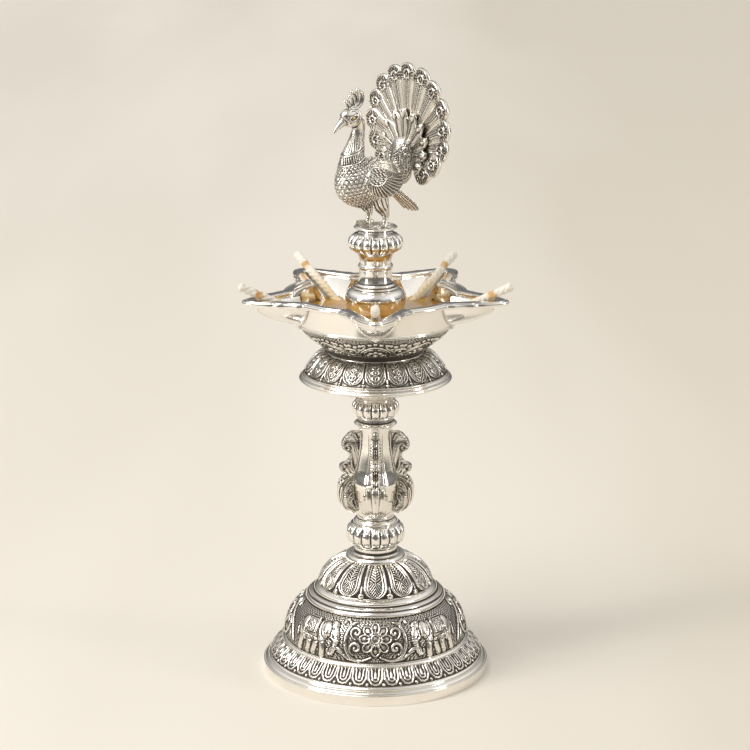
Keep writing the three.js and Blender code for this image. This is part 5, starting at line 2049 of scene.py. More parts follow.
        def ribbed(angle: Array, v: Array) -> Array:
            """Folds a leaf lengthwise and notches its edge."""
            return 1 + 0.22 * np.cos(6 * angle) + 0.05 * np.cos(30 * v)

        for sign in (-1, 1):
            for reach, top, out in ((3.3, 17.0, 0.35), (5.1, 14.4, 0.15), (6.8, 10.6, -0.2)):
                y = [1.3, reach * 0.66, reach * 0.9, reach, reach * 1.05]
                z = [0.4, top * 0.3, top * 0.62, top * 0.87, top]
                stations = [
                    (*on_edge(sign * a, b, out + 0.35 * k / 4), w, 0.7)
                    for k, (a, b, w) in enumerate(zip(y, z, (0.6, 0.95, 1.2, 1.0, 0.4)))
                ]
                limb(bm, stations, 20, 34, (0, 1, 0), ribbed)
            curl = [(*on_edge(sign * y, z, 0.5), 0.55, 0.5)
                    for y, z in ((0.3, 17.0), (2.2, 17.9), (4.1, 17.6), (4.9, 16.6))]
            limb(bm, curl, 10, 14, (0, 0, 1))
        midrib = [(*on_edge(0, z, 0.45), w, 0.8) for z, w in
                  ((0.2, 1.0), (4.0, 1.35), (9.0, 1.55), (14.0, 1.7), (17.2, 1.8))]

        def slotted(angle: Array, v: Array) -> Array:
            """Hollows the midrib's upper part down its middle.

            Args:
                angle: Angles round the midrib.
                v: Shares of the way up.

            Returns:
                A factor on its half sizes.
            """
            front = np.clip(np.abs(np.sin(angle)) - 0.75, 0, 1) * 4
            slot = 0.55 * np.clip((v - 0.5) * 8, 0, 1) * np.clip(front, 0, 1)
            return 1 - slot + 0.06 * np.cos(4 * angle)

        limb(bm, midrib, 28, 40, (0, 1, 0), slotted)

    def brackets(self) -> None:
        """Builds the four brackets."""
        foot = Span.of("stem_baluster").bottom + 0.4
        for turn, side in ((-90, "front"), (0, "right"), (90, "back"), (180, "left")):
            bm = bmesh.new()
            self.plate(bm, foot)
            self.strip(bm, foot)
            self.spray(bm, foot)
            obj = placed(closed(f"scroll_{side}", bm, 70), turn, 0)
            weather(obj, 6, 0.28)
            dress(obj, CHASED, Body.STEM, f"stem_scroll_{side}")

    def build(self) -> None:
        """Builds the whole stem."""
        knop("lower_knop", "stem_lower_knop", Body.STEM, ends=(11.8, 12.2), lobes=18, lip=1.5)
        self.mouldings()
        self.baluster()
        self.brackets()
        knop("upper_knop", "stem_upper_knop", Body.STEM, ends=(9.1, 9.5), lobes=16)
        thread("stem_stud")
        dress_cast("stem_core_tube")


# Bowl


@dataclass
class Bowl:
    """The bowl: skirt and carved band, the shell with five spouts, its rim and the oil."""

    wall: float = 1.8
    wall_radius: float = 38.6
    skirt_wall: float = 2.5
    shoulder: float = 24.0
    spouts: int = 5
    petals: int = 18
    arches: int = 8
    rim_bottom: float = 187.5
    oil_top: float = 179.9
    floor: float = 165.3
    bore: float = 8.5
    root: float = 33.6
    reach: float = 27.4
    half: float = 11.5
    keel_drop: float = 12.5
    hull_reach: float = 25.4
    hull_drop: float = 11.6
    belly: float = 2.5
    channel_belly: float = 1.7
    channel_inset: float = 1.62
    column_hole: float = 11.2

    def skirt_rim(self) -> None:
        """Builds the rolled plain rim of the skirt."""
        span = Span.of("bowl_skirt_rim")
        out, top = span.radius - 0.6, Span.of("bowl_skirt").radius
        profile = [
            (out - 3.5, span.bottom), (out - 0.4, span.bottom),
            *bead((out - 0.1, span.bottom + 0.15), (out - 0.3, span.at(0.56)), 0.65, 12),
            (out - 1.1, span.at(0.62)), *bead((out - 1.2, span.at(0.66)), (top, span.top), 0.5, 10),
            (top - self.skirt_wall, span.top),
        ]
        plain_piece("skirt_rim", "bowl_skirt_rim", Body.BOWL, profile, pitch=0.7, steps=160)

    def skirt(self) -> None:
        """Builds the bell-shaped skirt with its ring of petals."""
        span, wall = Span.of("bowl_skirt"), self.skirt_wall
        fall = span.radius - self.shoulder
        outside = dense(
            flow([(span.radius, span.bottom), (span.radius - fall * 0.24, span.at(0.4)),
                  (span.radius - fall * 0.6, span.at(0.84)), (self.shoulder, span.top)]), 0.26
        )
        inside = [
            (self.bore, span.top), (self.bore, span.top - wall), (self.shoulder - wall, span.top - wall),
            (span.radius - fall * 0.24 - wall, span.at(0.3)), (span.radius - wall, span.bottom),
        ]
        chased_piece(
            "skirt", "bowl_skirt", Body.BOWL, (outside, inside), self.petals * 40, self.skirt_pattern,
            0.6, (6, 0.13, 0.42), 0.3,
        )

    def skirt_pattern(self, angle: Array, r: Array, v: Array) -> Chasing:
        """Lays out half a petal: rim, groove and leaf scrolls, and the bud between two tips.

        Args:
            angle: Angles round the lamp, from its front.
            r: Distances from the axis.
            v: Distances along the profile.

        Returns:
            The heights that are chased.
        """
        step = TAU / self.petals
        chasing = Chasing(fold(angle, step) * r, v)
        half_step = step / 2 * r
        tip, reach = 1.5, 5.0
        closing = np.sqrt(np.clip(1 - ((reach + tip - v) / reach) ** 2, 0, 1))
        edge = half_step * 0.93 * np.where(v < reach + tip, closing, 1.0)
        inside = np.where(v > tip, edge - chasing.u, -1.0)
        rims = np.maximum(0.75 * ridge(inside - 0.42, 0.46), 0.3 * ridge(inside - 1.15, 0.22))
        chasing.height = rims
        chasing.line([(0, 3.4), (0, 14)], [0.35, 0.5, 0.3], 0.6)
        for y in (4.6, 7.6, 10.4):
            curl = flow([(0.1, y - 0.8), (1.0, y - 0.2), (1.6, y + 1.1), (0.9, y + 1.8), (0.6, y + 1.1)])
            chasing.line(curl, [0.3, 0.42, 0.4, 0.35], 0.6)
        fine = 0.28 * (1 + np.sin(chasing.u * 6.3 + v * 3.1) * np.sin(v * 5.6)) / 2
        chasing.height = np.where(inside > 1.4, np.maximum(chasing.height, fine), chasing.height)
        between = half_step - chasing.u
        bud = np.clip(1 - between / 0.95 - np.abs(v - 1.75) / 1.2, 0, 1)
        stalk = ridge(between, 0.32) * np.clip((6.5 - v) / 3, 0, 1)
        chasing.height = np.maximum(chasing.height, np.maximum(0.8 * np.sqrt(bud), 0.5 * stalk))
        chasing.line([(-1, 0.2), (9, 0.2)], [0.35], 0.35)
        return chasing

    def collar(self) -> None:
        """Builds the plain collar between skirt and bowl."""
        span = Span.of("bowl_collar")
        out = span.radius
        profile = [
            (out - self.skirt_wall, span.bottom),
            *bead((out - 0.2, span.bottom), (out - 0.35, span.at(0.22)), 0.2, 5), (out - 0.4, span.at(0.5)),
            *bead((out - 0.35, span.at(0.78)), (out - 0.2, span.top), 0.2, 5),
            (out - self.skirt_wall, span.top),
        ]
        plain_piece("bowl_collar_turned", "bowl_collar", Body.BOWL, profile, 0.0, 0.5, 128)

    def underside(self) -> Profile:
        """Runs the side of the bowl from its foot to the wall.

        Returns:
            The points of the side.
        """
        span = Span.of("bowl_carved_band")
        foot, top = self.shoulder, span.radius
        return flow([(foot, span.bottom), (foot + (top - foot) * 0.63, span.at(0.52)), (top, span.top)])

    def carved_band(self) -> None:
        """Builds the band of arches, half flowers and leaf scrolls under the bowl."""
        outside = dense(self.underside(), 0.26)
        inside = [(r - 1.0, z + 0.75) for r, z in outside[::4]][::-1]
        chased_piece(
            "carved_band", "bowl_carved_band", Body.BOWL, (outside, inside), self.arches * 96,
            self.band_pattern, 0.6, (6, 0.12, 0.62), 0.3,
        )

    def band_pattern(self, angle: Array, r: Array, v: Array) -> Chasing:
        """Lays out half an arch over a half flower, and the leaf scroll beside it.

        Args:
            angle: Angles round the lamp, from its front.
            r: Distances from the axis.
            v: Distances along the profile.

        Returns:
            The heights that are chased.
        """
        step = TAU / self.arches
        mean = 31.0
        chasing = Chasing(fold(angle, step) * (mean + (r - mean) * 0.55), v)
        side = step / 2 * mean
        arch = flow([(7.3, 0.8), (7.6, 3.4), (6.2, 7.4), (3.2, 10.6), (0.0, 11.8), (-3.2, 10.6)])
        chasing.line(arch, [0.5], 0.75)
        for turn in (90, 52, 14):
            a = math.radians(turn)
            at = (3.5 * math.cos(a), 1.6 + 3.9 * math.sin(a))
            chasing.boss(at, (1.45, 1.3), 0.8, turn)
            chasing.cut([(0, 1.6), at], [0.22], 0.3)
        chasing.boss((0, 1.7), (1.5, 1.5), 0.9)
        for points, widths, height in (
            ([(5.4, 0.8), (4.6, 2.0), (5.6, 4.6), (3.6, 8.2), (1.4, 9.6)], [0.3, 0.4, 0.3], 0.5),
            ([(side, 1.6), (side - 1.9, 3.0), (side - 3.2, 6.0), (side - 2.0, 8.8), (side, 9.6)],
             [0.6, 0.8, 0.7], 0.75),
            ([(8.0, 1.6), (8.9, 4.2), (8.0, 7.6), (5.6, 10.4), (4.6, 12.6)], [0.7, 0.9, 0.6, 0.3], 0.7),
        ):
            chasing.line(flow(points), widths, height)
        for at, size in (
            ((side, 12.4), 1.3), ((side - 2.8, 11.6), 1.15), ((side - 5.2, 12.6), 1.1), ((5.4, 13.2), 1.0),
            ((2.6, 13.6), 1.0), ((side, 6.2), 1.5), ((side - 4.6, 9.2), 1.0), ((9.3, 10.2), 0.9),
            ((0, 14.2), 0.9),
        ):
            chasing.boss(at, (size, size), 0.8)
            chasing.dent(at, (size * 0.4, size * 0.4), 0.35)
        for edge in (0.25, v.max() - 0.3):
            chasing.line([(-1, edge), (14, edge)], [0.4], 0.5)
        chasing.grain(0.8, 0.12, 0.1)
        return chasing

    def section(self, u: float, inset: float) -> tuple[float, float]:
        """Measures a spout across its length, or its channel when inset.

        Args:
            u: The distance from the axis.
            inset: How far inside the outside it lies.

        Returns:
            Half the width and the height of the keel.
        """
        if inset:
            share = min(max((u - self.root) / self.reach, 0.0), 1.0)
            half = self.half * (1 - share) ** 0.62 + 1.2 - inset
            return half, self.rim_bottom - self.keel_drop * (1 - share) ** 0.85 - 0.6 + inset
        share = min(max((u - self.root) / self.hull_reach, 0.0), 1.0)
        half = self.half * (1 - share**3) ** 0.6 + 0.9
        return half, self.rim_bottom - 0.6 - self.hull_drop * (1 - share) ** 0.5

    def hull(self, inset: float, start: float, end: float, top: float) -> Piece:
        """Builds the five boat-shaped bodies of the spouts, or their channels when inset.

        Args:
            inset: How far inside the spout's outside the form lies.
            start: The distance from the axis where it starts.
            end: The distance where it ends.
            top: The height that it reaches.

        Returns:
            One object with the five forms.
        """
        bm = bmesh.new()
        for k in range(self.spouts):
            turn = -90 + 360 / self.spouts * k

            def place(s: Array, v: Array) -> Array:
                """Places one form's points: the belly, then the flat top.

                Args:
                    s: Shares of the way round.
                    v: Shares of the way along.

                Returns:
                    Their places in millimetres.
                """
                u = start + (end - start) * (1 - (1 - v) ** 1.3)
                sizes = np.array([self.section(at, inset) for at in u])
                a = np.where(s < 0.75, -1 + s / 0.375, 1 - (s - 0.75) / 0.125)
                fullness = self.channel_belly if inset else self.belly
                belly = sizes[:, 1] + (top - sizes[:, 1]) * np.abs(a) ** fullness
                z = np.where(s < 0.75, belly, top)
                return np.stack([*turned(u, sizes[:, 0] * a, turn), z], 1)

            wrapped(bm, around=32, along=18, place=place)
        return closed("spout_form", bm)

    def shell(self) -> None:
        """Builds the bowl with its spouts and their channels."""
        side, floor = Span.of("bowl_carved_band"), self.floor
        out, below = self.wall_radius, self.underside()[::3]
        lowered = [(r - 1.25, z + 0.95) for r, z in below if z + 0.95 > side.bottom + 1.2]
        hollow = [(r - 3.2, z + 2.3) for r, z in below if z + 2.3 > floor + 0.6]
        profile = [
            (self.bore, side.bottom), (22.0, side.bottom), *lowered, (out - 0.9, side.top),
            *bead((out - 0.6, side.top + 0.1), (out - 0.4, side.top + 1.2), 0.35, 6),
            (out, self.rim_bottom), (out - self.wall, self.rim_bottom),
            (out - self.wall, side.top + 4), *hollow[::-1], (self.bore, floor),
        ]
        obj = lathe("bowl_shell_wall", dense(profile, 1.2), 160)
        cut_with(obj, self.hull(0.0, 34.6, 59.4, self.rim_bottom), Boolean.JOIN)
        cut_with(obj, self.hull(self.channel_inset, 30.6, 58.6, self.rim_bottom + 1), Boolean.CUT)
        smooth(obj.data, 35)
        weather(obj, 3, 0.5)
        dress(obj, POLISHED, Body.BOWL, "bowl_shell")

    def outlines(self) -> tuple[Array, Array]:
        """Lays out the rim in plan, from one spout's tip all the way round.

        Returns:
            Its outer and its inner outline.
        """
        def arc(radius: float, cusp: float) -> Profile:
            """The arc of rim between two spouts, up to its middle."""
            angles = np.radians(np.linspace(cusp, 180 / self.spouts, 9))
            return [(radius * math.cos(a), radius * math.sin(a)) for a in angles]

        outer = [
            flow([(66.0, 0.0), (65.6, 1.7), (64.2, 3.7), (61.4, 6.3), (57.6, 8.7), (53.8, 10.3)]),
            flow([(53.8, 10.3), (52.6, 11.9), (49.6, 12.9), (46.6, 14.4), (44.2, 16.4)]),
            [(44.2, 16.4), *arc(44.6, 22.6)],
        ]
        inner = [
            flow([(58.8, 0.0), (58.3, 1.5), (57.2, 2.7), (54.7, 3.9), (51.8, 5.2), (48.9, 6.44),
                  (45.4, 8.0)]),
            flow([(45.4, 8.0), (43.0, 9.2), (39.8, 10.6), (37.5, 11.46)]),
            arc(39.2, 17.0),
        ]
        sides = []
        for parts in (outer, inner):
            half = []
            for part, count in zip(parts, (34, 14, 22)):
                rows = np.array(part)
                run = run_along(rows)
                at = np.linspace(0, run[-1], count, endpoint=False)
                half.append(np.stack([np.interp(at, run, rows[:, k]) for k in (0, 1)], 1))
            half = np.concatenate([*half, rows[-1:]])
            middle = 180 / self.spouts
            parts_round = []
            for k in range(self.spouts):
                for points, turn in ((half[:-1], -90 + 2 * middle * k),
                                     ((half * (1, -1))[:0:-1], -90 + 2 * middle * (k + 1))):
                    parts_round.append(np.stack(turned(points[:, 0], points[:, 1], turn), 1))
            sides.append(np.concatenate([*parts_round, parts_round[0][:1]]))
        return sides[0], sides[1]

    def rim(self) -> None:
        """Builds the stepped rim that follows bowl and spouts."""
        outer, inner = self.outlines()
        low, high = Span.of("bowl_rim").bottom, Span.of("bowl_rim").top
        section = np.array([
            (0.0, 0.0), (-0.02, 0.35), (-0.02, 0.7), (0.01, 0.9), (0.07, 0.97), (0.2, 0.98), (0.4, 0.97),
            (0.56, 0.97), (0.61, 0.93), (0.64, 0.8), (0.66, 0.72), (0.7, 0.74), (0.76, 0.84), (0.84, 0.9),
            (0.92, 0.84), (0.98, 0.66), (1.0, 0.42), (0.98, 0.2), (0.92, 0.04), (0.84, 0.0), (0.4, 0.0),
            (0.0, 0.0),
        ])
        marks = np.linspace(0, 1, len(section))
        steps = np.linspace(0, 1, len(outer))

        def place(s: Array, v: Array) -> Array:
            """Places the rim's points, with the mouldings equally wide everywhere.

            Args:
                s: Shares of the way round.
                v: Shares of the way along.

            Returns:
                Their places in millimetres.
            """
            share, height = np.interp(s, marks, section[:, 0]), np.interp(s, marks, section[:, 1])
            near = np.stack([np.interp(v, steps, inner[:, k]) for k in (0, 1)], 1)
            far = np.stack([np.interp(v, steps, outer[:, k]) for k in (0, 1)], 1)
            flat = 1 - 2.5 / np.linalg.norm(far - near, axis=1)
            outer_part = flat + (share - 0.56) / 0.44 * (1 - flat)
            share = np.where(share < 0.56, share / 0.56 * flat, outer_part)
            points = [near[:, k] * (1 - share) + far[:, k] * share for k in (0, 1)]
            return np.stack([*points, low + (high - low) * height], 1)

        bm = bmesh.new()
        wrapped(bm, (len(section) - 1) * 2, len(outer) - 1, place)
        obj = closed("bowl_rim_moulded", bm, 60)
        weather(obj, 5, 0.12)
        dress(obj, POLISHED, Body.BOWL, "bowl_rim")

    def root_line(self) -> Array:
        """Finds the line where a spout's hull leaves the bowl's wall.

        Returns:
            The line's places, for a spout that points along X.
        """
        root = []
        for a in np.linspace(-0.985, 0.985, 200):
            for u in np.arange(36.0, 42.0, 0.05):
                half, keel = self.section(u, 0.0)
                if math.hypot(u, a * half) > self.wall_radius + 0.15:
                    z = keel + (self.rim_bottom - keel) * abs(a) ** self.belly
                    root.append((u + 0.15, a * half, z))
                    break
        return np.array(root)

    def beading(self) -> None:
        """Builds the beads along the roots of the spouts, their keels and the small scallops."""
        bm = bmesh.new()
        rows = self.root_line()
        run = run_along(rows)
        beads = [
            Vector([float(np.interp(at, run, rows[:, k])) for k in range(3)])
            for at in np.arange(0.3, run[-1], 0.92)
        ]
        foot = self.section(self.wall_radius, 0.0)[1]
        for k in range(self.spouts):
            turn = -90 + 360 / self.spouts * k
            line = Matrix.Rotation(math.radians(turn), 4, "Z")
            side = (*turned(0.0, 1.0, turn), 0.0)
            for at in beads:
                bmesh.ops.create_uvsphere(
                    bm, u_segments=7, v_segments=5, radius=0.5 * MM,
                    matrix=line @ Matrix.Translation(at * MM),
                )
            keel = [
                (*turned(u, 0.0, turn), self.section(u, 0.0)[1] - 0.05, 0.42, 0.4)
                for u in (39.0, 43.0, 48.0, 53.0, 56.5, 58.6)
            ]
            limb(bm, keel, 8, 24, side)
            for lean in (-1, -0.5, 0, 0.5, 1):
                tip = (38.0 - abs(lean) * 0.3, lean * 2.1, foot - 2.7 + abs(lean) * 0.9)
                lobe = [(38.8, lean * 0.3, foot + 0.4), (38.7, lean * 1.3, foot - 1.2), tip]
                stations = [(*turned(u, y, turn), z, 0.5, 0.42) for u, y, z in lobe]
                limb(bm, stations, 8, 8, side, None, 0.2)
        obj = closed("spout_beading", bm, 80)
        weather(obj, 3, 0.25)
        dress(obj, CHASED, Body.BOWL)

    def oil(self) -> None:
        """Fills the bowl with oil, drawn up a little where it meets the metal."""
        ball_at, ball = Column.ball_at, Column.ball_radius + 0.12

        def on_ball(z: float) -> Point:
            """A point just off the column's ball."""
            return math.sqrt(ball**2 - (z - ball_at) ** 2), z

        wall, top = self.wall_radius - self.wall - 0.05, self.oil_top
        inside = [(r - 3.3, z + 2.4) for r, z in self.underside()[::3] if z + 2.4 > self.floor + 0.9]
        near, high = on_ball(top + 0.4)
        surface = flow([(near, high), (near + 0.4, top + 0.1), (near + 1.4, top), (wall - 1.4, top),
                        (wall - 0.45, top + 0.12), (wall, top + 0.5)], 6)
        profile = [
            *surface, (wall, top - 0.6), *inside[::-1], (self.column_hole, self.floor + 0.1),
            (self.column_hole, self.floor + 3.0), (7.9, 173.8),
            *map(on_ball, (175.2, 176.6, 178.2, 179.4)),
        ]
        obj = lathe("oil", profile, 160)
        dress(obj, OIL, Body.BOWL, "oil_pool")

    def build(self) -> None:
        """Builds the whole bowl."""
        self.skirt_rim()
        self.skirt()
        self.collar()
        self.carved_band()
        self.shell()
        self.rim()
        self.beading()
        self.oil()
        thread("bowl_stud")
        dress_cast("bowl_spindle")


# Wicks


@dataclass
class Wick:
    """A rolled cotton wick that lies over the tongue of a spout."""

    number: int
    radius: float = 2.15
    slope: float = 27.0
    start: float = 19.4
    end: float = 67.2
    lies_at: Point = (58.9, 192.61)
    strands: int = 4
    twist: float = 13.0
    band_at: float = 10.5
    tuft: int = 26
    tuft_radius: float = 1.95

    def build(self) -> None:
        """Builds the wick."""
        rise = math.tan(math.radians(self.slope))
        axis = np.array([math.cos(math.radians(self.slope)), 0, math.sin(math.radians(self.slope))])
        up, across = np.array([-axis[2], 0, axis[0]]), np.array([0.0, 1.0, 0.0])
        length = (self.end - self.start) / axis[0]
        origin = np.array([self.start, 0, self.lies_at[1] + (self.start - self.lies_at[0]) * rise])
        seed = self.number * 1.7

        def place(s: Array, v: Array) -> Array:
            """Places the points of the twisted strands.

            Args:
                s: Shares of the way round.
                v: Shares of the way along.

            Returns:
                Their places in millimetres.
            """
            angle, run = TAU * s, v * length
            lay = angle - TAU * run / self.twist
            strand = np.abs(np.cos(self.strands / 2 * lay)) ** 0.7
            fibre = 0.035 * np.sin(lay * 17 + seed) + 0.03 * np.sin(run * 2.1 + angle * 3 + seed)
            soft = 1 + 0.05 * np.sin(run * 0.55 + seed)
            pinch = 1 - 0.14 * np.exp(-(((length - run - self.band_at) / 1.6) ** 2))
            flare = 1 + 0.05 * np.clip((run - length + 3) / 3, 0, 1)
            closing = np.sqrt(1 - (1 - np.clip(np.minimum(run, (length - run) * 2) / 1.2, 0, 1)) ** 2)
            size = self.radius * (0.78 + 0.18 * strand + fibre) * soft * pinch * flare * closing
            sway = 0.16 * np.sin(run * 0.19 + seed)
            centre = origin + axis * run[:, None] + across * sway[:, None]
            return (
                centre + up * (size * np.cos(angle))[:, None] + across * (size * np.sin(angle))[:, None]
            )

        bm = bmesh.new()
        wrapped(bm, around=40, along=168, place=place)
        tip = origin + axis * (length - 0.6)
        for k in range(self.tuft):
            a, out = 2.4 * k + seed, 0.25 + 1.5 * math.sqrt((k + 0.5) / self.tuft)
            side = up * math.cos(a) + across * math.sin(a)
            reach = 0.7 + 0.5 * math.sin(k * 3.1 + seed)
            points = [
                tip - axis * 0.6 + side * out * 0.85, tip + axis * 0.35 + side * out,
                tip + axis * reach + side * min(out * 1.15, self.tuft_radius),
            ]
            stations = [(*point, w, w) for point, w in zip(points, (0.16, 0.12, 0.04))]
            limb(bm, stations, 5, 4, round_end=0.3)
        obj = closed(f"cotton_wick_{self.number}", bm, 80)
        points = points_of(obj)
        set_values(obj, "from_end", length - (points - origin) @ axis)
        placed(obj, -90 + 72 * (self.number - 1), 0)
        node = f"wick_{self.number}"
        dress(obj, COTTON, node, node)


# Column


@dataclass
class Column:
    """The centre column: a ball in the oil, plain mouldings and a lobed knop."""

    bore: float = 5.7
    ball_radius: float = 14.6
    ball_at: float = 186.9

    def ball(self) -> None:
        """Builds the polished ball."""
        span = Span.of("column_ball")
        low = math.asin((span.bottom - self.ball_at) / self.ball_radius)
        round_side = [
            (self.ball_radius * math.cos(a), self.ball_at + self.ball_radius * math.sin(a))
            for a in np.linspace(low, 0, 26, endpoint=False)
        ]
        crown = domed((self.ball_radius, self.ball_at), (10.6, span.top), 2, 0.5, 22)
        profile = [*round_side, *crown, (self.bore, span.top), (self.bore, span.bottom)]
        obj = lathe("ball", profile, 160)
        weather(obj)
        dress(obj, POLISHED, Body.COLUMN, "column_ball")

    def mouldings(self) -> None:
        """Builds the step ring, the throat, the bead and the flare."""
        step, throat = Span.of("column_step_ring"), Span.of("column_throat")
        ring, flare = Span.of("column_bead"), Span.of("column_flare")
        profiles = {
            "column_step_ring": [
                (step.radius - 0.9, step.bottom),
                *bead((step.radius - 0.6, step.bottom + 0.1), (step.radius - 0.7, step.at(0.55)),
                      0.6, 10),
                (step.radius - 1.3, step.at(0.62)), (9.9, step.top),
            ],
            "column_throat": flow([(9.5, throat.bottom), (8.5, throat.at(0.18)), (7.8, throat.at(0.6)),
                                   (7.8, throat.top)], 6),
            "column_bead": bead((7.8, ring.bottom), (7.8, ring.top), ring.radius - 7.8, 12),
            "column_flare": flow([(7.5, flare.bottom), (7.8, flare.at(0.4)), (8.6, flare.at(0.75)),
                                  (flare.radius, flare.top)], 6),
        }
        for node, outside in profiles.items():
            span = Span.of(node)
            profile = [*outside, (self.bore, span.top), (self.bore, span.bottom)]
            plain_piece(f"{node}_turned", node, Body.COLUMN, profile)

    def build(self) -> None:
        """Builds the whole column."""
        self.ball()
        self.mouldings()
        knop(
            "column_knop_lobed", "column_knop", Body.COLUMN, ends=(10.4, 10.4), lobes=18, bore=self.bore
        )
        thread("column_stud")
        dress_cast("column_core_tube")


# Peacock


@dataclass(frozen=True)
class Fan:
    """A tier of the train: where it stands, how it opens and what its feathers measure."""

    front: float
    rise: float
    count: int
    spread: float
    radius: float
    root: float


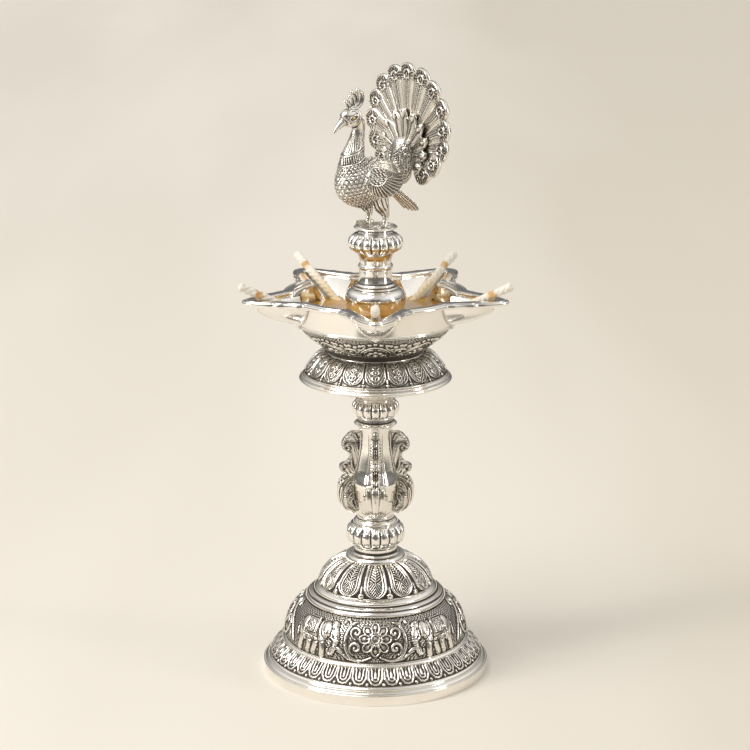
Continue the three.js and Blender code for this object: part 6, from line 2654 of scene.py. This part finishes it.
@dataclass
class Peacock:
    """The bird on its cup. Its own X runs the way that it faces and its own Y to its left."""

    heading: float = 220.5
    trunk_at: Place = (4.6, 0.0, 25.1)
    trunk_half: Place = (18.25, 10.0, 11.8)
    eye_at: Point = (16.1, 56.9)
    outer_fan: Fan = Fan(-19.6, 49.9, 15, 325, 29.7, 10.8)
    covert_fan: Fan = Fan(-17.0, 41.6, 11, 290, 16.5, 5.6)
    wing_lower: tuple[Point, ...] = (
        (15.0, 27.6), (13.2, 23.6), (9.8, 20.4), (4.6, 18.4), (-1.4, 18.2), (-7.0, 20.0), (-11.4, 22.6),
        (-14.9, 26.3),
    )
    wing_upper: tuple[Point, ...] = (
        (15.0, 27.6), (14.9, 31.4), (12.4, 33.9), (7.0, 34.6), (0.6, 33.6), (-5.0, 31.4), (-10.0, 29.0),
        (-14.9, 26.3),
    )
    shoulder: Point = (7.6, 29.4)

    def set_down(self, obj: Piece, node: str, patina: float = 0.07, ground: float = 0.0) -> None:
        """Turns a part of the bird into place, weathers it and finishes it.

        Args:
            obj: The part.
            node: The node that it replaces.
            patina: The hollowness in millimetres that is fully dark.
            ground: The share of the attribute "ground" that is added.
        """
        placed(obj, self.heading, Span.of("peacock_cup").bottom)
        weather(obj, 6, patina, ground)
        dress(obj, CHASED, Body.PEACOCK, node)

    def cup(self) -> None:
        """Builds the round cup in which the bird stands."""
        span = Span.of("peacock_cup")
        rim, floor = span.radius - 0.5, span.top - 1.4
        profile = [
            (0.0, span.bottom), (8.3, span.bottom),
            *flow([(8.2, span.bottom + 0.2), (8.0, span.at(0.3)), (8.8, span.at(0.5))], 5),
            *bead((rim - 0.7, span.at(0.58)), (rim - 0.6, span.top - 0.05), 1.05, 12),
            (rim - 1.1, span.top), (rim - 1.5, span.top - 0.2), (rim - 1.9, floor + 0.1), (0.0, floor),
        ]
        obj = lathe("bird_cup", dense(eased(profile, 0.15), 0.6), 128)
        weather(obj, 8, 0.2)
        dress(obj, POLISHED, Body.PEACOCK, "peacock_cup")

    def body(self) -> None:
        """Builds trunk, neck, head and beak as one skin and chases scales and collar on it."""
        bm = bmesh.new()
        egg(bm, self.trunk_at, self.trunk_half, 48)
        egg(bm, (11.2, 0, 26.2), (10.6, 9.9, 11.0), 40)
        limb(bm, [(12.6, 0, 27.0, 8.6, 9.2), (13.6, 0, 33.0, 7.0, 7.6), (13.9, 0, 38.0, 5.3, 5.9),
                  (12.4, 0, 43.2, 4.0, 4.4), (10.9, 0, 48.5, 3.1, 3.4), (10.6, 0, 53.0, 3.0, 3.4),
                  (12.0, 0, 56.8, 3.3, 3.6)], 28, 50)
        egg(bm, (14.7, 0, 56.6), (5.7, 4.1, 4.6), 32)
        egg(bm, (16.5, 0, 57.3), (4.5, 3.5, 3.7), 28)
        for sign in (-1, 1):
            egg(bm, (15.6, sign * 1.4, 55.4), (3.4, 3.0, 3.0), 20)
        limb(bm, [(17.0, 0, 56.6, 2.3, 2.2), (19.8, 0, 55.2, 1.9, 2.05), (22.4, 0, 53.3, 1.35, 1.5),
                  (24.5, 0, 51.5, 0.85, 0.95), (25.8, 0, 50.2, 0.35, 0.4)], 20, 24)
        egg(bm, (-10.4, 0, 28.6), (6.4, 6.2, 5.0), 24)
        obj = closed("bird_body", bm)
        moulded(obj, 0.25, 5)
        points, normals = points_of(obj), normals_of(obj)
        heights = self.feathering(points, normals)
        set_points(obj, points + normals * heights[:, None])
        chased = (points[:, 2] < 41.5 - 0.36 * (points[:, 0] - 8.0)) & (points[:, 0] > 1.5)
        set_values(obj, "ground", (1 - np.clip(heights / 0.36, 0, 1)) * chased)
        self.set_down(obj, "peacock_body", patina=0.075, ground=0.6)

    def feathering(self, points: Array, normals: Array) -> Array:
        """Lays out the bird's scales, collar, neck lines, cheeks and mouth.

        Args:
            points: Places on the bird's skin.
            normals: The skin's normals there.

        Returns:
            The height at each place.
        """
        x, y, z = points.T
        lean = np.array([0.26, 0.0, 0.966])
        rise = (points - np.array([8.6, 0, 26.0])) @ lean
        side = points - np.array([8.6, 0, 26.0]) - rise[:, None] * lean
        turn = np.arctan2(side[:, 1], side[:, 0])
        over_breast = 12.0 * (math.pi / 2 - np.arcsin(np.clip(rise / 12.0, -0.985, 0.985)))
        down = np.where(rise < 10.6, over_breast, 5.8 - (rise - 10.6) * 1.05)
        collar = z - (41.0 - 0.36 * (x - 8.0))
        scales = 0.5 * lapped(turn / TAU * 34, down / 1.75)
        front = np.clip((x - 1.5) / 1.5, 0, 1) * np.clip((-collar - 2.4) / 0.4, 0, 1) * (z < 44)
        height = scales * front
        cone = np.arctan2(y, x - 12.4)
        band = np.clip(1.9 - np.abs(collar), 0, 0.4) / 0.4
        dashes = 0.12 + 0.12 * np.sin(cone * 44 + collar * 1.4)
        height += band * dashes * (z < 46)
        for at in (-2.15, 1.95):
            height = np.maximum(height, 0.42 * ridge(collar - at, 0.42) * (z < 47) * (x > 3))
        lines = np.clip((collar - 2.6) / 1.0, 0, 1) * np.clip((53.5 - z) / 6, 0, 1)
        height += 0.1 * lines * np.sin(cone * 30)
        back = np.clip((-1.0 - x) / 3, 0, 1) * np.clip((z - 27) / 2, 0, 1)
        height += 0.16 * back * lapped(y / 2.0, -x / 2.2)
        for sign in (-1, 1):
            on_side = np.clip(normals[:, 1] * sign * 3, 0, 1) * (y * sign > 0.8)
            across, up = x - self.eye_at[0], z - self.eye_at[1]
            eye = np.hypot(across, up)
            lid = np.hypot((across + up * 0.35) / 2.1, (up + across * 0.3) / 1.15)
            height += on_side * (0.36 * ridge(lid - 1.0, 0.28) - 0.4 * np.clip(1 - lid, 0, 1))
            height += on_side * 0.26 * ridge(eye - 3.5, 0.35) * (across < 1.2)
        mouth = np.abs(z - (54.4 - 0.5 * (x - 17.9)))
        height -= 0.42 * np.clip(1 - mouth / 0.34, 0, 1) * (x > 17.6)
        height += 0.25 * ridge(x - 20.6 - 0.7 * (z - 56), 0.35) * (z > 52.5) * (z < 57.6)
        nostril = np.hypot((x - 20.4) / 0.7, (z - 56.2) / 0.35)
        height -= 0.3 * np.clip(1 - nostril, 0, 1)
        return height

    def eyes(self) -> None:
        """Sets the two brass-coloured eyes."""
        bm = bmesh.new()
        x, z = self.eye_at
        for sign in (-1, 1):
            egg(bm, (x, sign * 3.62, z), (1.0, 0.6, 0.8), 16)
            egg(bm, (16.2, sign * 4.12, z), (0.3, 0.22, 0.3), 10)
        obj = placed(closed("bird_eyes", bm), self.heading, Span.of("peacock_cup").bottom)
        weather(obj, 2, 0.3)
        dress(obj, BRASS, Body.PEACOCK)

    def crest(self) -> None:
        """Builds the four curled plumes with their ball tips."""
        bm = bmesh.new()
        plumes = (
            ((16.6, 60.0), (15.9, 61.8), (16.5, 63.4), (17.6, 64.2)),
            ((15.4, 60.6), (13.7, 62.9), (14.0, 65.6), (15.8, 66.7)),
            ((14.2, 60.8), (11.5, 63.4), (11.5, 67.0), (13.9, 68.4)),
            ((12.9, 60.4), (9.4, 62.8), (8.6, 66.6), (11.2, 69.2)),
        )

        def grooved(angle: Array, v: Array) -> Array:
            """Grooves a plume lengthwise."""
            return 1 + 0.24 * np.cos(4 * angle)

        for points, y in zip(plumes, (-0.5, 0.5, -0.5, 0.5)):
            stations = [
                (px, y * share, pz, size, size * 1.15)
                for (px, pz), share, size in zip(points, (0, 0.7, 1, 1), (1.0, 1.0, 1.0, 0.7))
            ]
            limb(bm, stations, 16, 28, swell=grooved)
            egg(bm, (points[3][0] + 0.3, y, points[3][1] - 0.1), (1.15, 1.1, 1.15), 14)
        egg(bm, (14.2, 0, 60.6), (2.9, 1.6, 1.1), 18)
        self.set_down(closed("bird_crest", bm), "peacock_crest")

    def on_wing(self, side: Side) -> Onto:
        """Gives the function that takes a place on a wing and a height to space.

        Args:
            side: The wing's side.

        Returns:
            The function.
        """
        def onto(x: Array, z: Array, out: Array) -> Array:
            """Projects a place sideways onto the trunk, stood off by a height.

            Args:
                x: Places along the bird.
                z: Their heights.
                out: How far they stand off.

            Returns:
                Their places in millimetres.
            """
            half = [size + out for size in self.trunk_half]
            flat = ((x - self.trunk_at[0]) / half[0]) ** 2 + ((z - self.trunk_at[2]) / half[2]) ** 2
            bulge = half[1] * np.sqrt(np.clip(1 - flat, 0.015, 1))
            return np.stack([x, side.value * bulge, z], 1)

        return onto

    def wing(self, side: Side) -> None:
        """Builds a folded wing: a granulated shoulder and fourteen long rimmed feathers.

        Args:
            side: The wing's side.
        """
        lower, upper = np.array(self.wing_lower), np.array(self.wing_upper)
        onto, name = self.on_wing(side), side.name.lower()

        def relief(x: Array, z: Array) -> Array:
            """Lays out the wing's feathers and its shoulder.

            Args:
                x: Places along the bird.
                z: Their heights.

            Returns:
                The heights that are chased.
            """
            chasing = Chasing(x, z)
            cx, cz = self.shoulder
            chasing.height = 0.09 + 0.09 * np.sin((x * 0.7 + z) * 9.0)
            for k in range(15):
                t = k / 14
                a = math.radians(12 - 186 * t)
                start = (cx + 5.0 * math.cos(a), cz + 4.0 * math.sin(a))
                end = way(lower, np.array([t * 0.97 + 0.015]))[0]
                mid = ((start[0] + end[0]) / 2 + 0.9 * (1 - t), (start[1] + end[1]) / 2 - 0.5 * t)
                chasing.line(flow([start, mid, tuple(end)], 6), [0.28, 0.3, 0.42], 0.5)
                off = (0.5 * math.cos(a + 1.57), 0.5 * math.sin(a + 1.57))
                inner = [(at[0] - off[0], at[1] - off[1]) for at in (start, mid)]
                chasing.line(inner, [0.12, 0.14], 0.3)
            near, away = chasing.to_oval(self.shoulder, (5.2, 4.3), -12)
            chasing.height[near] = np.where(away < 1.02, 0.42 * ridge(away, 1.3), chasing.height[near])
            grains = Chasing(x, z)
            grains.grain(1.0, 0.34, 1.0)
            chasing.height[near] += np.where(away < 0.9, grains.height[near], 0)
            chasing.hoop(self.shoulder, (5.0, 4.1), 0.42, 0.85, -12)
            shares = np.linspace(0, 1, 40)
            chasing.line(way(lower, shares), [0.7, 0.85, 0.7], 0.95)
            chasing.line(way(upper, shares), [0.5, 0.45, 0.5], 0.6)
            return chasing.height

        def place(s: Array, v: Array) -> Array:
            """Places the wing's points: the face, then the inside.

            Args:
                s: Shares of the way round.
                v: Shares of the way along.

            Returns:
                Their places in millimetres.
            """
            a = np.where(s < 0.5, 2 * s, 2 - 2 * s)
            low, high = way(lower, v), way(upper, v)
            at = low + (high - low) * a[:, None]
            edge = (1 - np.abs(2 * a - 1) ** 8) ** 0.5 * inward(v, 0.03) ** 0.5
            x, z = at.T
            out = np.where(s < 0.5, -0.1 + edge * (1.15 + relief(x, z)), -0.1 - 0.9 * edge)
            return onto(x, z, out)

        bm = bmesh.new()
        wrapped(bm, around=120, along=144, place=place)
        self.set_down(closed(f"bird_wing_{name}", bm, 70), f"peacock_wing_{name}")

    def leg(self, side: Side) -> None:
        """Builds a leg: a fluted thigh, a shank, three toes and a spur with claws.

        Args:
            side: The leg's side.
        """
        bm = bmesh.new()
        sign, name = side.value, side.name.lower()
        y = sign * 6.0

        def fluted(angle: Array, v: Array) -> Array:
            """Cuts the flutes of the thigh's feathers."""
            return 1 + 0.075 * np.cos(11 * angle + 3 * v) * np.clip((0.72 - v) * 5, 0, 1)

        def ringed(angle: Array, v: Array) -> Array:
            """Rings a toe with its joints."""
            return 1 + 0.12 * np.cos(v * 34)

        limb(bm, [(3.0, y - sign * 0.9, 19.8, 3.6, 4.6), (1.8, y - sign * 0.2, 15.6, 3.1, 4.2),
                  (0.2, y, 12.6, 2.4, 3.2), (-1.0, y, 10.2, 1.7, 2.2), (-1.3, y, 8.4, 1.35, 1.5),
                  (-0.8, y, 6.2, 1.2, 1.3), (-0.1, y, 4.2, 1.5, 1.6), (0.2, y, 3.4, 1.3, 1.5)],
             44, 60, (0, 1, 0), fluted, 0.04)
        for k in range(4):
            x, z = -1.1 + k * 0.25, 9.2 - k * 1.25
            limb(bm, [(x, y - 1.35, z, 0.28, 0.28), (0.5 + k * 0.25, y, z - 0.15, 0.3, 0.3),
                      (x, y + 1.35, z, 0.28, 0.28)], 6, 10, (0, 0, 1))
        for reach, aside in ((6.4, -2.4), (7.3, 0.4), (6.0, 2.8), (-3.8, 0.0)):
            stations = [
                (reach * share, y + sign * aside * share, z, width, depth)
                for share, z, width, depth in (
                    (0.0, 4.7, 1.0, 1.0), (0.3, 5.0, 0.85, 0.85), (0.55, 4.9, 0.85, 0.9),
                    (0.8, 4.8, 0.75, 0.8), (0.93, 4.75, 0.5, 0.55), (1.04, 4.35, 0.2, 0.25),
                )
            ]
            limb(bm, stations, 14, 26, swell=ringed)
        self.set_down(closed(f"bird_leg_{name}", bm, 60), f"peacock_leg_{name}")

    def tier(self, name: str, fan: Fan, feather: Callable[[Mesh, Point, Point, Onto], None]) -> None:
        """Builds a fan of feathers.

        Args:
            name: The node that it replaces, without the bird's name.
            fan: Its sizes.
            feather: Adds one feather, from its root and tip and a function onto space.
        """
        bm = bmesh.new()
        for k in range(fan.count):
            angle = math.radians(-fan.spread / 2 + fan.spread / fan.count * (k + 0.5))
            layer = 0.34 * (k % 2)

            def onto(p: Array, q: Array, out: Array) -> Array:
                """Takes a place on the fan and a height to space."""
                return np.stack([fan.front - 1.0 + layer + out, p, fan.rise + q], 1)

            tip = (fan.radius * math.sin(angle), fan.radius * math.cos(angle))
            feather(bm, (0.0, -fan.root), tip, onto)
        self.set_down(closed(f"bird_{name}", bm, 70), f"peacock_{name}", patina=0.14)

    def eyed_feather(self, bm: Mesh, root: Point, tip: Point, onto: Onto) -> None:
        """Adds a feather with an eye, a fringe round it and a scalloped rim.

        Args:
            bm: The mesh that it is added to.
            root: Where it starts on the fan.
            tip: Where it ends.
            onto: Takes a place on the fan and a height to space.
        """
        length = math.hypot(tip[0] - root[0], tip[1] - root[1])
        half, cap = 5.7, 4.3
        eye = length - 5.4
        start = 7.0

        def width(y: Array) -> Array:
            """Half the feather's width.

            Args:
                y: Distances from the root.

            Returns:
                The half widths.
            """
            tapering = 1.0 + (half - 1.0) * np.clip(y / (length - cap), 0, 1) ** 0.85
            round_tip = half * np.sqrt(np.clip(1 - ((y - length + cap) / cap) ** 2, 0, 1))
            return np.where(y < length - cap, tapering, round_tip)

        def relief(x: Array, y: Array, w: Array) -> Array:
            """Lays out the feather's chased face.

            Args:
                x: Places across the feather.
                y: Places along it, from its root.
                w: Half its width there.

            Returns:
                The heights that are chased.
            """
            chasing = Chasing(x, y - eye)
            v = chasing.v
            away = np.hypot(x, v)
            arc = np.hypot(x / half, np.maximum(y - length + cap, 0) / cap)
            inside = np.where(y > length - cap, (1 - arc) * 4.6, w - np.abs(x))
            barbs = 0.2 * (1 + np.sin((v - np.abs(x) * 1.5) * 6.0)) / 2 + 0.12
            rays = 0.26 * np.clip(np.sin(np.arctan2(x, v + 0.4) * 19) * 1.4, 0, 1) + 0.1
            chasing.height = np.where(away > 2.6, np.where(v > -1.6, rays, barbs), 0.1)
            outer = ridge(inside - 0.55, 0.6) * np.where(v > -3, 0.8, 0.42)
            chasing.height = np.maximum(chasing.height, outer)
            chasing.line([(0, -eye + start * 0.3), (0, -2.3)], [0.55, 0.5, 0.4], 0.6)
            for sign in (-1, 1):
                quill = [(sign * 0.9, -eye + start * 0.3), (sign * 1.0, -3.4), (sign * 2.0, -1.4)]
                chasing.line(quill, [0.22, 0.26], 0.42)
            chasing.hoop((0, 0.1), (1.75, 2.1), 0.55, 0.85)
            chasing.dent((0, 0.1), (1.2, 1.5), 0.25)
            chasing.boss((0, 0.0), (0.62, 0.9), 0.6)
            return chasing.height

        leaf(bm, root, tip, width, relief, onto, 1.5, (9, 92), 0.3)

    def lance_feather(self, bm: Mesh, root: Point, tip: Point, onto: Onto) -> None:
        """Adds a lance-shaped feather with a bright round point.

        Args:
            bm: The mesh that it is added to.
            root: Where it starts on the fan.
            tip: Where it ends.
            onto: Takes a place on the fan and a height to space.
        """
        length = math.hypot(tip[0] - root[0], tip[1] - root[1])

        def width(y: Array) -> Array:
            """Half the feather's width."""
            share = np.clip(y / length, 0, 1)
            return 0.7 + 2.9 * np.sin(math.pi * np.clip(share, 0, 0.999) ** 1.6) ** 0.8 * (share < 1)

        def relief(x: Array, y: Array, w: Array) -> Array:
            """Lays out the feather's chased face.

            Args:
                x: Places across the feather.
                y: Places along it, from its root.
                w: Half its width there.

            Returns:
                The heights that are chased.
            """
            chasing = Chasing(x, y)
            barbs = 0.2 * (1 + np.sin((y - np.abs(x) * 1.7) * 5.4)) / 2
            chasing.height = np.maximum(barbs, 0.5 * ridge(w - np.abs(x) - 0.4, 0.42))
            chasing.line([(0, 0.5), (0, length - 3.4)], [0.4, 0.34], 0.55)
            chasing.boss((0, length - 2.2), (1.45, 2.3), 0.95)
            return chasing.height

        leaf(bm, root, tip, width, relief, onto, 1.3, (8, 64), 0.25)

    def mound(self) -> None:
        """Builds the swelling root of the train: granulated on one side, leafed on the other."""
        front, rise, tall = -16.1, 33.1, 11.5
        bm = bmesh.new()

        def place(s: Array, v: Array) -> Array:
            """Places the mound's points.

            Args:
                s: Shares of the way round.
                v: Shares of the way along.

            Returns:
                Their places in millimetres.
            """
            lat, lon = math.pi * (v - 0.5), TAU * s
            lon = np.where(lon > math.pi, lon - TAU, lon)
            chasing = Chasing(np.abs(lon) * 6.2, tall * np.sin(lat))
            middle = 6.4
            for ring_size, height in ((1.0, 0.8), (0.7, 0.6), (0.4, 0.6)):
                chasing.hoop((middle, 0.5), (3.9 * ring_size, 9.4 * ring_size), 0.4, height)
            for row, across in ((0, 3.3), (1, 2.15), (2, 0.9)):
                for k in range(-6, 7):
                    up = k * 1.2 * (1 - 0.14 * row)
                    wide = across * math.sqrt(max(1 - (up / 9.8) ** 2, 0))
                    for sign in (-1, 1):
                        chasing.boss((middle + sign * wide, 0.5 + up), (0.38, 0.46), 0.6)
            chasing.grain(0.85, 0.3, 0.2)
            facing = np.clip(np.cos(lon) * 2 + 1.6, 0, 1) * np.cos(lat) ** 0.3
            out = 1 + chasing.height * facing / 7.0
            x = 4.9 * np.cos(lat) * np.cos(lon) * out
            y = 7.2 * np.cos(lat) * np.sin(lon) * out
            return np.stack([front + np.maximum(x, -1.0), y, tall * np.sin(lat) + rise], 1)

        wrapped(bm, around=170, along=120, place=place)
        self.set_down(closed("bird_train_root", bm, 70), "peacock_train_root", patina=0.045)

    def lower_tail(self) -> None:
        """Builds the short feathers that slant down behind the legs."""
        bm = bmesh.new()

        def ribbed(angle: Array, v: Array) -> Array:
            """Folds a feather lengthwise and scores it across."""
            return 1 + 0.13 * np.cos(8 * angle) + 0.05 * np.cos(v * 110 + 3 * np.cos(2 * angle))

        for lean in (-1.0, -0.33, 0.33, 1.0):
            drop = 0.5 * abs(lean)
            stations = [
                (-8.0, lean * 1.8, 20.8, 1.6, 1.4), (-12.6, lean * 2.9, 17.8 + drop, 1.7, 1.3),
                (-17.0, lean * 3.6, 14.2 + drop, 1.75, 1.25), (-20.6, lean * 4.0, 10.9 + drop, 1.8, 1.2),
                (-23.2 + drop, lean * 4.0, 8.6 + drop, 1.5, 1.0),
            ]
            limb(bm, stations, 48, 90, swell=ribbed, round_end=0.05)
        self.set_down(closed("bird_lower_tail", bm, 60), "peacock_lower_tail")

    def build(self) -> None:
        """Builds the whole bird."""
        self.cup()
        self.body()
        self.eyes()
        self.crest()
        for side in Side:
            self.wing(side)
            self.leg(side)
        self.tier("train_outer", self.outer_fan, self.eyed_feather)
        self.tier("train_coverts", self.covert_fan, self.lance_feather)
        self.mound()
        self.lower_tail()
        thread("peacock_stud")


# Studio


@dataclass(frozen=True)
class Softbox:
    """A rectangular light, given by where it stands and what it points at."""

    name: str
    at: Place
    width: float
    height: float
    power: float
    colour: Colour = (1.0, 0.97, 0.92)

    def build(self, target: Vector) -> None:
        """Puts up the light.

        Args:
            target: The point that it faces.
        """
        data = bpy.data.lights.new(self.name, "AREA")
        data.shape = "RECTANGLE"
        data.size, data.size_y = self.width, self.height
        data.energy, data.color = self.power, self.colour
        light = bpy.data.objects.new(self.name, data)
        light.location = self.at
        light.rotation_euler = (target - Vector(self.at)).to_track_quat("-Z", "Y").to_euler()
        bpy.context.scene.collection.objects.link(light)


@dataclass
class Studio:
    """The pale floor, the soft lights and the camera at the photograph's angle."""

    camera_at: Place = (-0.00024, -1.0999, 0.4378)
    camera_tilt: float = 75.26
    lens: float = 113.3
    film_width: float = 36.0
    floor_half: float = 8.0
    daylight: Colour = (1.0, 0.975, 0.94)
    sky_power: float = 1.07
    sun_from: Place = (-1.0, -0.75, 1.9)
    sun_power: float = 1.34
    sun_angle: float = 42.0
    target: Place = (0.0, 0.0, 0.15)
    lights: tuple[Softbox, ...] = (
        Softbox("window", (-1.5, -0.7, 0.9), 0.35, 1.1, 11.0),
        Softbox("reflector", (1.7, -0.6, 0.7), 0.25, 1.0, 5.0),
    )

    def camera(self) -> None:
        """Sets up the camera."""
        data = bpy.data.cameras.new("camera")
        data.lens, data.sensor_width = self.lens, self.film_width
        data.clip_start, data.clip_end = 0.05, 50.0
        camera = bpy.data.objects.new("camera", data)
        camera.location = self.camera_at
        camera.rotation_euler = (math.radians(self.camera_tilt), 0, 0)
        bpy.context.scene.collection.objects.link(camera)
        bpy.context.scene.camera = camera

    def floor(self) -> None:
        """Lays the floor."""
        bm = bmesh.new()
        bmesh.ops.create_grid(bm, x_segments=1, y_segments=1, size=self.floor_half)
        obj = to_object("floor", bm)
        obj.data.materials.append(FloorCloth("floor_cloth").material())

    def flags(self) -> None:
        """Puts grey cards behind and below the camera, which only the metal mirrors."""
        for name, wide, tall, tilt, at in (
            ("flag_behind", 1.2, 1.7, 90, (0.0, -1.9, 0.55)),
            ("flag_below", 0.5, 1.3, 0, (0.0, -1.08, 0.001)),
        ):
            bm = bmesh.new()
            bmesh.ops.create_grid(bm, x_segments=1, y_segments=1, size=0.5)
            bmesh.ops.scale(bm, verts=bm.verts, vec=(wide, tall, 1.0))
            turn = Matrix.Rotation(math.radians(tilt), 3, "X")
            bmesh.ops.rotate(bm, verts=bm.verts, cent=(0, 0, 0), matrix=turn)
            bmesh.ops.translate(bm, verts=bm.verts, vec=at)
            obj = to_object(name, bm)
            obj.data.materials.append(Card("flag_cloth").material())
            obj.visible_camera = obj.visible_diffuse = obj.visible_shadow = False

    def sun(self) -> None:
        """Hangs the wide, soft main light."""
        data = bpy.data.lights.new("sun", "SUN")
        data.energy, data.color = self.sun_power, self.daylight
        data.angle = math.radians(self.sun_angle)
        light = bpy.data.objects.new("sun", data)
        light.rotation_euler = Vector(self.sun_from).to_track_quat("Z", "Y").to_euler()
        bpy.context.scene.collection.objects.link(light)

    def world(self) -> None:
        """Lights the room: bright overhead and at the sides, dim at the height of the lamp."""
        world = bpy.data.worlds.new("room")
        world.use_nodes = True
        nodes = Nodes(world.node_tree)
        background = world.node_tree.nodes["Background"]
        view = nodes.add("ShaderNodeTexCoord").outputs["Generated"]
        towards = nodes.add("ShaderNodeSeparateXYZ", None, Vector=view).outputs
        rise = nodes.ranged(towards["Z"], 0.0, 0.78, 0.14, 1.0)
        aside = nodes.ranged(nodes.math("ABSOLUTE", towards["X"]), 0.15, 0.8, 0.55, 1.0)
        strength = nodes.math("MULTIPLY", nodes.math("MULTIPLY", rise, aside), self.sky_power)
        nodes.feed(background.inputs["Color"], (*self.daylight, 1))
        nodes.feed(background.inputs["Strength"], strength)
        bpy.context.scene.world = world

    def build(self) -> None:
        """Sets up the studio."""
        self.camera()
        self.floor()
        self.flags()
        self.sun()
        self.world()
        for light in self.lights:
            light.build(Vector(self.target))
        bpy.context.scene.view_settings.view_transform = "Standard"


def main() -> None:
    """Builds the lamp and its studio."""
    logging.basicConfig(level=logging.INFO, format="%(name)s: %(message)s")
    Studio().build()
    Base().build()
    Stem().build()
    Bowl().build()
    for number in range(1, 6):
        Wick(number).build()
    Column().build()
    Peacock().build()


if __name__ == "__main__":
    main()
